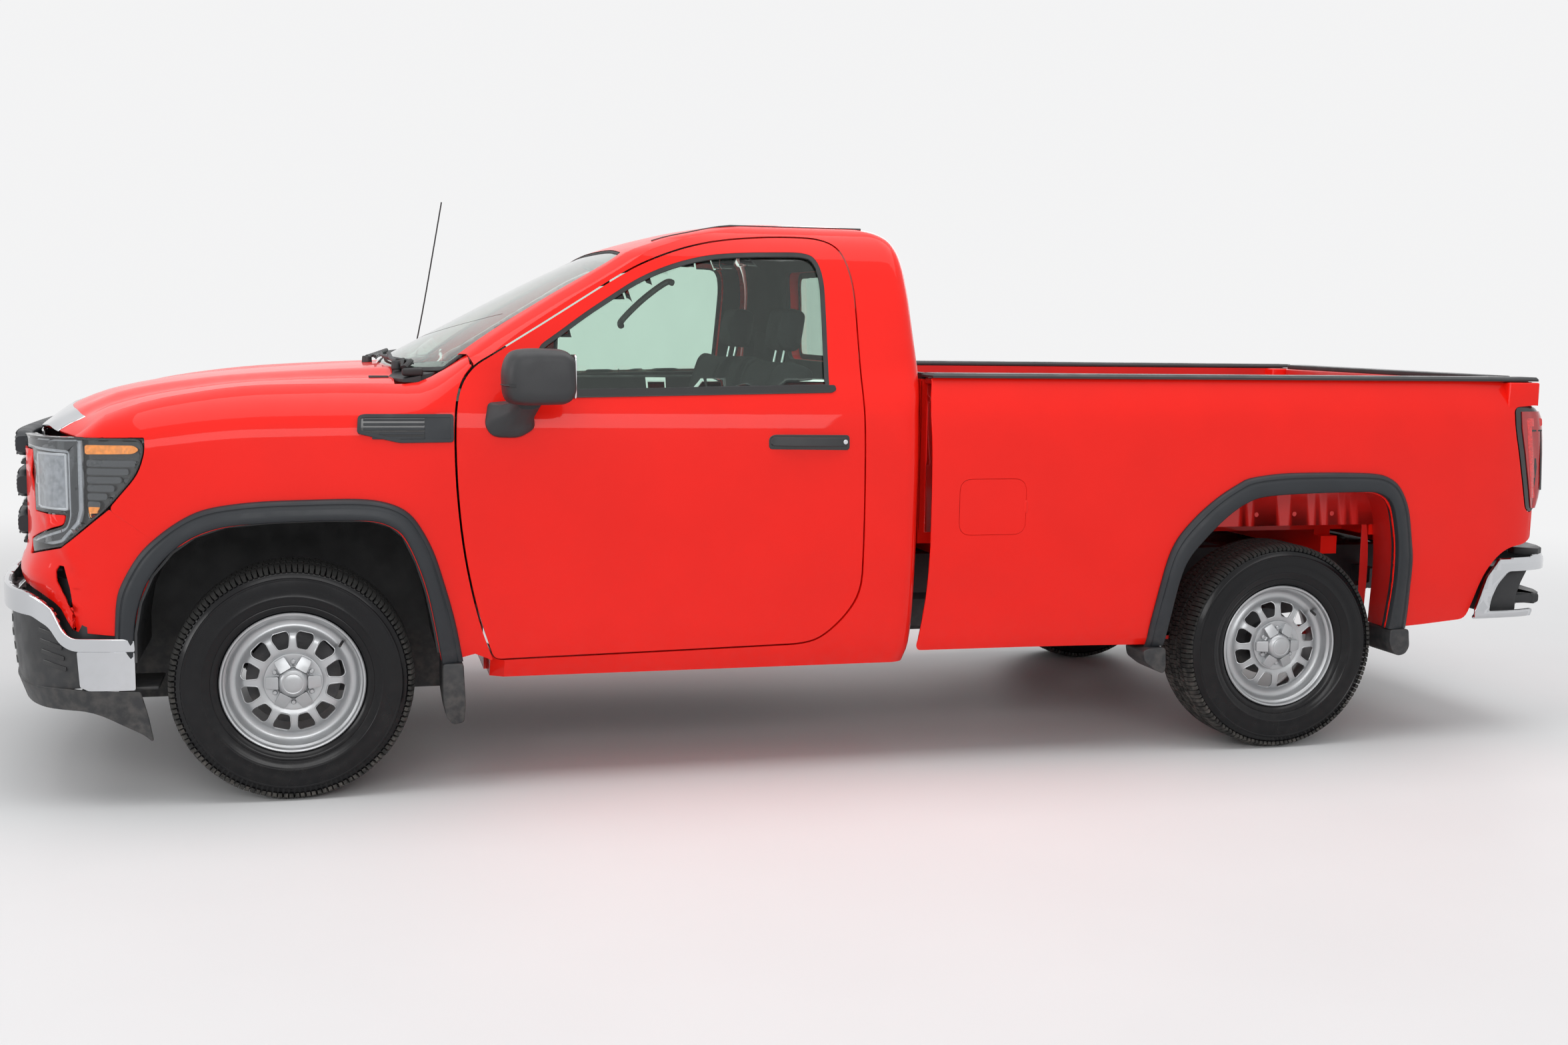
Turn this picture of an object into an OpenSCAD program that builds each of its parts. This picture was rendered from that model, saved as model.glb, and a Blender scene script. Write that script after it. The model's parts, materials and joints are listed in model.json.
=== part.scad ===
// Full-size pickup truck, regular cab, long bed. Millimetres.
// +Z up, front towards -X, the truck's left side towards -Y, ground at z = 0.

/* [Overall] */
// Distance between the front and rear axles
wheelbase = 3545; // [3400:5:3700]
// Front axle to the foremost point of the bumper
front_overhang = 955; // [900:5:1000]
// Rear axle to the rearmost point of the step bumper
rear_overhang = 1250; // [1200:5:1350]
// Track, front and rear
track = 1744; // [1700:2:1780]

/* [Wheels] */
// Tyre outside radius
tyre_radius = 385; // [370:1:392]
// Tyre section width
tyre_width = 255; // [225:5:265]
// Rim flange radius, 17 inch wheel
rim_radius = 234; // [225:1:240]
// Number of round windows in the steel wheel
rim_windows = 12; // [8:1:16]
// Hub bore of the rim
hub_bore = 78; // [70:1:90]
// Largest steering angle of the inner wheel
steer_angle = 32; // [20:1:34]

/* [Body] */
// Gap along doors, hood and tailgate
panel_gap = 6; // [5:0.5:8]
// Gap between fixed pieces that sit on one another
seat_gap = 0.3; // [0.2:0.05:1]
// Thickness of a whole door below the belt
door_thickness = 95; // [70:5:110]
// Thickness of the roof and pillars
pillar_thickness = 45; // [35:1:55]
// Glass thickness
glass_thickness = 6; // [4:0.5:8]
// Thickness of fender and liner sheet
sheet = 8; // [5:0.5:10]
// How far the arch trims stand off the body side
trim_depth = 26; // [15:1:27]

/* [Bed] */
// Height of the bed floor
bed_floor_z = 820; // [800:5:840]
// Inside half width of the bed
bed_half_width = 832; // [800:2:850]
// Half distance between the wheelhouses
wheelhouse_half = 643; // [620:1:660]
// Top of the wheelhouses
wheelhouse_z = 1045; // [1000:5:1080]
// Half width of the tailgate
gate_half = 748; // [735:1:752]
// Thickness of the tailgate
gate_thickness = 75; // [60:1:80]

/* [Fittings] */
// Reach of the mirror heads from the centre plane
mirror_reach = 1215; // [1180:5:1240]
// Steering wheel radius
wheel_rim_radius = 190; // [170:1:200]
// Bore for the tow ball shank
ball_bore = 26; // [24:0.5:33]
// Radio mast top height
mast_top = 2045; // [1900:5:2060]

/* [Hidden] */
length = wheelbase + front_overhang + rear_overhang;
x0 = -length/2;
xf = x0 + front_overhang;
xr = xf + wheelbase;
wz = tyre_radius;
wy = track/2;
pin_y = wy - 52;
engine_half = 320;
engine_rear = -1690;
floor_under = 700;
exhaust_z = 470;
tank_top = 525;
spare_z = 477;
rail_top = 690;
rail_out = 465;
bed_top = 1376;
fascia_z = [685+seat_gap, 752-seat_gap];
seam_in = 819.5 - seat_gap;
hub_out = tyre_width/2 - 62 - seat_gap;
wheel_pos = [-1168, -390, 1155];
column_tilt = 22;
door_axis = [-1335, -993];
door_hinge_z = [800, 1150];
hood_axis = [-1572, 1325];
gate_axis = [2640, 795];
fuel_axis = [581.5, -1004];

// ---- body surfaces ----
side_t = [[370,940],[440,973],[560,991],[760,1000],[950,1003],[1120,999],[1240,986],[1290,966],[1340,952],[1400,938]];
plan_t = [[-2800,-235],[-2700,-140],[-2620,-96],[-2540,-66],[-2400,-34],[-2200,-12],[-2000,0],[2300,0],[2600,-12],[2700,-24],[2770,-60]];
hood_c = [[-2762,1158],[-2735,1185],[-2706,1209],[-2661,1246],[-2551,1294],[-2384,1322],[-2103,1358],[-1682,1387],[-1540,1394]];
hood_s = [[-2700,1120],[-2640,1140],[-2562,1174],[-2479,1240],[-2285,1297],[-1988,1336],[-1577,1340],[-1300,1340]];
function hy(x,z) = lookup(z,side_t) + lookup(x,plan_t);
function rev(v) = [for (i=[len(v)-1:-1:0]) v[i]];
function unit(v) = v/max(norm(v),0.001);
function inset(p,t) = [for (i=[0:len(p)-1]) let(d=unit(p[min(len(p)-1,i+1)]-p[max(0,i-1)])) p[i]+t*[d[1],-d[0]]];
function trim_sec(x,zs) = [for (z=zs) [-hy(x,max(z,560)),z]];
module trim_strip(xs, zs) { strip(xs, [for (x=xs) trim_sec(x,zs)], -seat_gap-trim_depth, trim_depth); }
function side_sec(x,zs) = [for (z=zs) [-hy(x,z),z]];
function fender_sec(x) = let(zt=lookup(x,hood_s), k=zt-110)
  concat([for (z=[430,560,760,950,1050]) [-hy(x,z),min(z,k-(1050-z)*0.02-20)]], [[-hy(x,1200),k],[-hy(x,1200)+14,k+42],[-hy(x,1200)+42,k+72],[-885,zt-12],[-821,zt]]);

fender_xs = [-2720,-2640,-2562,-2480,-2400,-2285,-2130,-1988,-1800,-1577,-1400,-1290];
module mesh() { resize([0,0,0]) children(); }
module loft(rings) {
  n = len(rings[0]); m = len(rings);
  polyhedron(points=[for (r=rings) each r], faces=concat([[for (i=[0:n-1]) i]], [[for (i=[n-1:-1:0]) (m-1)*n+i]],
    [for (j=[0:m-2], i=[0:n-1]) let(a=j*n+i, b=j*n+(i+1)%n) each [[a,a+n,b+n],[a,b+n,b]]]), convexity=8);
}
// a strip of body side: outer line moved in by o, then t thick
module strip(xs, secs, o, t) {
  loft([for (k=[0:len(xs)-1]) let(a=inset(secs[k],o), b=inset(secs[k],o+t)) concat([for (q=b) [xs[k],q[0],q[1]]], [for (q=rev(a)) [xs[k],q[0],q[1]]])]);
}
module side_strip(xs, zs, o, t) { strip(xs, [for (x=xs) side_sec(x,zs)], o, t); }
module prism(p, y0, y1) { translate([0,y1,0]) rotate([90,0,0]) linear_extrude(height=y1-y0) polygon(p); }
module prism_o(p, y0, y1, d) { translate([0,y1,0]) rotate([90,0,0]) linear_extrude(height=y1-y0) offset(delta=d) polygon(p); }
module box(a, b) { translate(a) cube(b-a); }
module tube_y(x, z, r, y0, y1) { translate([x,y0,z]) rotate([-90,0,0]) cylinder(r=r, h=y1-y0, $fn=48); }
module both() { children(); mirror([0,1,0]) children(); }

// ---- greenhouse ----
g_fc = [[1250,-1740],[1330,-1690],[1400,-1625],[1500,-1440],[1600,-1255],[1700,-1065],[1800,-850],[1850,-660],[1885,-470],[1905,-300],[1917,-200]];
g_fs = [[1250,-1500],[1330,-1440],[1400,-1378],[1500,-1265],[1600,-1112],[1700,-948],[1800,-785],[1850,-630],[1885,-450],[1905,-285],[1917,-190]];
g_r = [[1250,196],[1330,206],[1400,208],[1500,203],[1600,197],[1700,190],[1800,174],[1850,152],[1885,105],[1905,20],[1917,-60]];
g_w = [[1250,972],[1330,950],[1400,925],[1500,892],[1600,860],[1700,827],[1800,786],[1850,752],[1885,690],[1905,540],[1917,330]];
g_z = [1250,1330,1400,1500,1600,1700,1800,1850,1885,1905,1917];
function g_ring(z,in,zz) = let(fc=lookup(z,g_fc)+in*1.4, fs=lookup(z,g_fs)+in*1.4, r=lookup(z,g_r)-in, w=lookup(z,g_w)-in, a=fs+55, b=r-55)
  concat([for (k=[0:4]) [a+(b-a)*k/4,-w,zz]], [for (k=[0:8]) let(s=-1+k/4) [r-30*pow(abs(s),3),(w-35)*s,zz]],
    [for (k=[0:4]) [b-(b-a)*k/4,w,zz]], [for (k=[0:8]) let(s=1-k/4) [fc+(fs-fc)*pow(abs(s),2.2),(w-35)*s,zz]]);
module g_solid(in, zlo) { loft([for (z=g_z) let(zz = z > 1800 ? z-in*0.9 : z) if (z >= zlo) g_ring(z,in,zz)]); }

// ---- outlines, side view (x, z) ----
door_line = [[-1334,1407],[-1373,1359],[-1395,1292],[-1401,1183],[-1397,1017],[-1379,828],[-1350,669],[-1317,544],[-1280,437],
  [-213,457],[-147,483],[-66,560],[-20,640],[-17,723],[-16,1166],[-17,1365],[-18,1685],[-42,1787],[-75,1833],[-140,1855],
  [-301,1856],[-481,1840],[-615,1811],[-747,1761],[-834,1716],[-1008,1607],[-1179,1500]];
window_line = [[-1062,1515],[-966,1585],[-879,1641],[-792,1697],[-705,1738],[-617,1768],[-528,1788],[-437,1797],[-302,1803],[-200,1803],
  [-160,1795],[-137,1770],[-124,1730],[-128,1500],[-134,1322],[-1010,1312],[-1075,1330],[-1120,1400],[-1120,1470]];
arch_f = [[-2398,380],[-2395,563],[-2378,659],[-2341,744],[-2279,819],[-2208,869],[-2116,899],[-1973,911],[-1819,915],[-1672,912],
  [-1609,893],[-1567,858],[-1525,768],[-1493,667],[-1468,544],[-1453,449],[-1449,380]];
trim_f = [[-2462,440],[-2456,564],[-2448,660],[-2431,718],[-2379,808],[-2318,870],[-2237,927],[-2156,958],[-2023,976],[-1870,981],
  [-1713,982],[-1629,971],[-1566,945],[-1523,900],[-1476,811],[-1440,699],[-1407,575],[-1381,439],[-1375,240],[-1452,239]];
arch_r = [[1140,300],[1149,483],[1176,635],[1210,728],[1282,812],[1364,888],[1447,938],[1532,956],[1707,964],[1929,966],[1992,955],
  [2035,922],[2058,847],[2073,750],[2076,629],[2070,515],[2062,345]];
trim_r = [[1078,300],[1083,484],[1107,613],[1135,728],[1171,805],[1239,882],[1321,950],[1404,1000],[1454,1021],[1574,1036],[1706,1039],
  [1839,1038],[1973,1032],[2037,1014],[2080,977],[2117,901],[2137,788],[2148,708],[2147,586],[2150,512],[2160,345]];
lamp_line = [[-2800,1176],[-2630,1172],[-2352,1175],[-2353,1131],[-2374,1061],[-2465,954],[-2542,887],[-2613,828],[-2800,815]];
tail_line = [[2594,1275],[2700,1284],[2760,1245],[2769,1126],[2767,1014],[2748,948],[2715,889],[2681,878],[2656,890],[2641,949],[2606,1114],[2592,1212]];
fender_line = [[-2720,700],[-2617,644],[-2590,592],[-2570,556],[-2300,520],[-1480,437],[-1200,437],[-1200,1420],[-2572,1420],[-2572,1172],[-2720,1172]];
bedside_line = [[242,1376],[224,1262],[229,1164],[230,915],[230,758],[222,599],[203,477],[196,416],[671,418],[1091,408],[2185,448],[2417,466],
  [2436,525],[2473,636],[2529,707],[2587,743],[2648,752],[2697,770],[2697,1376]];

// ---- plan curves (x, y), front and rear ends ----
nose = [[-2790,0],[-2786,-280],[-2768,-500],[-2738,-670],[-2692,-795],[-2640,-868],[-2560,-924],[-2450,-962],[-2330,-978]];
bump_f = [[x0,0],[-2868,-330],[-2842,-580],[-2795,-750],[-2722,-868],[-2610,-944],[-2480,-982],[-2400,-990]];
bump_r = [[-x0,0],[-x0-5,-300],[-x0-15,-560],[2838,-760],[2818,-880],[2740,-952],[2630,-985],[2460,-990]];
function plan_in(p,t) = [for (i=[0:len(p)-1]) let(d=unit(p[min(len(p)-1,i+1)]-p[max(0,i-1)])) p[i]+t*[-d[1],d[0]]];
module band(p, o, t, z0, z1, s=1) { // curved wall along a plan curve on one side, mirrored by the caller
  a = plan_in(p,o*s); b = plan_in(p,(o+t)*s);
  translate([0,0,z0]) linear_extrude(height=z1-z0) polygon(concat([[a[0][0],1],[b[0][0],1]], b, rev(a)));
}

// ================= chassis =================
module frame() { color("#26282a") {
  both() { box([x0+180,-465,540],[2676,-395,690]); }
  for (x=[x0+182,-900,150,980,1795,2606]) box([x,-396,600],[x+70,396,660]);
  both() box([-2560,-700,600],[-2520,-460,640]);
  both() for (x=[-1180,60]) box([x,-640,640],[x+60,-460,floor_under-seat_gap]);   // cab mounts
  both() box([-2100,-396,560],[-2040,-engine_half-seat_gap,620]);                 // engine mounts
  for (x=[152,990]) box([x,275,exhaust_z+32+seat_gap],[x+40,305,601]);            // exhaust hangers
  box([160,-300,tank_top+seat_gap],[210,-250,601]);                               // tank hanger
  box([2200,-400,spare_z+200+seat_gap],[2270,400,spare_z+222]);                   // spare wheel carrier
} }
module engine_block() { color("#55585b") box([-2330,-engine_half,470],[engine_rear,engine_half,1170]); }
module driveline() { color("#6a6d70") {
  translate([engine_rear+seat_gap,0,520]) rotate([0,90,0]) cylinder(r1=165,r2=100,h=424,$fn=48);
  translate([-1270,0,520]) rotate([0,90,0]) cylinder(r=92,h=340,$fn=48);
  hull() { translate([-940,0,510]) sphere(r=40,$fn=20); translate([xr-215,0,402]) sphere(r=40,$fn=20); }
  translate([xr-220,0,400]) rotate([0,90,0]) cylinder(r=46,h=50-seat_gap,$fn=48);
} }
module exhaust() { color("#8d8f90") {
  translate([-1500,290,exhaust_z]) rotate([0,90,0]) cylinder(r=32,h=1700,$fn=32);
  translate([200,290,exhaust_z]) rotate([0,90,0]) scale([0.8,1,1]) cylinder(r=105,h=640,$fn=48);
  translate([840,290,exhaust_z]) rotate([0,90,0]) cylinder(r=32,h=420,$fn=32);
  translate([1258,290,exhaust_z]) rotate([0,58,0]) cylinder(r=30,h=10,$fn=32);
} }
module fuel_tank() { color("#303234") mesh() hull() { box([-250,-380,tank_top-130],[900,-130,tank_top-25]); box([-220,-370,tank_top-145],[870,-140,tank_top]); } }
module spare_wheel() { color("#17181a") translate([2235,0,spare_z]) rotate_extrude($fn=96) polygon([[60,70],[200,70],[214,20],[234,5],[300,0],[352,28],[362,60],[362,140],[352,172],[300,200],[234,195],[218,186],[204,90],[60,90]]); }
module rear_axle() { color("#303336") {
  tube_y(xr, wz, 42, -(wy-66), wy-66);
  translate([xr,0,wz]) sphere(r=128,$fn=40);
  translate([xr-170,0,400]) rotate([0,90,0]) cylinder(r=46,h=80,$fn=48);
  both() { tube_y(xr, wz, 125, -(wy-12), -(wy-68)); tube_y(xr, wz, 78, -(wy+hub_out), -(wy-20)); }
} }
module leaf_springs() { color("#3b3d40") both() translate([0,-590,0]) {
  mesh() prism([[xr-690,520],[xr-690,536],[xr-350,486],[xr,468],[xr+350,492],[xr+640,560],[xr+650,545],[xr+400,452],[xr+180,434],[xr,430],[xr-180,434],[xr-420,450]], -6, 56);
  box([xr-720,-6,500],[xr-670,590-rail_out-seat_gap,600]);
  box([xr+620,-6,530],[xr+660,590-rail_out-seat_gap,610]);
  box([xr-55,-8,wz+42+seat_gap],[xr+55,58,500]);
} }
module front_suspension() { color("#34373a") {
  box([xf-110,-395+seat_gap,385],[xf+110,395-seat_gap,462]);
  both() {
    box([xf-80,-395+seat_gap,385],[xf+80,-350,600]);
    mesh() union() { hull() { box([xf-190,-412,400],[xf+190,-380,440]); box([xf-26,-pin_y+36,268],[xf+26,-pin_y+44,292]); }
      hull() { box([xf-26,-pin_y+26,268],[xf+26,-pin_y+44,292]); translate([xf,-pin_y,268]) cylinder(r=26,h=24,$fn=24); } translate([xf,-pin_y,280]) cylinder(r=24,h=20-seat_gap,$fn=24); }
    mesh() hull() { box([xf-110,-490,562],[xf+110,-rail_out-seat_gap,590]); translate([xf,-pin_y,535+seat_gap]) cylinder(r=24,h=16,$fn=24); }
    translate([xf,-560,330]) rotate([6,0,0]) cylinder(r=52,h=205,$fn=36);
  }
} }
module radiator() { color("#2d3033") { box([-2623+seat_gap,-385,560],[-2552,385,1090]); box([-2616,-600,1040],[-2548,600,1090]); } }

// ================= cab =================
cab_xs = [-1283,-700,-100,130,165,182];
function cab_in(x) = x > 170 ? 22 : x > 150 ? 8 : 0;
module cab_lower() {
  zs = [440,560,760,950,1120,1240,1290,1330];
  loft([for (x=cab_xs) concat([for (z=rev(zs)) [x,-hy(x,z)+cab_in(x),z]], [for (z=zs) [x,hy(x,z)-cab_in(x),z]])]);
}
module door_cut(s) { scale([1,s,1]) { prism_o(door_line, -1100, door_thickness-966.5, panel_gap/2); intersection() { prism_o(door_line, -1100, -640, panel_gap/2); box([-1500,-1100,1240],[200,-680,1900]); } } }
module cab_hinges() { both() {
  for (z=door_hinge_z) { box([door_axis[0]-7,door_axis[1]+3,z-20+seat_gap],[door_axis[0]+7,-830,z+20-seat_gap]); translate([door_axis[0],door_axis[1],z-20+seat_gap]) cylinder(r=6,h=40-2*seat_gap,$fn=32); }
  box([hood_axis[0]-16,-800,1250],[-1540,-772,hood_axis[1]-12-seat_gap]);
  box([-1520,-845,1250],[-1480,-800,1335.4-1.02*sheet-seat_gap]);   // fender bolt lug
} }
module cab_shell() { color("#b3131b") mesh() union() { cab_hinges(); cab_body(); } }
module cab_body() { difference() {
  union() {
    cab_lower();
    g_solid(0,1250);
    box([-1560,-535,560],[-1430,535,1284]);
    box([-1557,-805,930],[-1294,805,1287]);
    box([-1444,-845,563],[-1292,845,1250]);
    box([-1365,-955,378],[178,-700,443]); box([-1365,700,378],[178,955,443]);
    box([-1297,-861,431],[181,861,759]);
  }
  box([-1520,-490,740],[-1300,490,1500]);
  box([-1517,-757,967],[-1303,757,1497]);
  box([-1400,-801,742],[-1302,801,1490]);
  box([-1330,-872,741],[160,872,1262]);
  box([-1280,-690,300],[400,690,700]);
  box([-1570,-560,300],[-1100,560,700]);
  intersection() { g_solid(pillar_thickness,1250); box([-1520,-1000,1240],[400,1000,2000]); }
  box([-1500,-849,1238],[151,849,1338]);
  for (s=[1,-1]) door_cut(s);
  // windshield and rear window openings
  translate([-1900,0,0]) rotate([90,0,90]) linear_extrude(height=1400) polygon([[-818,1408],[-400,1392],[400,1392],[818,1408],[712,1790],[400,1812],[-400,1812],[-712,1790]]);
  translate([0,0,0]) rotate([90,0,90]) linear_extrude(height=400) polygon([[-700,1400],[700,1400],[640,1770],[-640,1770]]);
  // hinge swing space ahead of the doors
  for (s=[-1,1]) { box([-1480, s<0 ? -1000 : 852, 438],[-1290, s<0 ? -852 : 1000, 1262]); box([-1800, s<0 ? -1000 : seam_in, 1200],[-1290, s<0 ? -seam_in : 1000, 1347]); }
} }
module windshield() { color("#4d6a63") mesh() intersection() {
  difference() { g_solid(16,1250); g_solid(16+glass_thickness,1250); }
  translate([-1900,0,0]) rotate([90,0,90]) linear_extrude(height=1400) offset(delta=-seat_gap) polygon([[-818,1408],[-400,1392],[400,1392],[818,1408],[712,1790],[400,1812],[-400,1812],[-712,1790]]);
  box([-1800,-1000,1300],[-640,1000,1840]);
} }
module rear_window() { color("#4d6a63") mesh() intersection() {
  difference() { g_solid(16,1250); g_solid(16+glass_thickness,1250); }
  rotate([90,0,90]) linear_extrude(height=400) offset(delta=-seat_gap) polygon([[-700,1400],[700,1400],[640,1770],[-640,1770]]);
  box([60,-1000,1300],[400,1000,1900]);
} }
module fenders() { color("#b3131b") both() mesh() difference() {
  intersection() {
    strip(fender_xs, [for (x=fender_xs) fender_sec(x)], 0, sheet);
    prism(fender_line, -1100, -700);
  }
  prism_o(lamp_line, -1200, -600, 3);
  prism_o(door_line, -1100, -700, panel_gap/2+0.5);
  prism_o(arch_f, -1200, -600, seat_gap);
} }
module front_liners() { color("#1b1c1e") both() mesh() difference() {
  prism_o(arch_f, -985, -545, 0);
  prism_o(arch_f, -990, -540, -sheet);
  box([-2600,-1000,300],[-1400,-500,470]);
} }
module front_fascia() { color("#b3131b") mesh() difference() {
  both() difference() {
    intersection() { band(nose, 0, 30, 680, 1150, 1); union() { box([-2900,-640,fascia_z[0]],[-2500,10,fascia_z[1]]); prism([[-2900,700],[-2724,700],[-2724,810],[-2900,810]], -1000, -634); } }
    box([-2900,-1000,746],[-2722,-640,760]);
  }
} }
module grille() { color("#3a3d3f") mesh() difference() {
  both() union() {
    difference() { band(nose, 2, 46, 752, 1126, 1); box([-3000,-1000,700],[-2000,-628,1300]); }
  }
  both() for (z=[800:72:1070]) box([-2900,-560,z],[-2765,-30,z+34]);
} }
module headlamps() { color("#c9ced2") both() mesh() intersection() {
  difference() { band(nose, 0, 110, 820, 1172, 1); box([-3000,-823,1140],[-2520,0,1300]); }
  prism_o(lamp_line, -1000, -628-seat_gap, -1);
} }
module front_bumper() { color("#c9ccce") both() mesh() { box([-2800,-460,560],[x0+180-seat_gap,-400,640]); intersection() {
  band(bump_f, 0, 92, 355, 685, 1);
  prism([[-2900,685],[-2697,685],[-2621,626],[-2598,574],[-2576,540],[-2472,518],[-2472,432],[-2418,430],[-2416,372],[-2531,372],[-2640,385],[-2900,385]], -1000, 2);
} } }
module air_dam() { color("#1b1c1e") both() mesh() intersection() {
  band(bump_f, 18, 26, 200, 390, 1);
  prism([[-2870,385-seat_gap],[-2870,300],[-2564,315],[-2425,240],[-2406,214],[-2406,372-seat_gap],[-2531,372-seat_gap],[-2640,385-seat_gap]], -1000, 2);
} }
module cowl_panel() { color("#1b1c1e") mesh() difference() {
  both() loft([for (k=[0:8]) let(y=-20-k*98, s=abs(y)/893, xa=-1673+120*pow(abs(y)/820,2.2), fc=lookup(1345,g_fc)-14, fs=lookup(1345,g_fs)-14, xb=fc+(fs-fc)*pow(s,2.2), xc=xb+70)
    [[xa,y,1346],[xc-40,y,1346],[xc,y,1374],[xc-6,y,1382],[xa,y,1356]]]);
  g_solid(-seat_gap,1250);
  both() box([-1500,-860,1300],[-1300,-790,1500]);
} }
module antenna() { color("#1b1c1e") { translate([-1640,842,1338.8]) cylinder(r1=16,r2=9,h=56,$fn=24); translate([-1640,842,1385]) rotate([0,24,0]) cylinder(r=3.2,h=(mast_top-1385)/cos(24),$fn=16); } }
module seats() { color("#3c3e42") {
  both() { mesh() hull() { box([-900,-760,790],[-330,-130,900]); box([-880,-740,780],[-380,-150,930]); }
    box([-860,-700,741+seat_gap],[-350,-100,800]);
    mesh() hull() { box([-400,-740,880],[-250,-150,930]); box([-250,-720,1410],[-110,-170,1450]); }
    mesh() hull() { box([-212,-520,1445],[-92,-270,1475]); box([-203,-505,1590],[-70,-285,1617]); } }
  box([-880,-132,790],[-340,132,920]);
} }
module dashboard() { color("#2c2d30") { mesh() hull() { box([-1517+seat_gap,-748,1010],[-1290,748,1040]); box([-1517+seat_gap,-750,1100],[-1230,750,1200]); box([-1480,-748,1200],[-1300,748,1262]); }
  translate(wheel_pos) rotate([0,90-column_tilt,0]) translate([0,0,-28-seat_gap-60]) cylinder(r=38,h=60,$fn=32); } }

// ================= bed =================
module bed_box() { color("#a01219") mesh() difference() {
  union() {
    box([236,-bed_half_width,bed_floor_z-40],[2606,bed_half_width,bed_floor_z]);
    box([236,-bed_half_width,bed_floor_z-2],[262,bed_half_width,1368]);
    both() box([1170,-bed_half_width,bed_floor_z-40],[2080,-wheelhouse_half,wheelhouse_z]);
    for (x=[420,900,1300,1950,2420]) box([x,-700,rail_top+seat_gap],[x+70,700,bed_floor_z-38]);
  }
  both() box([1178,-bed_half_width-1,bed_floor_z-60],[2072,-wheelhouse_half-6,wheelhouse_z-6]);
} }
module bedsides() { color("#b3131b") both() mesh() difference() {
  intersection() {
    union() {
      side_strip([190,700,1500,2300,2500,2600,2700], [400,560,760,950,1120,1240,1290,1340,1376], 0, sheet);
      intersection() { side_strip([190,700,1500,2300,2500,2600,2700], [400,560,760,950,1120,1240,1290,1340,1376], 2, 240); box([200,-990,872],[2720,-bed_half_width-seat_gap,1376]); }
      box([2540,-900,bed_floor_z+seat_gap],[2697,-gate_half-panel_gap-4,1376]); box([2608,-900,780],[2697,-gate_half-panel_gap-4,1376]);
    }
    prism(bedside_line, -1100, -gate_half-panel_gap);
  }
  prism_o(arch_r, -1200, -800, 6);
  prism(tail_line, -1200, -790);
  box([328,-1100,824],[584,-930,1029]);
} }
module rail_caps() { color("#1b1c1e") { both() mesh() hull() { box([240,-950,bed_top+seat_gap],[2700,-bed_half_width+8,1384]); box([250,-938,bed_top+seat_gap],[2698,-bed_half_width-2,1392]); } box([240,-822,1368+seat_gap],[266,822,1390]); } }
module arch_trims() { color("#2b2c2e") both() {
  mesh() intersection() { difference() { prism(trim_f, -1100, -800); prism_o(arch_f, -1200, -700, seat_gap); prism([[-2398,381],[-2398,0],[-1452,0],[-1449,381]], -1200, -700); } trim_strip(fender_xs, [200,560,760,950,1050]); }
  mesh() intersection() { difference() { prism(trim_r, -1100, -800); prism(arch_r, -1200, -700); prism([[1140,301],[1140,0],[2062,0],[2062,346]], -1200, -700); } trim_strip([900,2300], [200,560,760,950,1120]); }
} }
module tail_lamps() { color("#8a0f16") both() mesh() intersection() {
  side_strip([2560,2600,2680,2720,2750,2770], [860,950,1120,1240,1290], 0, 150);
  prism_o(tail_line, -1100, -795, -seat_gap);
} }
module rear_bumper() { color("#c9ccce") difference() {
  mesh() union() {
    both() intersection() { band(bump_r, 0, 70, 470, 730, -1); prism([[2900,728],[2715,728],[2704,690],[2575,694],[2520,597],[2462,490],[2900,482]], -1000, 2); }
    box([2676+seat_gap,-420,600],[2812,420,660]);
    box([2700,-250,655],[2866,250,700]);
  }
  box([2812,-45,400],[2864,45,716]);
  translate([2838,0,600]) cylinder(d=ball_bore,h=200,$fn=48);
} }

// ================= doors, hood, tailgate =================
module door_panel(s) { color("#b3131b") mesh() scale([1,s,1]) difference() {
  union() {
    intersection() { side_strip([-1420,-1300,-700,0], [430,560,760,950,1120,1240,1290,1318], 0, 36); prism_o(door_line, -1100, -700, -panel_gap/2); box([-1500,-1100,400],[100,-700,1316]); }
    intersection() { side_strip([-1420,-1300,-700,0], [430,560,760,950,1120,1240,1290,1318], 30, door_thickness-30); prism_o(door_line, -1100, -700, -34); box([-1310,-1100,470],[100,-700,1300]); }
    intersection() { difference() { g_solid(0,1250); g_solid(pillar_thickness-5,1250); } prism_o(door_line, -1100, -600, -panel_gap/2); box([-1450,-1100,1285],[100,-692,1900]); }
  }
  prism(window_line, -1100, -600);
  for (z=door_hinge_z) { box([door_axis[0]-80,door_axis[1]-7,z-20],[door_axis[0]+14,-800,z+20]); }
} }
module door_glass(s) { color("#4d6a63") mesh() scale([1,s,1]) intersection() {
  difference() { g_solid(14,1250); g_solid(14+glass_thickness,1250); }
  prism_o(window_line, -1100, -600, -seat_gap);
} }
module door_mirror(s) { color("#1b1c1e") mesh() scale([1,s,1]) union() {
  difference() { hull() { prism([[-1309,1215],[-1290,1290],[-1200,1296],[-1148,1260],[-1144,1205],[-1200,1175],[-1280,1178]], -1016, -960); prism([[-1250,1215],[-1240,1290],[-1170,1290],[-1160,1210]], -1092, -1080); } side_strip([-1420,-1300,-700,0], [430,560,760,950,1120,1240,1290,1318], -seat_gap, 140); }
  hull() { prism([[-1258,1300],[-1264,1400],[-1240,1455],[-1190,1467],[-1080,1463],[-1046,1430],[-1040,1330],[-1060,1292],[-1220,1286]], -mirror_reach+24, -1066); prism([[-1238,1320],[-1240,1400],[-1225,1436],[-1180,1445],[-1100,1440],[-1080,1420],[-1075,1330],[-1090,1310],[-1210,1306]], -mirror_reach, -mirror_reach+10); }
} }
module door_left() { door_panel(1); }
module door_right() { door_panel(-1); }
module door_left_glass() { door_glass(1); }
module door_right_glass() { door_glass(-1); }
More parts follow.
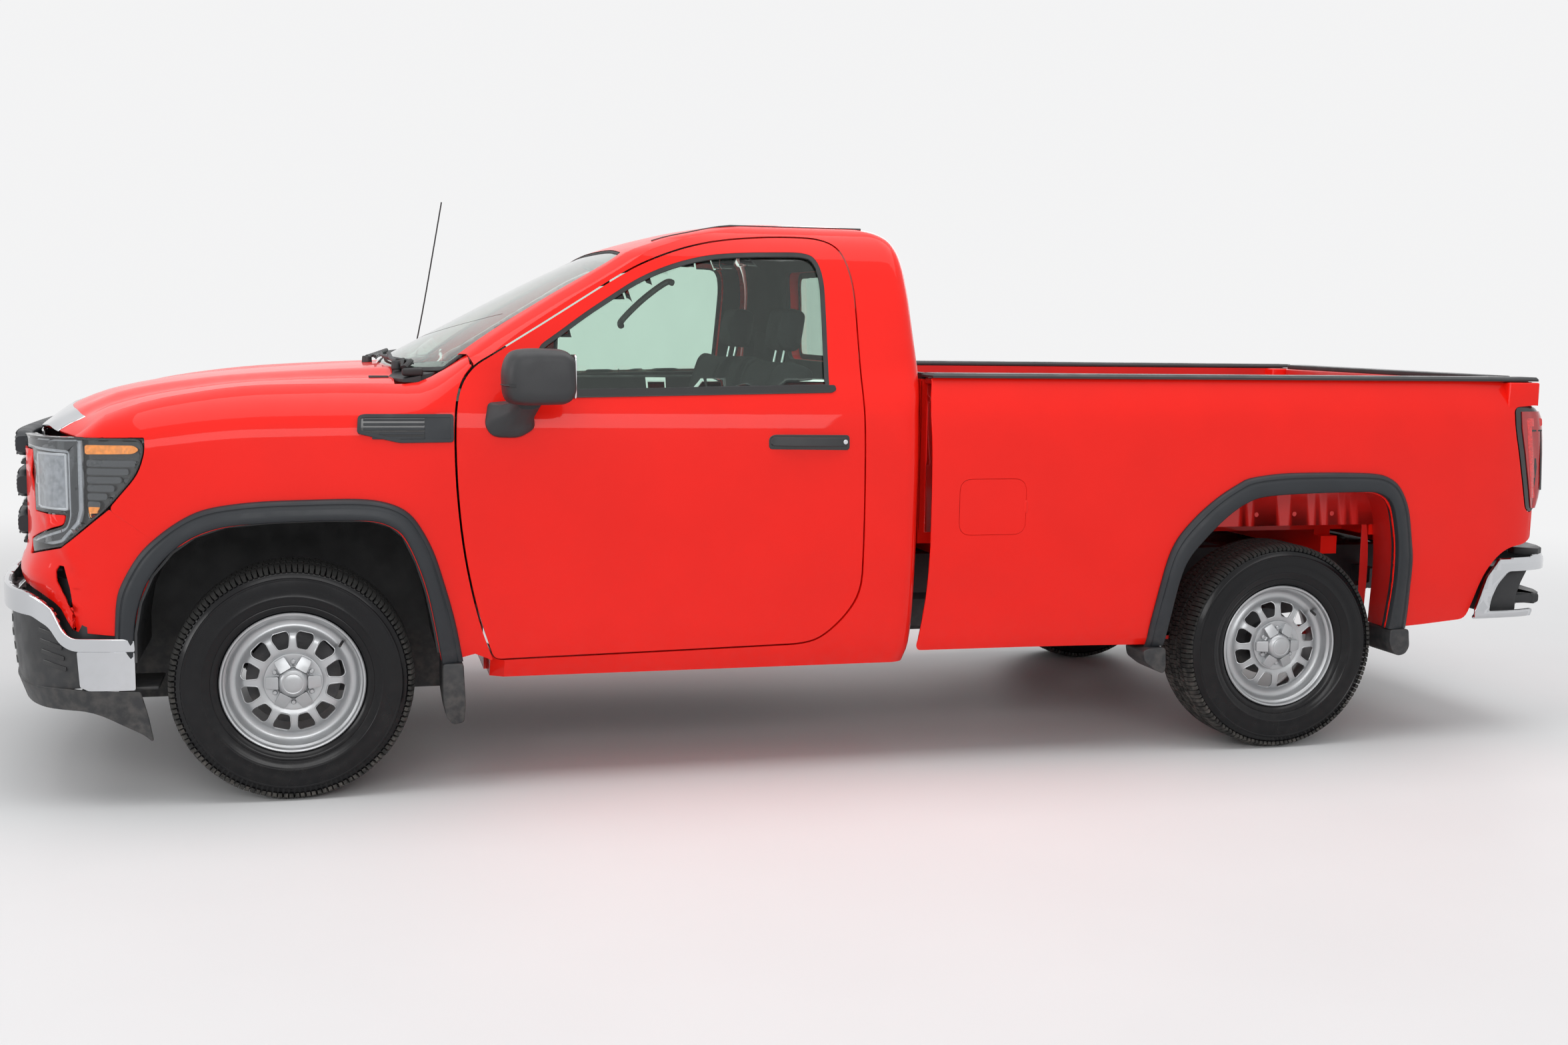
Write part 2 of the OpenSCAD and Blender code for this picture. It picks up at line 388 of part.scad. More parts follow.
module door_left_mirror() { door_mirror(1); }
module door_right_mirror() { door_mirror(-1); }
function hood_z(x,y) = let(c=lookup(x,hood_c), s=lookup(x,hood_s)) c+(s-c)*pow(abs(y)/820,2.4);
module hood() { color("#b3131b") mesh() union() { loft([for (k=[0:16]) let(y=814-k*814/8, t=abs(y)/820, xa=-2768+206*pow(t,2.4), xb=-1700+116*pow(t,2), n=9)
  concat([for (i=[n:-1:0]) let(x=xa+(xb-xa)*pow(i/n,1.5)) [x,y,hood_z(x,y)]], [for (i=[0:n]) let(x=xa+(xb-xa)*pow(i/n,1.5)) [x+(i==0?14:0),y,hood_z(x,y)-26]])]);
  both() tube_y(hood_axis[0], hood_axis[1], 12, -798, -774);
  both() box([hood_axis[0]-38,-798,hood_axis[1]-11.5],[hood_axis[0],-774,hood_axis[1]+6]);
} }
module tailgate() { color("#b3131b") {
  mesh() union() {
    box([2697-gate_thickness,-gate_half,775],[2697,gate_half,1370]);
    both() tube_y(gate_axis[0], gate_axis[1], 9, -gate_half-panel_gap-4+seat_gap, -gate_half+20);
    hull() { box([2697-gate_thickness,-gate_half,1368],[2700,gate_half,1380]); box([2697-gate_thickness+6,-gate_half+6,1384],[2733,gate_half-6,1392]); }
  } } }
module fuel_door() { color("#b3131b") mesh() union() { translate([fuel_axis[0],fuel_axis[1],900]) cylinder(r=2.2,h=50,$fn=16); box([565,fuel_axis[1]-0.5,900],[fuel_axis[0],fuel_axis[1]+4,950]); intersection() {
  side_strip([300,620], [800,950,1050], 0, 14);
  prism_o([[333+30,829],[579-30,829],[579,859],[579,994],[579-30,1024],[333+30,1024],[333,994],[333,859]], -1100, -900, -0.5);
} } }
module steering_wheel() { color("#232427") translate(wheel_pos) rotate([0,90-column_tilt,0]) {
  rotate_extrude($fn=64) translate([wheel_rim_radius-16,0]) circle(r=16,$fn=24);
  for (a=[90,210,330]) rotate([0,0,a]) translate([30,-18,-12]) cube([wheel_rim_radius-40,36,14]);
  translate([0,0,-28]) cylinder(r=62,h=40,$fn=48);
} }

// ================= wheels =================
module knuckle(s) { color("#404347") translate([xf,0,0]) scale([1,s,1]) {
  translate([0,-pin_y,300]) cylinder(r=34,h=235,$fn=32);
  tube_y(0, wz, 74, -(wy+hub_out), -pin_y);
  tube_y(0, wz, 150, -(wy+8), -(wy-12));
  box([110,-(pin_y+36),wz-55],[168,-(pin_y-16),wz+60]);
  box([20,-(pin_y+14),wz-30],[120,-(pin_y-14),wz+30]);
} }
module knuckle_left() { knuckle(1); }
module knuckle_right() { knuckle(-1); }
module tyre(x, s) { w = tyre_width/2; r = tyre_radius; color("#17181a") translate([x,s*wy,wz]) rotate([90,0,0])
  rotate_extrude($fn=128) polygon([[rim_radius-7.7,-w+32],[rim_radius+6,-w+14],[rim_radius+42,-w+2],[rim_radius+75,-w],[r-42,-w+8],[r-14,-w+24],[r-2,-w+42],[r,-w+60],
    [r,w-60],[r-2,w-42],[r-14,w-24],[r-42,w-8],[rim_radius+75,w],[rim_radius+42,w-2],[rim_radius+6,w-14],[rim_radius-7.7,w-32],[rim_radius+8,w-50],[r-28,w-56],[r-28,-w+56],[rim_radius+8,-w+50]]); }
module rim(x, s) { k = rim_radius; h = tyre_width/2-28; color("#a9adb0") translate([x,s*wy,wz]) rotate([s<0?90:-90,0,0]) difference() {
  rotate_extrude($fn=96) polygon([[k-8,-h-4],[k-8,-h+6],[k-16,-h+20],[k-20,-h+46],[k-34,-20],[k-34,10],[k-22,h-40],[k-18,h-16],[k-8,h-6],[k-8,h+6],[k-20,h-2],
    [k-30,h-18],[k-44,h-38],[k-66,h-40],[k-90,h-18],[k-120,h-14],[k-142,h-22],[60,h-24],[hub_bore/2,h-24],[hub_bore/2,h-34],[k-144,h-34],[k-122,h-26],[k-92,h-30],[k-66,h-52],[k-46,h-50],[k-40,0],[k-42,-26],[k-30,-h+42],[k-24,-h+18]]);
  for (i=[0:rim_windows-1]) rotate([0,0,(i+0.5)*360/rim_windows]) translate([k-101,0,-50]) scale([0.8,1,1]) cylinder(r=25,h=240,$fn=32);
  for (i=[0:5]) rotate([0,0,i*60]) translate([69.85,0,0]) cylinder(d=15,h=200,$fn=24);
} }
module tyre_fl() { tyre(xf,-1); }
module tyre_fr() { tyre(xf,1); }
module tyre_rl() { tyre(xr,-1); }
module tyre_rr() { tyre(xr,1); }
module rim_fl() { rim(xf,-1); }
module rim_fr() { rim(xf,1); }
module rim_rl() { rim(xr,-1); }
module rim_rr() { rim(xr,1); }

frame();
engine_block();
driveline();
exhaust();
fuel_tank();
spare_wheel();
rear_axle();
leaf_springs();
front_suspension();
radiator();
cab_shell();
windshield();
rear_window();
fenders();
front_liners();
front_fascia();
grille();
headlamps();
front_bumper();
air_dam();
cowl_panel();
bed_box();
bedsides();
rail_caps();
arch_trims();
tail_lamps();
rear_bumper();
seats();
dashboard();
antenna();
door_left();
door_left_glass();
door_left_mirror();
door_right();
door_right_glass();
door_right_mirror();
hood();
tailgate();
fuel_door();
steering_wheel();
knuckle_left();
knuckle_right();
tyre_fl();
tyre_fr();
tyre_rl();
tyre_rr();
rim_fl();
rim_fr();
rim_rl();
rim_rr();
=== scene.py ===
"""A full-size regular-cab pickup truck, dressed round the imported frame.

Sizes are in millimetres until a piece is finished, when its mesh is scaled to metres.
+Z is up, the front faces -X and the truck's left side faces -Y.
"""

from __future__ import annotations

import bisect
import json
import logging
import math
from dataclasses import dataclass, field
from enum import Enum
from typing import Any, Callable, Iterable, Sequence

import bmesh
import bpy
from mathutils import Matrix, Vector

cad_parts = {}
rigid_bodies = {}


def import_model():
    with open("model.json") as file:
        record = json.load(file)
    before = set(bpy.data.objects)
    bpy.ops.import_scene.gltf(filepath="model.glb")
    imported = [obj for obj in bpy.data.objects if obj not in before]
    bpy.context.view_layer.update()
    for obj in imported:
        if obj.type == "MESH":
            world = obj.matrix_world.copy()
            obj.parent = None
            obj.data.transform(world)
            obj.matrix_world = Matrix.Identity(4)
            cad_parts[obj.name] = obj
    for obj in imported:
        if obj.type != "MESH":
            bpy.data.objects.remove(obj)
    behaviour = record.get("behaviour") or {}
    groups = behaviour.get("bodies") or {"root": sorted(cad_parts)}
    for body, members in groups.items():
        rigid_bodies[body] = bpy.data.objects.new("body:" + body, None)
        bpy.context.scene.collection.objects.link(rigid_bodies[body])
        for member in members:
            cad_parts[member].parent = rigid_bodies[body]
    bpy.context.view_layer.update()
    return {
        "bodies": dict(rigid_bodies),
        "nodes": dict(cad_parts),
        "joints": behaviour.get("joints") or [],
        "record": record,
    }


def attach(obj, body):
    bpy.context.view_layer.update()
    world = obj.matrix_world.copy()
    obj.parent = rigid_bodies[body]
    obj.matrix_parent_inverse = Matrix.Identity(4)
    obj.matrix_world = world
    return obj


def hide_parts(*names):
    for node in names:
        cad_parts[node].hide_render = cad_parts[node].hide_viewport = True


LOG = logging.getLogger("pickup")
MM = 0.001
BODY = "body"
HOOD_FRONT_X = -2768.0
HOOD_BOW = 206.0
HOOD_HALF_WIDTH = 820.0
FRONT_AXLE_X = -1920
REAR_AXLE_X = 1625
WHEEL_Y = 872
WHEEL_Z = 385
QUARTER_TURN = Matrix.Rotation(math.pi / 2, 4, "X")
BACKDROP = (0.90, 0.90, 0.905, 1.0)
Point = Sequence[float]
Surface = Callable[[float, float], Vector]


# ---------------------------------------------------------------- shader kit
class Value:
    """A shader value that takes part in ordinary arithmetic."""

    def __init__(self, recipe: "Recipe", socket: bpy.types.NodeSocket) -> None:
        """Wraps an output socket of a recipe's node."""
        self.recipe = recipe
        self.socket = socket

    def _join(self, operation: str, other: Any, flip: bool = False) -> "Value":
        """Adds one Math node.

        Args:
            operation: The Math node's operation.
            other: The second value or number.
            flip: True to put the other value first.

        Returns:
            The node's result.
        """
        first, second = (other, self) if flip else (self, other)
        return self.recipe.node("ShaderNodeMath", {"operation": operation}, {0: first, 1: second})

    def __add__(self, other: Any) -> "Value":
        """Sum."""
        return self._join("ADD", other)

    __radd__ = __add__

    def __sub__(self, other: Any) -> "Value":
        """Difference."""
        return self._join("SUBTRACT", other)

    def __rsub__(self, other: Any) -> "Value":
        """Reflected difference."""
        return self._join("SUBTRACT", other, True)

    def __mul__(self, other: Any) -> "Value":
        """Product."""
        return self._join("MULTIPLY", other)

    __rmul__ = __mul__

    def __pow__(self, other: Any) -> "Value":
        """Power."""
        return self._join("POWER", other)

    def ramp(self, low: float, high: float) -> "Value":
        """0 below low, 1 above high, smooth between.

        Args:
            low: Where it starts to rise.
            high: Where it ends.

        Returns:
            The share.
        """
        return self.recipe.node(
            "ShaderNodeMapRange", {"interpolation_type": "SMOOTHSTEP"},
            {0: self, 1: low, 2: high, 3: 0.0, 4: 1.0},
        )


class Recipe:
    """The node tree of one material."""

    def __init__(self, name: str) -> None:
        """Starts an empty material."""
        self.material = bpy.data.materials.new(name)
        self.material.use_nodes = True
        self.tree = self.material.node_tree
        self.tree.nodes.clear()
        self.coordinates = self.node("ShaderNodeTexCoord", output="Object")

    def node(
        self, kind: str, settings: dict[str, Any] | None = None, inputs: dict[Any, Any] | None = None,
        output: Any = 0,
    ) -> Value:
        """Adds a node.

        Args:
            kind: The node's type.
            settings: Properties, set first.
            inputs: Values or links of its sockets.
            output: The output to return.

        Returns:
            The chosen output.
        """
        made = self.tree.nodes.new(kind)
        for key, value in (settings or {}).items():
            setattr(made, key, value)
        for key, value in (inputs or {}).items():
            if isinstance(value, Value):
                self.tree.links.new(value.socket, made.inputs[key])
            else:
                made.inputs[key].default_value = value
        return Value(self, made.outputs[output]) if made.outputs else Value(self, made.inputs[0])

    def mix(self, share: Any, first: Any, second: Any) -> Value:
        """Mixes two colours by a share."""
        pair = [c if isinstance(c, Value) else (*c, 1.0) for c in (first, second)]
        return self.node("ShaderNodeMix", {"data_type": "RGBA"}, {0: share, 6: pair[0], 7: pair[1]}, 2)

    def stretched(self, scale: Point, source: Value | None = None) -> Value:
        """Scales the coordinates along each axis."""
        return self.node(
            "ShaderNodeMapping", {"vector_type": "POINT"}, {0: source or self.coordinates, 3: tuple(scale)}
        )

    def noise(self, size: float, detail: float = 3.0, source: Value | None = None) -> Value:
        """Noise with lumps of a size in metres.

        Args:
            size: Size of a lump in metres.
            detail: Finer layers on top.
            source: Coordinates, where they aren't the piece's own.

        Returns:
            The noise.
        """
        return self.node(
            "ShaderNodeTexNoise", None,
            {"Vector": source or self.coordinates, "Scale": 1.0 / size, "Detail": detail},
        )

    def cells(self, size: float, feature: str = "F1") -> Value:
        """Cells of a size in metres."""
        return self.node(
            "ShaderNodeTexVoronoi", {"feature": feature}, {"Vector": self.coordinates, "Scale": 1.0 / size},
        )

    def axis(self, name: str) -> Value:
        """One Object coordinate in metres."""
        return self.node("ShaderNodeSeparateXYZ", None, {0: self.coordinates}, name)

    def bump(self, height: Value, depth: float) -> Value:
        """A normal from a height, with its depth in metres."""
        return self.node("ShaderNodeBump", None, {"Height": height, "Strength": 1.0, "Distance": depth})

    def output(self, shader: Value) -> bpy.types.Material:
        """Joins a shader to the material output."""
        end = self.tree.nodes.new("ShaderNodeOutputMaterial")
        self.tree.links.new(shader.socket, end.inputs["Surface"])
        return self.material


class Grain(Enum):
    """What the small surface of a finish is like."""

    PEEL = "orange peel under clear coat"
    PEBBLE = "moulded plastic grain"
    CAST = "rough casting or undercoat"
    BRUSH = "fine drawn lines"
    WEAVE = "woven threads"
    CLEAR = "nearly flat"


@dataclass(frozen=True)
class Finish:
    """A surface finish of the truck."""

    name: str
    colour: tuple[float, float, float]
    roughness: float
    metallic: float = 0.0
    coat: float = 0.0
    grain: Grain = Grain.CLEAR
    grain_size: float = 0.002
    grain_depth: float = 0.0002
    patch: float = 0.08
    patch_size: float = 0.25
    scuff: float = 0.08
    dust: float = 0.0
    specular: float = 0.5
    glow: float = 0.0

    def build(self) -> bpy.types.Material:
        """Makes the material.

        Returns:
            The material with its node tree.
        """
        kit = Recipe(self.name)
        dark = tuple(c * (1.0 - self.patch) for c in self.colour)
        pale = tuple(min(1.0, c * (1.0 + self.patch)) for c in self.colour)
        clouds = kit.noise(self.patch_size, 4.0)
        colour = kit.mix(clouds.ramp(0.3, 0.7), dark, pale)
        rough = (
            kit.noise(self.patch_size * 0.3, 5.0).ramp(0.25, 0.75) * (2 * self.scuff)
            + (self.roughness - self.scuff)
        )
        if self.dust:
            low = 1.0 - kit.axis("Z").ramp(0.12, 0.62)
            film = low * kit.noise(0.03, 6.0).ramp(0.35, 0.75) * self.dust
            colour = kit.mix(film, colour, (0.30, 0.27, 0.24))
            rough = rough + film * 0.5
        inputs: dict[Any, Any] = {
            "Base Color": colour, "Roughness": rough, "Metallic": self.metallic, "Coat Weight": self.coat,
            "Coat Roughness": 0.025, "Coat IOR": 1.38, "Specular IOR Level": self.specular,
            "Normal": kit.bump(self._height(kit), self.grain_depth),
        }
        if self.glow:
            inputs["Emission Color"] = (*self.colour, 1.0)
            inputs["Emission Strength"] = self.glow
        return kit.output(kit.node("ShaderNodeBsdfPrincipled", None, inputs))

    def _height(self, kit: Recipe) -> Value:
        """The height pattern of the grain.

        Args:
            kit: The material's recipe.

        Returns:
            The pattern.
        """
        size = self.grain_size
        if self.grain is Grain.PEBBLE:
            return kit.cells(size) * 0.7 + kit.noise(size * 3, 2.0) * 0.6
        if self.grain is Grain.CAST:
            return kit.noise(size, 5.0) + kit.cells(size * 2.5) * 0.5
        if self.grain is Grain.BRUSH:
            return kit.noise(size, 3.0, kit.stretched((1.0, 1.0, 14.0)))
        if self.grain is Grain.WEAVE:
            threads = [
                kit.node(
                    "ShaderNodeTexWave", {"bands_direction": way, "wave_profile": "SIN"},
                    {"Vector": kit.coordinates, "Scale": 0.31 / size, "Distortion": 0.6, "Detail": 1.0},
                )
                for way in ("X", "Y", "Z")
            ]
            return threads[0] * threads[1] + threads[2] * 0.6 + kit.noise(size * 0.6, 2.0) * 0.4
        return kit.noise(size, 2.0)


@dataclass(frozen=True)
class Clear:
    """Window glass or a lamp lens."""

    name: str
    tint: tuple[float, float, float]
    roughness: float = 0.0
    ior: float = 1.45
    streak: float = 0.04

    def build(self) -> bpy.types.Material:
        """Makes a clear material that lets lamps through."""
        kit = Recipe(self.name)
        smear = kit.noise(0.18, 4.0, kit.stretched((1.0, 1.0, 0.4)))
        tint = kit.mix(smear.ramp(0.3, 0.8), self.tint, tuple(c * (1 - self.streak) for c in self.tint))
        glass = kit.node(
            "ShaderNodeBsdfPrincipled", None,
            {
                "Base Color": tint, "Roughness": self.roughness, "IOR": self.ior, "Transmission Weight": 1.0,
                "Normal": kit.bump(kit.noise(0.35, 1.0), 0.00012),
            },
        )
        veil = kit.node("ShaderNodeBsdfTransparent", None, {0: (*self.tint, 1.0)})
        lamp = kit.node("ShaderNodeLightPath", output="Is Shadow Ray")
        return kit.output(kit.node("ShaderNodeMixShader", None, {0: lamp, 1: glass, 2: veil}))


PAINT = Finish(
    "red_paint", (0.86, 0.010, 0.004), 0.45, coat=0.55, grain=Grain.PEEL, grain_size=0.006,
    grain_depth=0.000012, patch=0.02, scuff=0.03, dust=0.05, specular=0.12
)
PAINT_INSIDE = Finish(
    "red_paint_inside", (0.62, 0.012, 0.009), 0.42, coat=0.35, grain=Grain.PEEL, grain_size=0.008,
    grain_depth=0.00005, patch=0.07, scuff=0.06, dust=0.3
)
TEXTURED = Finish(
    "textured_black", (0.022, 0.023, 0.025), 0.52, grain=Grain.PEBBLE, grain_size=0.0016, grain_depth=0.00022,
    patch=0.12, dust=0.25
)
FLARE = Finish(
    "arch_moulding", (0.020, 0.023, 0.027), 0.46, specular=0.35, grain=Grain.PEBBLE, grain_size=0.0012,
    grain_depth=0.00010, patch=0.10, dust=0.18
)
GLOSS_BLACK = Finish(
    "gloss_black", (0.012, 0.012, 0.013), 0.16, coat=0.6, grain_size=0.02, grain_depth=0.00002, patch=0.10,
    scuff=0.04
)
RUBBER = Finish(
    "rubber", (0.016, 0.016, 0.017), 0.62, grain=Grain.PEBBLE, grain_size=0.003, grain_depth=0.00015,
    patch=0.2, dust=0.3
)
CHROME = Finish(
    "chrome", (0.60, 0.61, 0.63), 0.08, metallic=1.0, grain_size=0.05, grain_depth=0.00003, patch=0.02,
    scuff=0.03, dust=0.2
)
SATIN_SILVER = Finish(
    "satin_silver", (0.62, 0.63, 0.65), 0.30, metallic=0.9, grain_size=0.01, grain_depth=0.00002, patch=0.03,
    scuff=0.04
)
WHEEL_SILVER = Finish(
    "wheel_silver", (0.44, 0.45, 0.46), 0.36, metallic=0.75, coat=0.15, grain=Grain.PEEL, grain_size=0.004,
    grain_depth=0.00003, patch=0.05, scuff=0.06, dust=0.12
)
TREAD = Finish(
    "tread_rubber", (0.018, 0.018, 0.017), 0.82, grain=Grain.CAST, grain_size=0.006, grain_depth=0.0005,
    patch=0.35, patch_size=0.03, scuff=0.1, dust=0.3
)
SIDEWALL = Finish(
    "sidewall_rubber", (0.004, 0.004, 0.005), 0.22, grain=Grain.PEBBLE, grain_size=0.02, grain_depth=0.00008,
    patch=0.2, scuff=0.06, dust=0.02, specular=0.28
)
UNDERCOAT = Finish(
    "chassis_coating", (0.018, 0.019, 0.021), 0.58, grain=Grain.CAST, grain_size=0.012, grain_depth=0.0006,
    patch=0.3, scuff=0.15, dust=0.5
)
BARE_IRON = Finish(
    "cast_iron", (0.10, 0.10, 0.105), 0.55, metallic=0.8, grain=Grain.CAST, grain_size=0.008,
    grain_depth=0.0007, patch=0.25, scuff=0.15, dust=0.4
)
PIPE_STEEL = Finish(
    "exhaust_steel", (0.33, 0.30, 0.27), 0.46, metallic=0.9, grain=Grain.BRUSH, grain_size=0.006,
    grain_depth=0.0001, patch=0.3, scuff=0.15, dust=0.3
)
ALLOY = Finish(
    "cast_alloy", (0.30, 0.31, 0.32), 0.48, metallic=0.85, grain=Grain.CAST, grain_size=0.006,
    grain_depth=0.0004, patch=0.2, scuff=0.12, dust=0.3
)
TRIM_DARK = Finish(
    "interior_dark", (0.018, 0.018, 0.020), 0.60, grain=Grain.PEBBLE, grain_size=0.0018, grain_depth=0.00018,
    patch=0.1
)
TRIM_GREY = Finish(
    "interior_grey", (0.080, 0.082, 0.088), 0.62, grain=Grain.PEBBLE, grain_size=0.0022, grain_depth=0.00018,
    patch=0.08
)
HEADLINER = Finish(
    "headliner", (0.055, 0.056, 0.060), 0.9, grain=Grain.WEAVE, grain_size=0.0016, grain_depth=0.0002,
    patch=0.06
)
SEAT_CLOTH = Finish(
    "seat_cloth", (0.020, 0.020, 0.023), 0.88, grain=Grain.WEAVE, grain_size=0.0022, grain_depth=0.0005,
    patch=0.25, patch_size=0.02, specular=0.3
)
CARPET = Finish(
    "carpet", (0.02, 0.02, 0.021), 0.95, grain=Grain.CAST, grain_size=0.003, grain_depth=0.001, patch=0.4,
    patch_size=0.01
)
GREY_BEZEL = Finish(
    "lamp_bezel", (0.055, 0.058, 0.062), 0.32, metallic=0.3, grain_size=0.004, grain_depth=0.00003, patch=0.1
)
LIGHT_GUIDE = Finish(
    "light_guide", (0.30, 0.31, 0.33), 0.24, coat=0.6, grain_size=0.003, grain_depth=0.00004, patch=0.08,
    patch_size=0.02
)
AMBER = Finish(
    "amber_lens", (0.86, 0.25, 0.015), 0.22, coat=0.8, grain=Grain.BRUSH, grain_size=0.004,
    grain_depth=0.0003, patch=0.2, patch_size=0.01
)
RED_LENS = Finish(
    "red_lens", (0.42, 0.008, 0.010), 0.12, coat=1.0, grain_size=0.05, grain_depth=0.00002, patch=0.12,
    patch_size=0.05, scuff=0.03
)
RED_GLOW = Finish(
    "red_inner", (0.72, 0.02, 0.02), 0.25, coat=1.0, grain=Grain.BRUSH, grain_size=0.004, grain_depth=0.0002,
    patch=0.2, patch_size=0.01
)
PROJECTOR = Finish(
    "projector_glass", (0.26, 0.27, 0.29), 0.20, metallic=0.5, coat=0.8, grain=Grain.BRUSH, grain_size=0.004,
    grain_depth=0.0001, patch=0.25, patch_size=0.02
)
WHITE_LENS = Finish(
    "white_lens", (0.75, 0.76, 0.76), 0.15, coat=1.0, grain=Grain.BRUSH, grain_size=0.004, grain_depth=0.0002,
    patch=0.1, patch_size=0.01
)
MIRROR_GLASS = Finish(
    "mirror_glass", (0.80, 0.82, 0.84), 0.03, metallic=1.0, grain_size=0.3, grain_depth=0.00001, patch=0.02,
    scuff=0.01
)
WINDOW = Clear("window_glass", (0.74, 0.88, 0.80))
LENS = Clear("clear_lens", (0.93, 0.95, 0.96))


class Paintbox:
    """Builds each finish once."""

    _made: dict[str, bpy.types.Material] = {}

    @classmethod
    def get(cls, finish: Finish | Clear) -> bpy.types.Material:
        """The material of a finish."""
        if finish.name not in cls._made:
            cls._made[finish.name] = finish.build()
        return cls._made[finish.name]


# ---------------------------------------------------------------- shape kit
class Track:
    """A smooth curve through (station, value) pairs, monotone between them."""

    def __init__(self, pairs: Sequence[Point]) -> None:
        """Works out the slopes at the stations."""
        self.at = [float(p[0]) for p in pairs]
        self.value = [float(p[1]) for p in pairs]
        steps = [
            (self.value[i + 1] - self.value[i]) / (self.at[i + 1] - self.at[i])
            for i in range(len(self.at) - 1)
        ]
        self.slope = [steps[0]]
        for left, right in zip(steps, steps[1:]):
            same = left * right > 0
            self.slope.append(2 * left * right / (left + right) if same else 0.0)
        self.slope.append(steps[-1])

    def __call__(self, station: float) -> float:
        """The value at a station, held flat past the ends."""
        if station <= self.at[0]:
            return self.value[0]
        if station >= self.at[-1]:
            return self.value[-1]
        i = bisect.bisect_right(self.at, station) - 1
        width = self.at[i + 1] - self.at[i]
        t = (station - self.at[i]) / width
        a, b = self.value[i], self.value[i + 1]
        return (
            a * (1 + 2 * t) * (1 - t) ** 2 + b * t * t * (3 - 2 * t)
            + width * (self.slope[i] * t * (1 - t) ** 2 - self.slope[i + 1] * t * t * (1 - t))
        )


def ease(value: float, low: float, high: float) -> float:
    """0 below low, 1 above high, smooth between."""
    t = max(0.0, min(1.0, (value - low) / (high - low)))
    return t * t * (3 - 2 * t)


def rounded(points: Sequence[Point], radius: float = 20.0, steps: int = 5) -> list[tuple[float, float]]:
    """Rounds the corners of a loop.

    Args:
        points: The corners; a third number is that corner's own radius.
        radius: How far back along each side a corner starts.
        steps: Points on each rounded corner.

    Returns:
        The rounded loop.
    """
    made: list[tuple[float, float]] = []
    count = len(points)
    for i, corner in enumerate(points):
        here = Vector(corner[:2])
        before, after = Vector(points[i - 1][:2]), Vector(points[(i + 1) % count][:2])
        reach = corner[2] if len(corner) > 2 else radius
        back, ahead = before - here, after - here
        start = here + back.normalized() * min(reach, back.length * 0.49)
        end = here + ahead.normalized() * min(reach, ahead.length * 0.49)
        bend = back.normalized().dot(ahead.normalized())
        number = 1 if reach <= 0 else (2 if bend < -0.999 else steps)
        for k in range(number):
            t = (k + 0.5) / number if number == 1 else k / (number - 1)
            spot = start * (1 - t) ** 2 + here * 2 * t * (1 - t) + end * t * t
            made.append((spot.x, spot.y))
    return made


def grown(loop: Sequence[Point], by: float) -> list[tuple[float, float]]:
    """Moves a loop outwards, or inwards where by is negative.

    Args:
        loop: A closed outline.
        by: Distance outwards, negative for inwards.

    Returns:
        The moved outline.
    """
    area = sum(a[0] * b[1] - b[0] * a[1] for a, b in zip(loop, [*loop[1:], loop[0]]))
    turn = by if area > 0 else -by
    made = []
    for i, here in enumerate(loop):
        before, after = loop[i - 1], loop[(i + 1) % len(loop)]
        along = Vector((after[0] - before[0], after[1] - before[1])).normalized()
        made.append((here[0] + along.y * turn, here[1] - along.x * turn))
    return made


def spread(low: float, high: float, step: float) -> list[float]:
    """Even stations from low to high, about step apart."""
    count = max(1, round((high - low) / step))
    return [low + (high - low) * i / count for i in range(count + 1)]


def in_pieces(bm: bmesh.types.BMesh) -> list:
    """Every vertex, edge and face of a mesh."""
    return bm.verts[:] + bm.edges[:] + bm.faces[:]


def cut(bm: bmesh.types.BMesh, spot: Point, way: Point, drop: int = 0) -> None:
    """Cuts a mesh along a plane.

    Args:
        bm: The mesh.
        spot: A point on the plane.
        way: The plane's normal.
        drop: 1 removes what lies ahead of the normal, -1 what lies behind.
    """
    bmesh.ops.bisect_plane(
        bm, geom=in_pieces(bm), dist=1e-4, plane_co=spot, plane_no=way, clear_outer=drop > 0,
        clear_inner=drop < 0,
    )


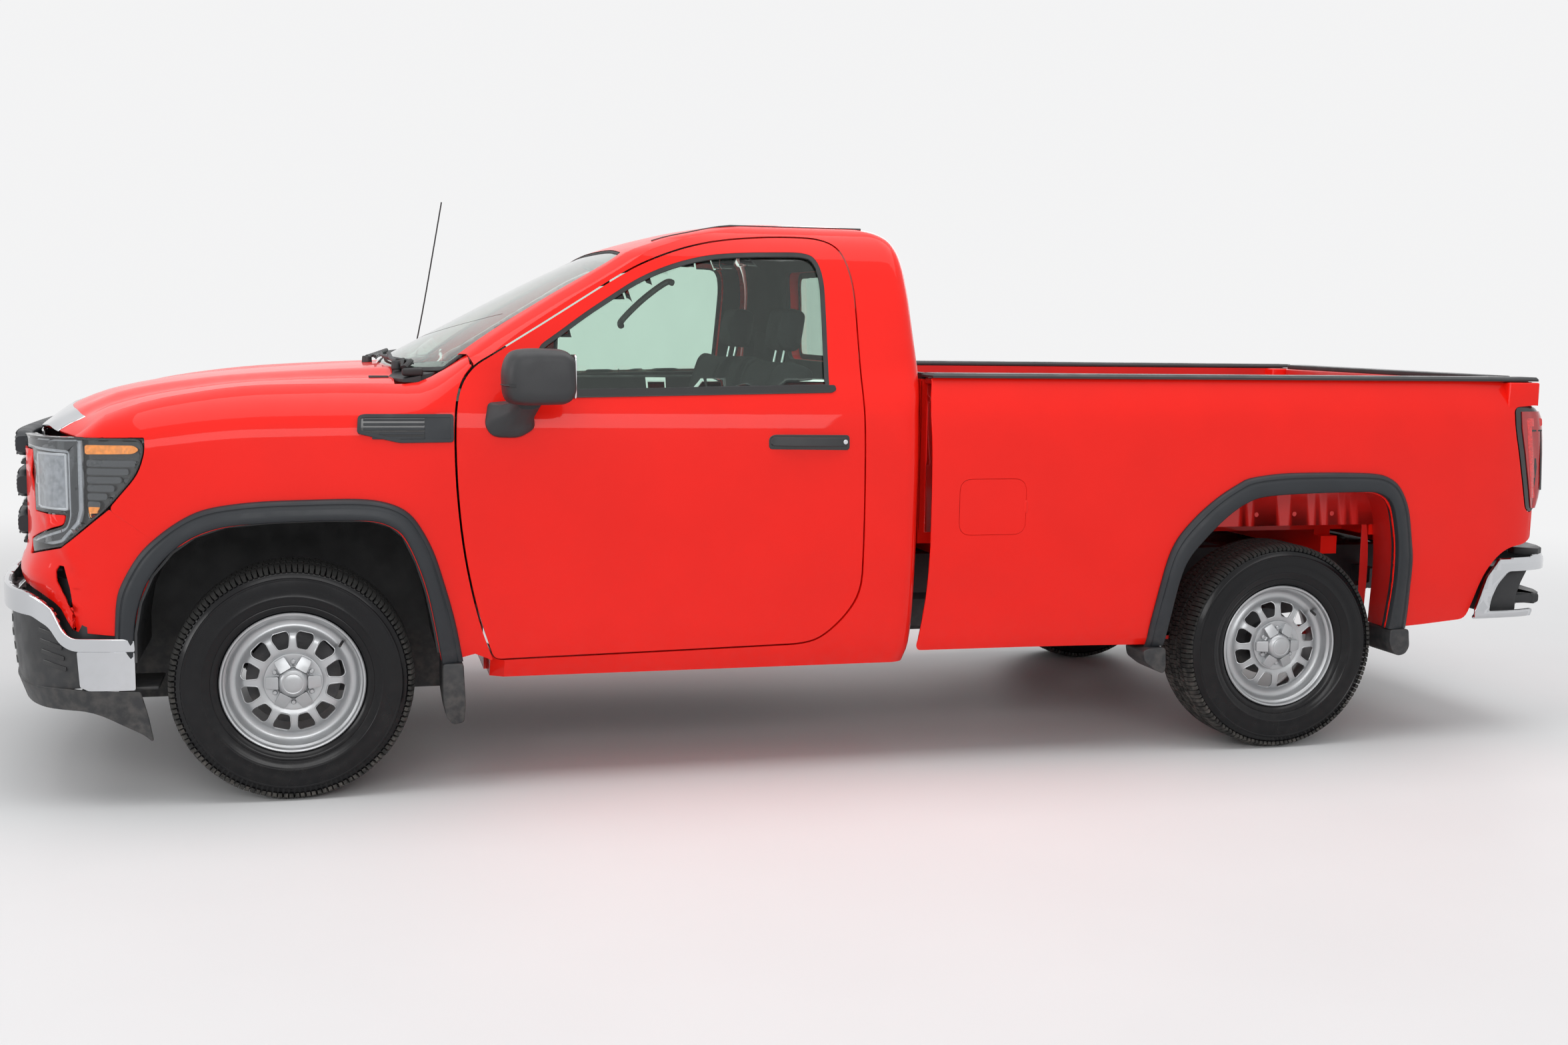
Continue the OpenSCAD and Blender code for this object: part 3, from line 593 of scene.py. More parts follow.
@dataclass
class Sheet:
    """A curved panel of sheet, closed, with a rounded hem all round.

    The outline is flat, in two parameters, and a surface lifts it.
    """

    outline: Sequence[Point]
    surface: Surface
    across: Sequence[float]
    along: Sequence[float]
    holes: Sequence[Sequence[Point]] = ()
    gauge: float = 10.0
    fold: float = 2.0
    side: int = 1
    raise_by: float = 0.0

    def build(self) -> bmesh.types.BMesh:
        """Makes the panel.

        Returns:
            The mesh, with a smooth normal kept on each vertex.
        """
        bm = bmesh.new()
        edges = []
        for loop in (self.outline, *self.holes):
            ring = [bm.verts.new((p[0], 0.0, p[1])) for p in loop]
            edges += [bm.edges.new((a, b)) for a, b in zip(ring, [*ring[1:], ring[0]])]
        bmesh.ops.triangle_fill(bm, use_beauty=True, edges=edges, normal=(0, -1, 0))
        for station in self.across:
            cut(bm, (station, 0, 0), (1, 0, 0))
        for station in self.along:
            cut(bm, (0, 0, station), (0, 0, 1))
        bmesh.ops.remove_doubles(bm, verts=bm.verts, dist=0.02)
        bmesh.ops.dissolve_degenerate(bm, dist=0.01, edges=bm.edges)
        keep = bm.verts.layers.float_vector.new("smooth")
        for v in bm.verts:
            p, q = v.co.x, v.co.z
            here = self.surface(p, q)
            gap = 0.5
            by_p = self.surface(p + gap, q) - self.surface(p - gap, q)
            by_q = self.surface(p, q + gap) - self.surface(p, q - gap)
            way = by_p.cross(by_q)
            v[keep] = (way.normalized() if way.length > 1e-9 else Vector((0, -1, 0))) * self.side
            v.co = here + v[keep] * self.raise_by
        for face in bm.faces:
            face.normal_update()
            if face.normal.dot(face.verts[0][keep]) < 0:
                face.normal_flip()
        self._hem(bm, keep)
        return bm

    def _hem(self, bm: bmesh.types.BMesh, keep: Any) -> None:
        """Rounds the edge and closes the back.

        Args:
            bm: The sheet's mesh, changed in place.
            keep: Layer that holds each vertex's surface direction.
        """
        front = bm.faces[:]
        rim = [e for e in bm.edges if e.is_boundary]
        outward: dict[bmesh.types.BMVert, Vector] = {}
        for edge in rim:
            face = edge.link_faces[0]
            line = (edge.verts[1].co - edge.verts[0].co).normalized()
            for v in edge.verts:
                way = line.cross(v[keep])
                if way.dot(v.co - face.calc_center_median()) < 0:
                    way = -way
                outward[v] = outward.get(v, Vector()) + way
        back = bmesh.ops.duplicate(bm, geom=front)
        twins = [g for g in back["geom"] if isinstance(g, bmesh.types.BMVert)]
        for v in twins:
            v.co = v.co - v[keep] * (self.gauge + self.fold)
        bmesh.ops.reverse_faces(bm, faces=[g for g in back["geom"] if isinstance(g, bmesh.types.BMFace)])
        for v in twins:
            v[keep] = -v[keep]
        state = {v: (v.co.copy(), Vector(v[keep]), way.normalized()) for v, way in outward.items()}
        ring = rim
        for folding in (True, False):
            made = bmesh.ops.extrude_edge_only(bm, edges=ring)["geom"]
            following = {}
            for v in made:
                if isinstance(v, bmesh.types.BMVert):
                    old = next(e.other_vert(v) for e in v.link_edges if e.other_vert(v) in state)
                    following[v] = state[old]
            for v, (spot, way, out) in following.items():
                if folding:
                    v.co = spot - way * self.fold + out * self.fold * 0.45
                    v[keep] = (out + way * 0.35).normalized()
                else:
                    v.co = spot - way * (self.gauge + self.fold)
                    v[keep] = out
            state = following
            ring = [g for g in made if isinstance(g, bmesh.types.BMEdge)]
        bmesh.ops.remove_doubles(bm, verts=bm.verts, dist=0.005)


def mirrored(bm: bmesh.types.BMesh) -> bmesh.types.BMesh:
    """A copy on the other side of the centre plane, facing outwards.

    Args:
        bm: The mesh, which is left as it is.

    Returns:
        The mirrored mesh.
    """
    twin = bm.copy()
    keep = twin.verts.layers.float_vector.get("smooth")
    for v in twin.verts:
        v.co.y = -v.co.y
        if keep:
            v[keep] = (v[keep][0], -v[keep][1], v[keep][2])
    bmesh.ops.reverse_faces(twin, faces=twin.faces)
    return twin


def joined(parts: Iterable[bmesh.types.BMesh]) -> bmesh.types.BMesh:
    """One mesh from several, which are freed.

    Args:
        parts: The meshes, which are freed.

    Returns:
        The mesh that holds them all.
    """
    whole = bmesh.new()
    for part in parts:
        spare = bpy.data.meshes.new("spare")
        part.to_mesh(spare)
        part.free()
        whole.from_mesh(spare)
        bpy.data.meshes.remove(spare)
    return whole


def block(low: Point, high: Point, bevel: float = 0.0, segments: int = 3) -> bmesh.types.BMesh:
    """A box with rounded edges.

    Args:
        low: The corner with the smallest numbers.
        high: The opposite corner.
        bevel: Width of the rounded edges.
        segments: Steps round each edge.

    Returns:
        The box.
    """
    bm = bmesh.new()
    middle = [(a + b) / 2 for a, b in zip(low, high)]
    size = [abs(b - a) for a, b in zip(low, high)]
    place = Matrix.Translation(middle) @ Matrix.Diagonal((*size, 1.0))
    bmesh.ops.create_cube(bm, size=1.0, matrix=place)
    if bevel:
        soften(bm, min(bevel, min(size) * 0.45), segments=segments)
    return bm


def soften(bm: bmesh.types.BMesh, width: float, segments: int = 2, over: float = 30.0) -> None:
    """Bevels every edge sharper than an angle in degrees.

    Args:
        bm: The mesh, changed in place.
        width: Width of the bevel.
        segments: Steps round the bevel.
        over: Edges sharper than this many degrees are bevelled.
    """
    sharp = [e for e in bm.edges if len(e.link_faces) == 2 and e.calc_face_angle(0.0) > math.radians(over)]
    if sharp:
        bmesh.ops.bevel(
            bm, geom=sharp, offset=width, offset_type="OFFSET", affect="EDGES", segments=segments,
            profile=0.5, clamp_overlap=True, material=-1,
        )


def prism(
    loop: Sequence[Point], low: float, high: float, way: str = "y", bevel: float = 0.0, segments: int = 2
) -> bmesh.types.BMesh:
    """Extrudes a flat loop.

    Args:
        loop: The loop, in (x, z) for y, (x, y) for z and (y, z) for x.
        low: Start along the axis.
        high: End along the axis.
        way: The axis.
        bevel: Radius of the rounded edges.
        segments: Bevel steps.

    Returns:
        The closed solid.
    """
    bm = bmesh.new()
    place = {
        "y": lambda p: (p[0], low, p[1]), "z": lambda p: (p[0], p[1], low), "x": lambda p: (low, p[0], p[1])
    }[way]
    face = bm.faces.new([bm.verts.new(place(p)) for p in loop])
    step = {"y": (0, high - low, 0), "z": (0, 0, high - low), "x": (high - low, 0, 0)}[way]
    lifted = bmesh.ops.extrude_face_region(bm, geom=[face])
    bmesh.ops.translate(bm, verts=[g for g in lifted["geom"] if isinstance(g, bmesh.types.BMVert)], vec=step)
    bmesh.ops.recalc_face_normals(bm, faces=bm.faces)
    if bevel:
        soften(bm, bevel, segments)
    return bm


def turned(profile: Sequence[Point], steps: int = 96, close: bool = True) -> bmesh.types.BMesh:
    """Spins a profile of (radius, y) points about the Y axis.

    Args:
        profile: The outline of the section.
        steps: Steps of the full turn.
        close: True joins the last point to the first.

    Returns:
        The turned mesh, about the origin.
    """
    bm = bmesh.new()
    ring = [bm.verts.new((0.0, p[1], p[0])) for p in profile]
    ends = [*ring[1:], ring[0]] if close else ring[1:]
    edges = [bm.edges.new((a, b)) for a, b in zip(ring, ends)]
    bmesh.ops.spin(
        bm, geom=ring + edges, cent=(0, 0, 0), axis=(0, 1, 0), angle=math.tau, steps=steps, use_merge=True
    )
    bmesh.ops.remove_doubles(bm, verts=bm.verts, dist=0.01)
    bmesh.ops.recalc_face_normals(bm, faces=bm.faces)
    return bm


def tube(path: Sequence[Point], radius: float, around: int = 12, ends: bool = True) -> bmesh.types.BMesh:
    """A round bar along a path.

    Args:
        path: Its centre line.
        radius: Its radius.
        around: Corners of its section.
        ends: True to cap both ends.

    Returns:
        The bar.
    """
    bm = bmesh.new()
    spots = [Vector(p) for p in path]
    rings = []
    side = None
    for i, here in enumerate(spots):
        way = (spots[min(i + 1, len(spots) - 1)] - spots[max(i - 1, 0)]).normalized()
        side = (side - way * side.dot(way)).normalized() if side else way.orthogonal().normalized()
        frame = Matrix((side, way.cross(side), way)).transposed().to_4x4()
        made = bmesh.ops.create_circle(
            bm, cap_ends=False, segments=around, radius=radius, matrix=Matrix.Translation(here) @ frame
        )
        rings.append(made["verts"])
    for low, high in zip(rings, rings[1:]):
        for k in range(around):
            bm.faces.new((low[k], low[(k + 1) % around], high[(k + 1) % around], high[k]))
    if ends:
        bm.faces.new(list(reversed(rings[0])))
        bm.faces.new(rings[-1])
    bmesh.ops.recalc_face_normals(bm, faces=bm.faces)
    return bm


def smooth_path(points: Sequence[Point], steps: int = 6) -> list[Vector]:
    """Points along a smooth curve through the given ones.

    Args:
        points: Points to pass through.
        steps: Steps from one to the next.

    Returns:
        The points of the curve.
    """
    spots = [Vector(p) for p in points]
    made = []
    for i in range(len(spots) - 1):
        a, b, c, d = spots[max(i - 1, 0)], spots[i], spots[i + 1], spots[min(i + 2, len(spots) - 1)]
        for k in range(steps):
            t = k / steps
            made.append(0.5 *(
                2 * b + (c - a) * t + (2 * a - 5 * b + 4 * c - d) * t**2 + (3 * b - a - 3 * c + d) * t**3
            ))
    return [*made, spots[-1]]


def moved(bm: bmesh.types.BMesh, by: Point = (0, 0, 0), turn: Matrix | None = None) -> bmesh.types.BMesh:
    """Turns a mesh about the origin, then moves it."""
    bmesh.ops.transform(bm, matrix=Matrix.Translation(by) @ (turn or Matrix.Identity(4)), verts=bm.verts)
    return bm


def carved(
    bm: bmesh.types.BMesh, cutters: Sequence[bmesh.types.BMesh], operation: str = "DIFFERENCE"
) -> bmesh.types.BMesh:
    """Cuts solids out of a solid.

    Args:
        bm: The solid, which is freed.
        cutters: The solids to take away, which are freed.
        operation: The Boolean's operation.

    Returns:
        What is left.
    """
    target = loose_object("carved", bm)
    tools = [loose_object("cutter", c) for c in cutters]
    for tool in tools:
        change = target.modifiers.new("cut", "BOOLEAN")
        change.operation = operation
        change.solver = "EXACT"
        change.object = tool
    view = bpy.context.evaluated_depsgraph_get()
    made = bmesh.new()
    made.from_object(target, view)
    for spare in (target, *tools):
        mesh = spare.data
        bpy.data.objects.remove(spare)
        bpy.data.meshes.remove(mesh)
    bmesh.ops.remove_doubles(made, verts=made.verts, dist=0.01)
    bmesh.ops.dissolve_degenerate(made, dist=0.01, edges=made.edges)
    return made


def loose_object(name: str, bm: bmesh.types.BMesh) -> bpy.types.Object:
    """Puts a mesh in the scene as a new object, and frees it.

    Args:
        name: The object's name.
        bm: Its mesh.

    Returns:
        The object.
    """
    mesh = bpy.data.meshes.new(name)
    bm.to_mesh(mesh)
    bm.free()
    made = bpy.data.objects.new(name, mesh)
    bpy.context.scene.collection.objects.link(made)
    return made


def piece(
    name: str, bm: bmesh.types.BMesh, finish: Finish | Clear, body: str = BODY, slot: str | None = None,
    stands_for: Sequence[str] = (), crease: float = 32.0,
) -> bpy.types.Object:
    """Finishes a piece of the truck.

    Args:
        name: The piece's name.
        bm: Its mesh in millimetres, which is freed.
        finish: What it is made of.
        body: The body that it rides on.
        slot: The record's material slot; not used.
        stands_for: CAD nodes that it stands for.
        crease: Edges sharper than this many degrees stay sharp.

    Returns:
        The object.
    """
    keep = bm.verts.layers.float_vector.get("smooth")
    ways = [Vector(v[keep]) for v in bm.verts] if keep else None
    if keep:
        bm.verts.layers.float_vector.remove(keep)
    bmesh.ops.scale(bm, vec=(MM, MM, MM), verts=bm.verts)
    for face in bm.faces:
        face.smooth = True
    made = loose_object(name, bm)
    if ways:
        made.data.normals_split_custom_set_from_vertices([
            w if w.length > 0.5 else Vector((0, 0, 1)) for w in ways
        ])
    else:
        made.data.set_sharp_from_angle(angle=math.radians(crease))
    made.data.materials.append(Paintbox.get(finish))
    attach(made, body)
    if stands_for:
        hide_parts(*stands_for)
    LOG.info("%s: %d faces on %s", name, len(made.data.polygons), body)
    return made


def pair(
    name: str, bm: bmesh.types.BMesh, finish: Finish | Clear, bodies: tuple[str, str] = (BODY, BODY),
    slot: str | None = None, stands_for: tuple[Sequence[str], Sequence[str]] = ((), ()), crease: float = 32.0,
) -> None:
    """Finishes a left-hand piece and its mirror image.

    Args:
        name: The name before _left and _right.
        bm: The left-hand mesh in millimetres, which is freed.
        finish: What both are made of.
        bodies: The bodies of the left and the right piece.
        slot: The record's material slot.
        stands_for: CAD nodes that the left and the right piece stand for.
        crease: Edges sharper than this many degrees stay sharp.
    """
    other = mirrored(bm)
    for tag, mesh, body, nodes in (
        ("left", bm, bodies[0], stands_for[0]), ("right", other, bodies[1], stands_for[1])
    ):
        piece(f"{name}_{tag}", mesh, finish, body, slot, nodes, crease)


def lofted(rings: Sequence[Sequence[Vector]], closed: bool = True, caps: bool = True) -> bmesh.types.BMesh:
    """Draws a ring of points out through the following rings.

    Args:
        rings: Rings with the same number of points.
        closed: True where each ring is a loop.
        caps: True closes both ends.

    Returns:
        The lofted mesh.
    """
    bm = bmesh.new()
    ring = [bm.verts.new(p) for p in rings[0]]
    edges = [bm.edges.new(two) for two in zip(ring, ring[1:])]
    if closed:
        edges.append(bm.edges.new((ring[-1], ring[0])))
    first = list(edges)
    for spots in rings[1:]:
        made = bmesh.ops.extrude_edge_only(bm, edges=edges)["geom"]
        old = set(ring)
        fresh = {}
        for v in made:
            if isinstance(v, bmesh.types.BMVert):
                fresh[next(e.other_vert(v) for e in v.link_edges if e.other_vert(v) in old)] = v
        ring = [fresh[v] for v in ring]
        for v, spot in zip(ring, spots):
            v.co = spot
        edges = [e for e in made if isinstance(e, bmesh.types.BMEdge)]
    if caps and closed:
        bmesh.ops.holes_fill(bm, edges=first + edges, sides=0)
    bmesh.ops.recalc_face_normals(bm, faces=bm.faces)
    return bm


def walked(path: Sequence[Point], count: int) -> list[Vector]:
    """Points an even distance apart along a path.

    Args:
        path: The path's points.
        count: How many points to make.

    Returns:
        The points.
    """
    spots = [Vector(p[:2]) for p in path]
    reach = [0.0]
    for a, b in zip(spots, spots[1:]):
        reach.append(reach[-1] + (b - a).length)
    made = []
    for k in range(count):
        want = reach[-1] * k / (count - 1)
        i = min(max(bisect.bisect_right(reach, want) - 1, 0), len(spots) - 2)
        share = (want - reach[i]) / max(reach[i + 1] - reach[i], 1e-9)
        made.append(spots[i].lerp(spots[i + 1], share))
    return made


def softened_path(path: Sequence[Point], steps: int = 6) -> list[tuple[float, float]]:
    """A flat path made smooth."""
    return [(p.x, p.y) for p in smooth_path([(p[0], p[1], 0.0) for p in path], steps)]


# ---------------------------------------------------------------- the body's form
NOSE_PATH = (
    (-2790, 0), (-2789, -140), (-2786, -280), (-2779, -400), (-2768, -500), (-2755, -595), (-2738, -670),
    (-2718, -735), (-2692, -795), (-2640, -868), (-2560, -924), (-2450, -962), (-2330, -980), (-2180, -991),
    (-2000, -1003)
)
SIDE_WIDTH = Track([
    (360, 930), (400, 953), (440, 972), (500, 983), (560, 990), (680, 998), (800, 1001), (950, 1003),
    (1080, 1001), (1180, 995), (1240, 987), (1290, 972), (1340, 951), (1400, 925), (1500, 892), (1600, 860),
    (1700, 827), (1800, 786), (1850, 750), (1885, 690), (1905, 540), (1917, 330)
])
END_TAPER = Track([
    (-2790, -1003), (-2788, -860), (-2786, -723), (-2768, -503), (-2738, -333), (-2692, -208), (-2640, -135),
    (-2560, -79), (-2450, -41), (-2330, -23), (-2180, -12), (-2000, 0), (2300, 0), (2480, -4), (2600, -12),
    (2670, -26), (2720, -56), (2770, -110)
])
HOOD_MIDDLE = Track([
    (-2768, 1150), (-2752, 1172), (-2735, 1190), (-2706, 1213), (-2661, 1246), (-2551, 1290), (-2384, 1324),
    (-2103, 1358), (-1682, 1387), (-1540, 1394)
])
HOOD_EDGE = Track([
    (-2768, 1080), (-2700, 1122), (-2640, 1145), (-2571, 1174), (-2479, 1238), (-2285, 1297), (-1988, 1336),
    (-1700, 1341), (-1577, 1341), (-1523, 1345), (-1467, 1366), (-1412, 1398), (-1352, 1438), (-1330, 1452)
])
FENDER_ROLL = Track([
    (-2571, 64), (-2480, 100), (-2300, 124), (-1700, 124), (-1550, 104), (-1450, 70), (-1345, 44)
])
FENDER_TOP = Track([(-2640, 821), (-1584, 821), (-1450, 806), (-1345, 798)])
WHEELS = ((-1925.0, 432.0, 545.0), (1612.0, 478.0, 560.0))
SEAM = 6.0


def body_side(x: float, z: float) -> float:
    """How far the side of the body is from the centre plane.

    Args:
        x: Station along the truck.
        z: Height.

    Returns:
        The distance.
    """
    bulge = 0.0
    for cx, cz, radius in WHEELS:
        away = math.hypot(x - cx, z - cz) - radius
        bulge += 9.0 * (1.0 - ease(away, -20.0, 230.0)) * (1.0 - ease(z, 1040.0, 1250.0))
    scoop = (
        -5.0 * math.exp(-(((z - 610.0) / 95.0) ** 2)) * ease(x, -1380.0, -1150.0)
        * (1.0 - ease(x, 700.0, 1050.0))
    )
    return SIDE_WIDTH(z) + END_TAPER(x) + bulge * ease(x, -2760, -2600) + scoop


def left_side(x: float, z: float) -> Vector:
    """The left side of the body."""
    return Vector((x, -body_side(x, z), z))


def fender_flat(x: float, z: float) -> tuple[float, float]:
    """Flat place of a fender point: q runs up the side, then round the roll.

    Args:
        x: Station along the truck.
        z: Height.

    Returns:
        The station and q.
    """
    reach = FENDER_ROLL(x)
    drop = HOOD_EDGE(x) - z
    if drop >= reach:
        return x, -(drop - reach) / 100.0
    return x, math.asin(max(0.0, min(1.0, 1.0 - drop / reach)))


def fender_lift(x: float, q: float) -> Vector:
    """The fender's surface from its flat place.

    Args:
        x: Station along the truck.
        q: Place round the section, as fender_flat gives it.

    Returns:
        The point on the left fender.
    """
    reach, top = FENDER_ROLL(x), HOOD_EDGE(x)
    if q <= 0.0:
        z = top - reach + q * 100.0
        return Vector((x, -body_side(x, z), z))
    q = min(q, math.pi / 2)
    z = top - reach * (1.0 - math.sin(q))
    wide = body_side(x, z)
    narrow = FENDER_TOP(x)
    return Vector((x, -(wide - (wide - narrow) * (1.0 - math.cos(q))), z))


def hood_bow(y: float) -> float:
    """How far the hood's front edge lies behind its middle."""
    return HOOD_BOW * (abs(y) / HOOD_HALF_WIDTH) ** 2.4


def hood_height(x: float, y: float) -> float:
    """Height of the hood, with a raised middle between two soft lines.

    Args:
        x: Station along the truck.
        y: Distance from the centre plane.

    Returns:
        The height.
    """
    share = min(1.0, abs(y) / 815.0)
    low, high = HOOD_EDGE(min(x, -1577.0)), HOOD_MIDDLE(x)
    base = high + (low - high) * share**2.4
    back = ease(x, -2700.0, -2450.0)
    ridge = 9.0 * math.exp(-(((abs(y) - 470.0 - 40.0 * (1 - back)) / 70.0) ** 2)) * back
    valley = -7.0 * math.exp(-(((abs(y) - 610.0) / 60.0) ** 2)) * back
    ahead = max(0.0, x - HOOD_FRONT_X - hood_bow(y))
    lip = -14.0 * math.exp(-ahead / 26.0) * ease(abs(y), 520, 640)
    return base + ridge + valley + lip


@dataclass
class CabForm:
    """The cab's outline at each height."""

    rows: Sequence[Sequence[float]] = (
        (372, 938, -1300, -1300, 168), (440, 972, -1300, -1300, 180), (560, 990, -1300, -1300, 186),
        (760, 1001, -1300, -1300, 190), (1000, 1003, -1300, -1300, 193), (1180, 995, -1300, -1300, 195),
        (1248, 985, -1300, -1300, 196), (1252, 984, -1740, -1500, 196), (1290, 972, -1716, -1470, 201),
        (1340, 951, -1682, -1431, 206), (1400, 925, -1625, -1378, 208), (1450, 908, -1536, -1325, 206),
        (1500, 892, -1443, -1262, 203), (1550, 876, -1350, -1190, 200), (1600, 860, -1257, -1112, 197),
        (1650, 844, -1162, -1032, 194), (1700, 827, -1065, -948, 189), (1750, 809, -962, -866, 183),
        (1800, 786, -850, -785, 173), (1828, 768, -772, -705, 162), (1850, 748, -700, -640, 150),
        (1868, 724, -632, -560, 132), (1885, 686, -560, -490, 104), (1896, 636, -500, -430, 66),
        (1905, 556, -436, -370, 20), (1911, 460, -370, -300, -40), (1916, 330, -290, -220, -110),
        (1919.5, 170, -250, -225, -165), (1921, 40, -215, -208, -188),
    )
    front_bow: float = 2.2
    corner: float = 62.0

    def __post_init__(self) -> None:
        """Makes the smooth tracks through the rows."""
        numbers = range(len(self.rows))
        self.tracks = [Track([(k, self.rows[k][c]) for k in numbers]) for c in range(5)]
        self.by_height = [Track([(row[0], row[c]) for row in self.rows]) for c in range(1, 5)]

    def ring(self, stage: float, inset: float, lower: float = 0.0) -> list[Vector]:
        """The outline at one stage.

        Args:
            stage: Row number, fractions included.
            inset: How far inside the skin.
            lower: How far the height drops.

        Returns:
            The closed ring, counter-clockwise from above.
        """
        z, wide, front, side_front, rear = (t(stage) for t in self.tracks)
        wide, rear = wide - inset, rear - inset
        front, side_front = front + inset * 1.4, side_front + inset * 1.4
        z -= lower
        bend = min(self.corner, wide * 0.45, 0.3 * (rear - side_front))
        start, end = side_front + min(55.0, 0.15 * (rear - side_front)), rear - bend
        points = [Vector((start + (end - start) * k / 34, -wide, z)) for k in range(34)]
        for k in range(9):
            angle = math.pi / 2 * k / 8
            points.append(Vector((end + bend * math.sin(angle), -(wide - bend) - bend * math.cos(angle), z)))
        half = [
            Vector((rear + 9.0 * (1 - (1 - k / 12) ** 2), -(wide - bend) * (1 - k / 12), z))
            for k in range(1, 13)
        ]
        points += half
        left = list(points)
        nose = []
        edge = wide - 35.0 * min(1.0, wide / 300.0)
        for k in range(1, 25):
            share = 1 - k / 24
            nose.append(Vector((front + (side_front - front) * share**self.front_bow, -edge * share, z)))
        nose.insert(0, Vector((side_front, -edge, z)))
        ring = left + [Vector((p.x, -p.y, p.z)) for p in reversed(left[:-1])]
        ring += [Vector((p.x, -p.y, p.z)) for p in nose] + list(reversed(nose[:-1]))
        return ring

    def solid(
        self, inset: float, first: float, last: float, step: float = 0.34, lower: float = 0.0
    ) -> bmesh.types.BMesh:
        """A closed loft of the rings.

        Args:
            inset: How far inside the outer skin.
            first: Stage of the lowest ring.
            last: Stage of the highest ring.
            step: Stages from ring to ring.
            lower: How far to lower the rings.

        Returns:
            The solid.
        """
        bm = bmesh.new()
        stages = spread(first, last, step)
        rings = [[bm.verts.new(p) for p in self.ring(s, inset, lower)] for s in stages]
        loops = [[bm.edges.new((a, b)) for a, b in zip(r, [*r[1:], r[0]])] for r in rings]
        for low, high in zip(loops, loops[1:]):
            bmesh.ops.bridge_loops(bm, edges=low + high)
        bmesh.ops.holes_fill(bm, edges=loops[0] + loops[-1], sides=0)
        bmesh.ops.recalc_face_normals(bm, faces=bm.faces)
        return bm

    def front_at(self, y: float, z: float) -> float:
        """X of the windshield's surface."""
        wide, front, side_front, _ = (t(z) for t in self.by_height)
        return front + (side_front - front) * min(1.0, abs(y) / (wide - 35.0)) ** self.front_bow

    def rear_at(self, y: float, z: float) -> float:
        """X of the cab's rear wall."""
        wide, _, _, rear = (t(z) for t in self.by_height)
        return rear + 9.0 * (1 - min(1.0, abs(y) / (wide - self.corner)) ** 2)


DOOR_LINE = (
    (-1334, 1407, 30), (-1373, 1359, 60), (-1395, 1292, 90), (-1401, 1183, 90), (-1397, 1017, 90),
    (-1379, 828, 90), (-1350, 669, 90), (-1317, 544, 90), (-1280, 437, 24), (-700, 447, 90), (-213, 457, 60),
    (-147, 483, 70), (-66, 560, 90), (-20, 640, 80), (-16, 760, 60), (-16, 1166, 60), (-17, 1400, 60),
    (-18, 1685, 80), (-42, 1787, 90), (-75, 1833, 60), (-140, 1855, 50), (-301, 1856, 90), (-481, 1840, 90),
    (-615, 1811, 90), (-747, 1761, 90), (-834, 1716, 90), (-1008, 1607, 90), (-1179, 1500, 90)
)
WINDOW_LINE = (
    (-1062, 1515, 30), (-966, 1585, 60), (-879, 1641, 60), (-792, 1697, 60), (-705, 1738, 60),
    (-617, 1768, 60), (-528, 1788, 60), (-437, 1797, 60), (-302, 1803, 60), (-190, 1804, 40),
    (-146, 1786, 44), (-124, 1715, 60), (-128, 1500, 60), (-134, 1338, 16), (-640, 1326, 80),
    (-1010, 1308, 40), (-1092, 1312, 30), (-1127, 1400, 40), (-1128, 1470, 30)
)
ARCH_FRONT = (
    (-2398, 437), (-2396, 563, 60), (-2378, 659, 60), (-2341, 744, 60), (-2279, 819, 60), (-2208, 869, 60),
    (-2116, 899, 60), (-1973, 911, 90), (-1819, 915, 90), (-1672, 912, 70), (-1609, 893, 50),
    (-1567, 858, 50), (-1525, 768, 60), (-1493, 667, 60), (-1468, 544, 60), (-1450, 437)
)
ARCH_REAR = (
    (1142, 408, 0), (1149, 483, 60), (1176, 635, 70), (1210, 728, 60), (1282, 812, 60), (1364, 888, 60),
    (1447, 938, 60), (1532, 956, 70), (1707, 964, 90), (1929, 966, 60), (1992, 955, 40), (2035, 922, 40),
    (2058, 847, 50), (2073, 750, 60), (2076, 629, 60), (2070, 515, 50), (2067, 442, 0)
)
TAIL_LINE = (
    (2594, 1275, 14), (2700, 1284, 30), (2752, 1250, 40), (2769, 1126, 60), (2767, 1014, 60), (2748, 948, 50),
    (2715, 889, 30), (2681, 876, 24), (2656, 890, 24), (2641, 949, 60), (2606, 1114, 60), (2588, 1212, 40)
)


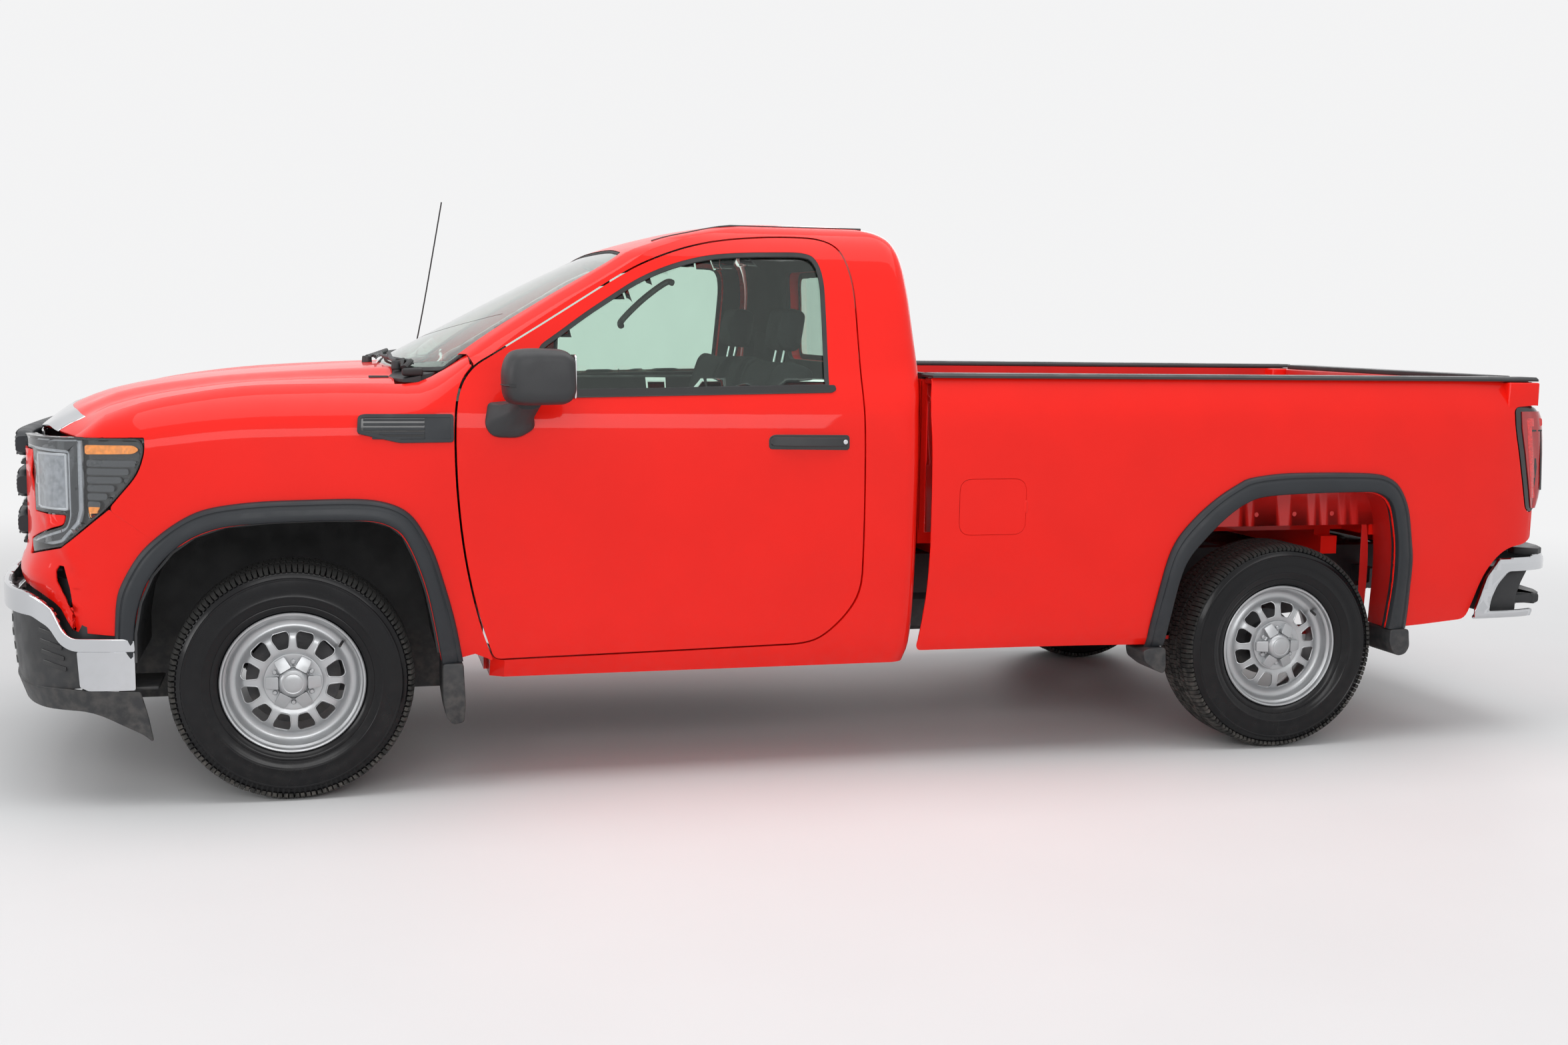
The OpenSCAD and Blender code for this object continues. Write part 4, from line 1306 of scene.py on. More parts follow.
@dataclass
class Panels:
    """The painted sheet metal."""

    cab: CabForm = field(default_factory=CabForm)
    wall: float = 45.0

    def build(self) -> None:
        """Makes every painted panel."""
        self.fenders()
        self.doors()
        self.shell()
        self.bedsides()
        self.hood()
        self.tailgate()

    def fenders(self) -> None:
        """The front fenders, with the tongue along the windshield."""
        loop: list[Point] = [
            (-2571, 1173.5, 0), (-2352 + 1, 1178, 8), (-2350, 1131, 24), (-2371, 1061, 40), (-2463, 952, 20),
            (-2332, 856, 0)
        ]
        loop += [p for p in ARCH_FRONT if -2320 < p[0]]
        loop += [
            (-1284, 437, 6), (-1323, 544, 90), (-1356, 669, 90), (-1385, 828, 90), (-1403, 1017, 90),
            (-1407, 1183, 90), (-1401, 1292, 90), (-1379, 1363, 40), (-1341, 1411, 10)
        ]
        edge = rounded(loop, 10.0)
        top = [(x, 1173.5 + 4.5 * (x + 2571) / 220) for x in spread(-2571, -2353, 8)]
        flat = [fender_flat(*p) for p in [*top, *edge[1:]]]
        for x in spread(-1352, -2560, 40):
            flat.append((x, math.radians(86)))
        flat = [
            p
            for i, p in enumerate(flat) if math.dist(p, flat[i - 1]) > 0.3
            or abs(p[1] - flat[i - 1][1]) > 0.01
        ]
        sheet = Sheet(
            outline=flat, surface=fender_lift, across=spread(-2560, -1300, 42),
            along=[math.radians(a) for a in (0, 12, 24, 36, 48, 60, 70, 78)]
            + [-0.15, -0.35, -0.6, -0.9, -1.25, -1.65, -2.1, -2.6, -3.2, -3.9, -4.7, -5.6, -6.5, -7.4],
            gauge=6.0,
        )
        pair("fender", sheet.build(), PAINT, slot="paint", stands_for=(("fenders",), ()))

    def doors(self) -> None:
        """The doors' outer skins with their window frames."""
        inset = SEAM / 2
        outline = grown(rounded(DOOR_LINE), -inset)
        window = rounded(WINDOW_LINE)
        sheet = Sheet(
            outline=outline, holes=[window], surface=left_side, across=spread(-1390, -20, 62),
            along=[
                450, 470, 495, 525, 560, 600, 640, 690, 750, 820, 900, 980, 1050, 1110, 1160, 1200, 1235,
                1265, 1290, 1315, 1340, 1365, 1400, 1450, 1500, 1550, 1600, 1650, 1700, 1740, 1770, 1800,
                1820, 1835, 1848
            ], gauge=30.0,
        )
        pair(
            "door_skin", sheet.build(), PAINT, ("door_left", "door_right"), "paint",
            (("door_left",), ("door_right",))
        )

    def shell(self) -> None:
        """The cab's pillars, roof, rear wall and sills."""
        outer = self.cab.solid(0.0, 0.0, len(self.cab.rows) - 1)
        inner = self.cab.solid(self.wall, 0.9, len(self.cab.rows) - 4.2, lower=self.wall * 0.7)
        grown_door = grown(rounded(DOOR_LINE), SEAM / 2)
        cutters = []
        for side in (-1, 1):
            low, high = sorted((side * 1100, side * 660))
            cutters.append(prism(grown_door, low, high))
            low, high = sorted((side * 1200, side * 796))
            cutters.append(prism([
                (-1900, 300), (-1290, 300), (-1290, 460), (-1330, 1200), (-1336, 1412), (-1352, 1441),
                (-1900, 1441)
            ], low, high))
        shield = rounded([
            (-806, 1300), (-797, 1440), (-712, 1790, 50), (-400, 1813, 200), (400, 1813, 200),
            (712, 1790, 50), (797, 1440), (806, 1300)
        ], 30)
        cutters.append(prism(shield, -1900, -500, "x"))
        cutters.append(prism(
            rounded([(-700, 1400), (700, 1400), (640, 1770), (-640, 1770)], 70), 60, 400, "x"
        ))
        cutters.append(block((-1900, -1100, 300), (-1320, 1100, 1236)))
        cutters.append(block((-1290, -690, 300), (400, 690, 700)))
        piece(
            "cab_shell_skin", carved(outer, [*cutters, inner]), PAINT, slot="paint",
            stands_for=("cab_shell",), crease=28
        )

    def bedsides(self) -> None:
        """The bed's outer sides."""
        loop: list[Point] = [
            (242, 1376, 4), (224, 1262, 60), (229, 1164, 60), (230, 915, 60), (230, 758, 60), (222, 599, 60),
            (203, 477, 60), (196, 416, 20), (671, 414, 90)
        ]
        loop += list(ARCH_REAR)
        loop += [
            (2185, 448, 40), (2417, 466, 30), (2436, 525, 60), (2473, 636, 60), (2529, 707, 40),
            (2587, 743, 40), (2660, 752, 30), (2697, 775, 10), (2697, 884, 0), (2681, 870, 20),
            (2650, 886, 24), (2635, 949, 60), (2600, 1114, 60), (2582, 1212, 60), (2587, 1281, 12),
            (2697, 1291, 0), (2697, 1376, 4)
        ]
        outline = rounded(loop, 10.0)
        hatch = grown(FUEL_LINE, 2.5)

        def side_sheet(holes: list[list[Point]]) -> bmesh.types.BMesh:
            """One bedside with its openings.

            Args:
                holes: Outlines of the openings.

            Returns:
                The left bedside.
            """
            return Sheet(
                outline=outline, holes=holes, surface=left_side,
                across=spread(230, 2560, 62) + [2600, 2630, 2660, 2685],
                along=[
                    430, 455, 480, 505, 535, 570, 610, 660, 720, 790, 860, 930, 1000, 1060, 1110, 1160, 1205,
                    1240, 1262, 1280, 1300, 1325, 1350
                ], gauge=8.0,
            ).build()

        piece("bedside_left", side_sheet([hatch]), PAINT, slot="paint", stands_for=("bedsides",))
        plain = side_sheet([])
        piece("bedside_right", mirrored(plain), PAINT, slot="paint")
        plain.free()
        hatch_sheet = Sheet(
            outline=FUEL_LINE, surface=left_side, across=spread(340, 570, 46), along=spread(840, 1015, 44),
            gauge=4.0, fold=1.6, raise_by=0.6
        )
        knuckle = moved(
            turned(rounded([(0.01, -22), (13, -22), (13, 22), (0.01, 22)], 4), 24), (0, 0, 0), QUARTER_TURN
        )
        hatch_mesh = joined([hatch_sheet.build()])
        piece("fuel_hatch", hatch_mesh, PAINT, "fuel_door", "paint", ("fuel_door",))
        piece("fuel_hatch_hinge", moved(knuckle, (580, -992, 926.5)), PAINT, "fuel_door", "paint")

    def hood(self) -> None:
        """The hood, with its raised middle."""
        front = [(HOOD_FRONT_X + hood_bow(y) + 8, y) for y in spread(-812, 812, 58)]
        back = [(-1700 + 116 * (abs(y) / 820) ** 2, y) for y in spread(812, -812, 58)]
        sheet = Sheet(
            outline=front + back, surface=lambda x, y: Vector((x, y, hood_height(x, y))),
            across=[-2755, -2740, -2722, -2700, -2675, -2645, -2610, -2570, -2530, -2480, -2430]
            + spread(-2370, -1620, 60), along=spread(-780, 780, 30), gauge=14.0, fold=4.0, side=1,
        )
        piece("hood_skin", sheet.build(), PAINT, "hood", "paint", ("hood",))

    def tailgate(self) -> None:
        """The tailgate, with a pressed panel and a spoiler lip."""
        def face(y: float, z: float) -> Vector:
            """The gate's outer face."""
            frame = ease(abs(y), 610, 650) + ease(z, 1215, 1250) + (1 - ease(z, 880, 915))
            return Vector((2690 - 9.0 * (1 - min(1.0, frame)) + 7.0 * ease(z, 1290, 1350), y, z))

        outline = rounded([(-745, 785), (745, 785), (745, 1368), (-745, 1368)], 14)
        hole = rounded([(-110, 1248), (110, 1248), (110, 1312), (-110, 1312)], 16)
        sheet = Sheet(
            outline=outline, holes=[hole], surface=face,
            across=[-700, -655, -642, -628, -615, -600] + spread(-560, 560, 70)
            + [600, 615, 628, 642, 655, 700],
            along=[
                830, 875, 885, 895, 905, 915, 960, 1010, 1060, 1110, 1160, 1210, 1220, 1230, 1240, 1250, 1290,
                1310, 1330, 1350
            ], gauge=14.0
        )
        piece("gate_skin", sheet.build(), PAINT, "tailgate", "paint", ("tailgate",))
        core = carved(
            block((2622, -744, 776), (2672, 744, 1372), 6), [block((2610, -640, 840), (2632, 640, 1300), 8)]
        )
        piece("gate_inner", core, PAINT_INSIDE, "tailgate", "paint")
        ribs = [block((2621, -600 + i * 100, 850), (2632, -560 + i * 100, 1290), 4) for i in range(13)]
        piece("gate_ribs", joined(ribs), PAINT_INSIDE, "tailgate", "paint")
        lip = prism(
            rounded([(2630, 1371), (2700, 1371), (2733, 1386), (2728, 1392), (2630, 1392)], 5), -742, 742,
            "y", 0
        )
        soften(lip, 2.0)
        piece("gate_spoiler", lip, TEXTURED, "tailgate", "black_plastic")
        bowl = prism(rounded([(-109, 1249), (109, 1249), (109, 1311), (-109, 1311)], 15), 2655, 2672, "x", 2)
        lever = prism(rounded([(-92, 1262), (92, 1262), (92, 1298), (-92, 1298)], 12), 2671, 2688, "x", 4, 3)
        piece("gate_handle", joined([bowl, lever]), TEXTURED, "tailgate", "black_plastic")


FUEL_LINE = rounded([(333, 829, 44), (579, 829, 44), (579, 1024, 44), (333, 1024, 44)], 44, 7)


FLARE_FRONT = (
    (-2462, 440), (-2456, 564), (-2448, 660), (-2431, 718), (-2379, 808), (-2318, 870), (-2237, 927),
    (-2156, 958), (-2023, 976), (-1870, 981), (-1713, 982), (-1629, 971), (-1566, 945), (-1523, 900),
    (-1476, 811), (-1440, 699), (-1407, 575), (-1381, 439)
)
FLARE_REAR = (
    (1078, 400), (1083, 484), (1107, 613), (1135, 728), (1171, 805), (1239, 882), (1321, 950), (1404, 1000),
    (1454, 1021), (1574, 1036), (1706, 1039), (1839, 1038), (1973, 1032), (2037, 1014), (2080, 977),
    (2117, 901), (2137, 788), (2148, 708), (2147, 586), (2150, 440)
)
FLARE_SECTION = (
    (0.0, -24), (0.0, 21), (0.05, 25.5), (0.16, 27), (0.34, 25.5), (0.52, 22.5), (0.66, 19.5), (0.70, 16.5),
    (0.74, 16.5), (0.78, 19), (0.90, 15), (0.98, 9), (1.0, 1), (1.0, -4)
)


@dataclass
class Fittings:
    """Arch mouldings, flaps, vents and liners."""

    stations: int = 90
    flap_low: float = 240.0

    def build(self) -> None:
        """Makes the fittings."""
        self.flare("flare_front", ARCH_FRONT, FLARE_FRONT, ("arch_trims",))
        self.flare("flare_rear", ARCH_REAR, FLARE_REAR, ())
        self.flaps()
        self.vent()
        self.liners()

    def flare(self, name: str, inner: Sequence[Point], outer: Sequence[Point], nodes: Sequence[str]) -> None:
        """One arch moulding, with a line pressed along it.

        Args:
            name: The pieces' name.
            inner: Its edge at the opening.
            outer: Its outer edge.
            nodes: CAD nodes that it stands for.
        """
        near = walked(softened_path(inner), self.stations)
        far = walked(softened_path(outer), self.stations)
        rings = []
        for a, b in zip(near, far):
            ring = []
            for share, lift in FLARE_SECTION:
                spot = a.lerp(b, share)
                ring.append(Vector((spot.x, -body_side(spot.x, spot.y) - lift, spot.y)))
            rings.append(ring)
        pair(name, lofted(rings), FLARE, slot="trim", stands_for=(nodes, ()), crease=50)

    def flaps(self) -> None:
        """The short flaps behind the wheels."""
        shapes = (
            (
                "flap_front",
                [
                    (-1449, 437), (-1382, 437), (-1376, 300), (-1381, self.flap_low),
                    (-1418, self.flap_low - 6), (-1440, 262), (-1450, 330)
                ], (-1018, -830)
            ),
            (
                "flap_rear",
                [(2070, 440), (2149, 440), (2156, 372), (2140, 345), (2110, 338), (2085, 352), (2068, 392)],
                (-1014, -840)
            ),
            (
                "flap_mid",
                [(1080, 402), (1142, 402), (1146, 330), (1138, 304), (1106, 318), (1060, 352), (1052, 392)],
                (-1010, -860)
            ),
        )
        for name, loop, (low, high) in shapes:
            pair(name, prism(rounded(loop, 12), low, high, bevel=4.0, segments=3), TEXTURED, slot="trim")

    def vent(self) -> None:
        """The side vent behind the front wheel."""
        loop = [(-1709, 1190), (-1706, 1243), (-1690, 1249), (-1408, 1249), (-1408, 1162), (-1577, 1160)]
        frame_loop = rounded(loop, 10, 5)
        inner = grown(frame_loop, -9)
        stations = spread(-1690, -1410, 28)
        rows = spread(1165, 1245, 16)
        frame = Sheet(frame_loop, left_side, stations, rows, holes=[inner], gauge=12, fold=3, raise_by=9)
        pair("vent_frame", frame.build(), FLARE, slot="black_plastic")
        floor = Sheet(inner, left_side, stations, rows, gauge=8, fold=0.4, raise_by=2)
        pair("vent_floor", floor.build(), GLOSS_BLACK, slot="black_plastic")
        blank = Sheet(
            rounded([(-1498, 1168), (-1498, 1241), (-1418, 1241), (-1418, 1168)], 4), left_side, stations,
            rows, gauge=8, fold=2, raise_by=7
        )
        pair("vent_blank", blank.build(), FLARE, slot="black_plastic")
        slats = []
        for k in range(5):
            z = 1175 + k * 14.4
            start = -1690 if z > 1190 else -1640 + (1190 - z) * -1.5
            slats.append(
                Sheet(
                    rounded([(start, z - 3.4), (-1500, z - 3.4), (-1500, z + 3.4), (start, z + 3.4)], 2),
                    left_side, spread(-1680, -1500, 30), [], gauge=8, fold=1.5, raise_by=6.5
                ).build()
            )
        pair("vent_slats", joined(slats), FLARE, slot="black_plastic")

    def liners(self) -> None:
        """The painted walls inside the rear arches."""
        low = [
            (-2500, 262), (-2140, 262), (-2110, 610), (-1740, 610), (-1710, 262), (-1392, 262), (-1400, 560),
            (-1440, 720), (-1520, 900), (-1600, 962), (-2130, 962), (-2300, 900), (-2420, 760), (-2500, 560)
        ]
        apron = Sheet(
            rounded(low, 30), lambda x, z: Vector((x, -529, z)), spread(-2460, -1420, 80),
            spread(300, 940, 80), gauge=4, fold=1.5
        )
        pair("front_apron", apron.build(), RUBBER, slot="black_plastic")
        path = walked(softened_path(ARCH_REAR), 60)
        rings = []
        for i, here in enumerate(path):
            along = (path[min(i + 1, len(path) - 1)] - path[max(i - 1, 0)]).normalized()
            out = Vector((-along.y, along.x))
            if out.dot(here - Vector((1612, 478))) < 0:
                out = -out
            ring = []
            for y, push in ((-988, 3), (-900, 16), (-836, 20), (-836, 26), (-900, 22), (-988, 9)):
                ring.append(Vector((here.x + out.x * push, y, here.y + out.y * push)))
            rings.append(ring)
        pair("rear_liner", lofted(rings), PAINT_INSIDE, slot="paint")
        wall = Sheet(
            grown(rounded(ARCH_REAR, 20), -2), lambda x, z: Vector((x, -836, z)), spread(1180, 2050, 60),
            spread(460, 940, 60), gauge=3, fold=1,
            holes=[rounded([
                (1190, 400), (2040, 400), (2040, 850), (1960, 880), (1700, 890), (1400, 850), (1290, 770),
                (1215, 640)
            ], 40)]
        )
        pair("rear_liner_wall", wall.build(), PAINT_INSIDE, slot="paint")
        flange = [tube([(x, -846, 866), (x, -838, 866)], 9, 10) for x in spread(1420, 1900, 160)]
        pair("liner_bolts", joined(flange), PAINT_INSIDE)


@dataclass
class DoorParts:
    """Glass, seals, handles, mirrors and inner trim of the doors."""

    def build(self) -> None:
        """Makes both doors' fittings."""
        doors = ("door_left", "door_right")
        window = rounded(WINDOW_LINE)
        columns = spread(-1120, -140, 70)
        rows = spread(1320, 1800, 60)
        glass = Sheet(grown(window, 1.0), left_side, columns, rows, gauge=4, fold=0.6, raise_by=-13)
        pair(
            "door_glass", glass.build(), WINDOW, doors, "glass", (("door_left_glass",), ("door_right_glass",))
        )
        seal = Sheet(
            grown(window, 0.5), left_side, columns, rows, holes=[grown(window, -15)], gauge=7, fold=3,
            raise_by=-1.5
        )
        pair("door_seal", seal.build(), RUBBER, doors)
        belt = Sheet(
            rounded([(-1108, 1303), (-128, 1324), (-112, 1333), (-116, 1348), (-1108, 1328)], 6), left_side,
            spread(-1080, -140, 60), [], gauge=9, fold=3.5, raise_by=5
        )
        pair("door_belt", belt.build(), GLOSS_BLACK, doors)
        self.handle(doors)
        self.mirror(doors)
        self.inner(doors)

    def handle(self, doors: tuple[str, str]) -> None:
        """The pull handle with its cup and lock.

        Args:
            doors: Bodies of the left and the right door.
        """
        plate = Sheet(
            rounded([(-357, 1134), (-74, 1130), (-74, 1180), (-340, 1182), (-357, 1172)], 12), left_side,
            spread(-340, -90, 36), [1150, 1165], gauge=6, fold=2, raise_by=2.5
        )
        pair("handle_plate", plate.build(), GLOSS_BLACK, doors)

        def bar(x: float, q: float) -> Vector:
            """The bowed bar."""
            bow = 26.0 * math.sin(math.pi * min(1.0, max(0.0, (x + 350) / 270))) ** 0.5
            return Vector((x, -body_side(x, q) - 6 - bow * 0.8, q))

        pull = Sheet(
            rounded([(-352, 1148), (-78, 1145), (-78, 1171), (-352, 1174)], 10), bar, spread(-345, -85, 13),
            [1152, 1158, 1164], gauge=12, fold=4
        )
        pair("handle_bar", pull.build(), TEXTURED, doors)
        lock = moved(
            turned(rounded([(0.01, -2), (8, -2), (8, 2), (0.01, 2)], 1), 24),
            (-92, -body_side(-92, 1158) - 16, 1158)
        )
        pair("handle_lock", lock, SATIN_SILVER, doors)

    def mirror(self, doors: tuple[str, str]) -> None:
        """The mirror head, its arm, foot and glass.

        Args:
            doors: Bodies of the left and the right door.
        """
        head = rounded([
            (-1262, 1300, 40), (-1268, 1400, 40), (-1246, 1458, 40), (-1190, 1469, 40), (-1070, 1466, 24),
            (-1041, 1440, 20), (-1037, 1322, 20), (-1062, 1290, 24), (-1215, 1286, 30)
        ], 30, 6)
        centre = Vector((-1146, 1378))
        rings = []
        for y, size, shift in (
            (-1064, 0.80, 0), (-1070, 0.92, 0), (-1086, 0.985, 0), (-1120, 1.0, 0), (-1160, 0.985, 3),
            (-1188, 0.94, 8), (-1203, 0.86, 14), (-1211, 0.74, 20), (-1214, 0.56, 24)
        ):
            rings.append([
                Vector((centre.x + (p[0] - centre.x) * size + shift, y, centre.y + (p[1] - centre.y) * size))
                for p in head
            ])
        body = lofted(rings)
        pair(
            "mirror_head", body, TEXTURED, doors, "black_plastic",
            (("door_left_mirror",), ("door_right_mirror",)), 40
        )
        band = [
            [Vector((centre.x + (p[0] - centre.x) * size, y, 1352 + (p[1] - 1378) * 0.06)) for p in head]
            for y, size in ((-1088, 1.004), (-1150, 1.008), (-1190, 0.955), (-1206, 0.87))
        ]
        pair("mirror_seam", lofted(band), RUBBER, doors)
        glass = prism(
            rounded([(-1192, 1308), (-1082, 1308), (-1082, 1450), (-1192, 1450)], 18, 6), -1042, -1035.5, "x",
            3, 3
        )
        pair("mirror_glass", glass, MIRROR_GLASS, doors)
        foot = rounded([
            (-1309, 1215, 20), (-1296, 1288, 14), (-1200, 1297, 14), (-1150, 1262, 20), (-1144, 1205, 20),
            (-1196, 1174, 24), (-1284, 1176, 30)
        ], 20, 6)
        middle = Vector((-1222, 1236))
        rings = []
        for out, size, rise, aft in (
            (-2, 1.0, 0, 0), (8, 0.985, 0, 0), (16, 0.92, 2, 4), (30, 0.72, 10, 14), (50, 0.55, 26, 30),
            (72, 0.50, 48, 44), (92, 0.50, 66, 52)
        ):
            ring = []
            for p in foot:
                x = middle.x + (p[0] - middle.x) * size + aft
                z = middle.y + (p[1] - middle.y) * size + rise
                surface = body_side(p[0], p[1]) if out < 20 else body_side(middle.x, middle.y)
                ring.append(Vector((x, -surface - out, z)))
            rings.append(ring)
        pair("mirror_arm", lofted(rings), TEXTURED, doors, crease=40)
        sail = Sheet(
            rounded([
                (-1190, 1310), (-1108, 1314), (-1128, 1405), (-1126, 1466), (-1150, 1450), (-1186, 1380)
            ], 8), left_side, spread(-1180, -1115, 20), spread(1330, 1450, 30), gauge=6, fold=2.5, raise_by=3
        )
        pair("mirror_sail", sail.build(), GLOSS_BLACK, doors)

    def inner(self, doors: tuple[str, str]) -> None:
        """The moulded inner panel, armrest and grab bar.

        Args:
            doors: Bodies of the left and the right door.
        """
        depth = 88.0

        def wall(x: float, z: float) -> Vector:
            """The panel's face."""
            rest = (
                46.0 * ease(z, 1085, 1110) * (1 - ease(z, 1128, 1160)) * ease(x, -1240, -1120)
                * (1 - ease(x, -220, -150))
            )
            pocket = 22.0 * (1 - ease(z, 640, 700)) * ease(x, -1240, -1180) * (1 - ease(x, -420, -340))
            hollow = (
                -16.0 * ease(z, 860, 900) * (1 - ease(z, 1020, 1060)) * ease(x, -1060, -980)
                * (1 - ease(x, -380, -300))
            )
            return Vector((x, -body_side(x, z) + depth + rest + pocket + hollow, z))

        outline = rounded([
            (-1300, 1300), (-1340, 1180), (-1338, 1000), (-1310, 780), (-1270, 560), (-1240, 500),
            (-260, 500), (-180, 540), (-110, 620), (-70, 720), (-64, 1310), (-1090, 1300)
        ], 30)
        panel = Sheet(outline, wall, spread(-1320, -80, 32), spread(520, 1290, 24), gauge=20, fold=6, side=-1)
        pair("door_panel", panel.build(), TRIM_DARK, doors, "interior")
        frame = Sheet(
            grown(rounded(DOOR_LINE), -26), lambda x, z: Vector((x, -body_side(x, z) + 40, z)),
            spread(-1300, -60, 70), spread(1320, 1820, 60), holes=[grown(rounded(WINDOW_LINE), 4)], gauge=8,
            fold=2, side=-1
        )
        pair("door_frame_trim", frame.build(), TRIM_DARK, doors)
        levers = [tube(
            smooth_path([(-900, -868, 1180), (-880, -845, 1182), (-820, -838, 1182), (-780, -850, 1180)], 5),
            8, 10
        )]
        pair("door_pull", joined(levers), SATIN_SILVER, doors)
        speaker = moved(
            turned(rounded([(0.01, -4), (84, -4), (92, 0), (92, 4), (0.01, 4)], 2), 48), (-1120, -900, 660)
        )
        pair("door_speaker", speaker, TEXTURED, doors)


# ---------------------------------------------------------------- front end
def walk_track(path: Sequence[Point]) -> tuple[Track, Track, Track]:
    """Tracks of x and y by distance, and of distance by x, along a path from the centre.

    Args:
        path: Points from the centre plane outwards.

    Returns:
        The three tracks.
    """
    reach, total = [0.0], 0.0
    for a, b in zip(path, path[1:]):
        total += math.dist(a, b)
        reach.append(total)
    xs = Track([(r, p[0]) for r, p in zip(reach, path)])
    ys = Track([(r, p[1]) for r, p in zip(reach, path)])
    back = Track([(p[0], r) for r, p in zip(reach, path)])
    return xs, ys, back


BUMPER_PATH = (
    (-2874, 0), (-2873, -160), (-2866, -330), (-2856, -460), (-2840, -580), (-2820, -670), (-2792, -752),
    (-2762, -812), (-2722, -868), (-2670, -912), (-2610, -946), (-2545, -968), (-2480, -983), (-2400, -992),
    (-2340, -996)
)
NOSE_X, NOSE_Y, NOSE_S = walk_track(NOSE_PATH)
BUMP_X, BUMP_Y, BUMP_S = walk_track(BUMPER_PATH)
BACK_PATH = (
    (2864, 0), (2862, -300), (2858, -480), (2850, -620), (2838, -740), (2816, -850), (2785, -914),
    (2740, -952), (2690, -972), (2630, -986), (2550, -992), (2440, -996)
)
BACK_X, BACK_Y, _ = walk_track(BACK_PATH)


def on_nose(s: float, z: float) -> Vector:
    """The nose's surface, s from the centre and positive on the left.

    Args:
        s: Distance along the nose.
        z: Height.

    Returns:
        The point.
    """
    a = abs(s)
    x, y = NOSE_X(a), NOSE_Y(a)
    if x > -2580:
        y = -body_side(x, z)
    else:
        y += (SIDE_WIDTH(z) - SIDE_WIDTH(900)) * ease(a, 300, 1000)
    return Vector((x, y if s > 0 else -y, z))


def on_bumper(s: float, z: float) -> Vector:
    """The front bumper's surface.

    Args:
        s: Distance along the bumper.
        z: Height.

    Returns:
        The point.
    """
    a = abs(s)
    y = BUMP_Y(a)
    lean = 0.10 * max(0.0, 520.0 - z) * (1 - ease(a, 700, 1150))
    return Vector((BUMP_X(a) + lean, y if s > 0 else -y, z))


def on_back(s: float, z: float) -> Vector:
    """The rear bumper's surface."""
    a = abs(s)
    y = BACK_Y(a)
    return Vector((BACK_X(a), y if s > 0 else -y, z))


def whole(half: Sequence[Point]) -> list[Point]:
    """A loop across the centre plane from its left half, which starts and ends at s = 0."""
    return [*half, *[(-p[0], *p[1:]) for p in reversed(half) if p[0] > 0.01]]


def nose_s(x: float) -> float:
    """Distance along the nose of a station x."""
    return NOSE_S(x)


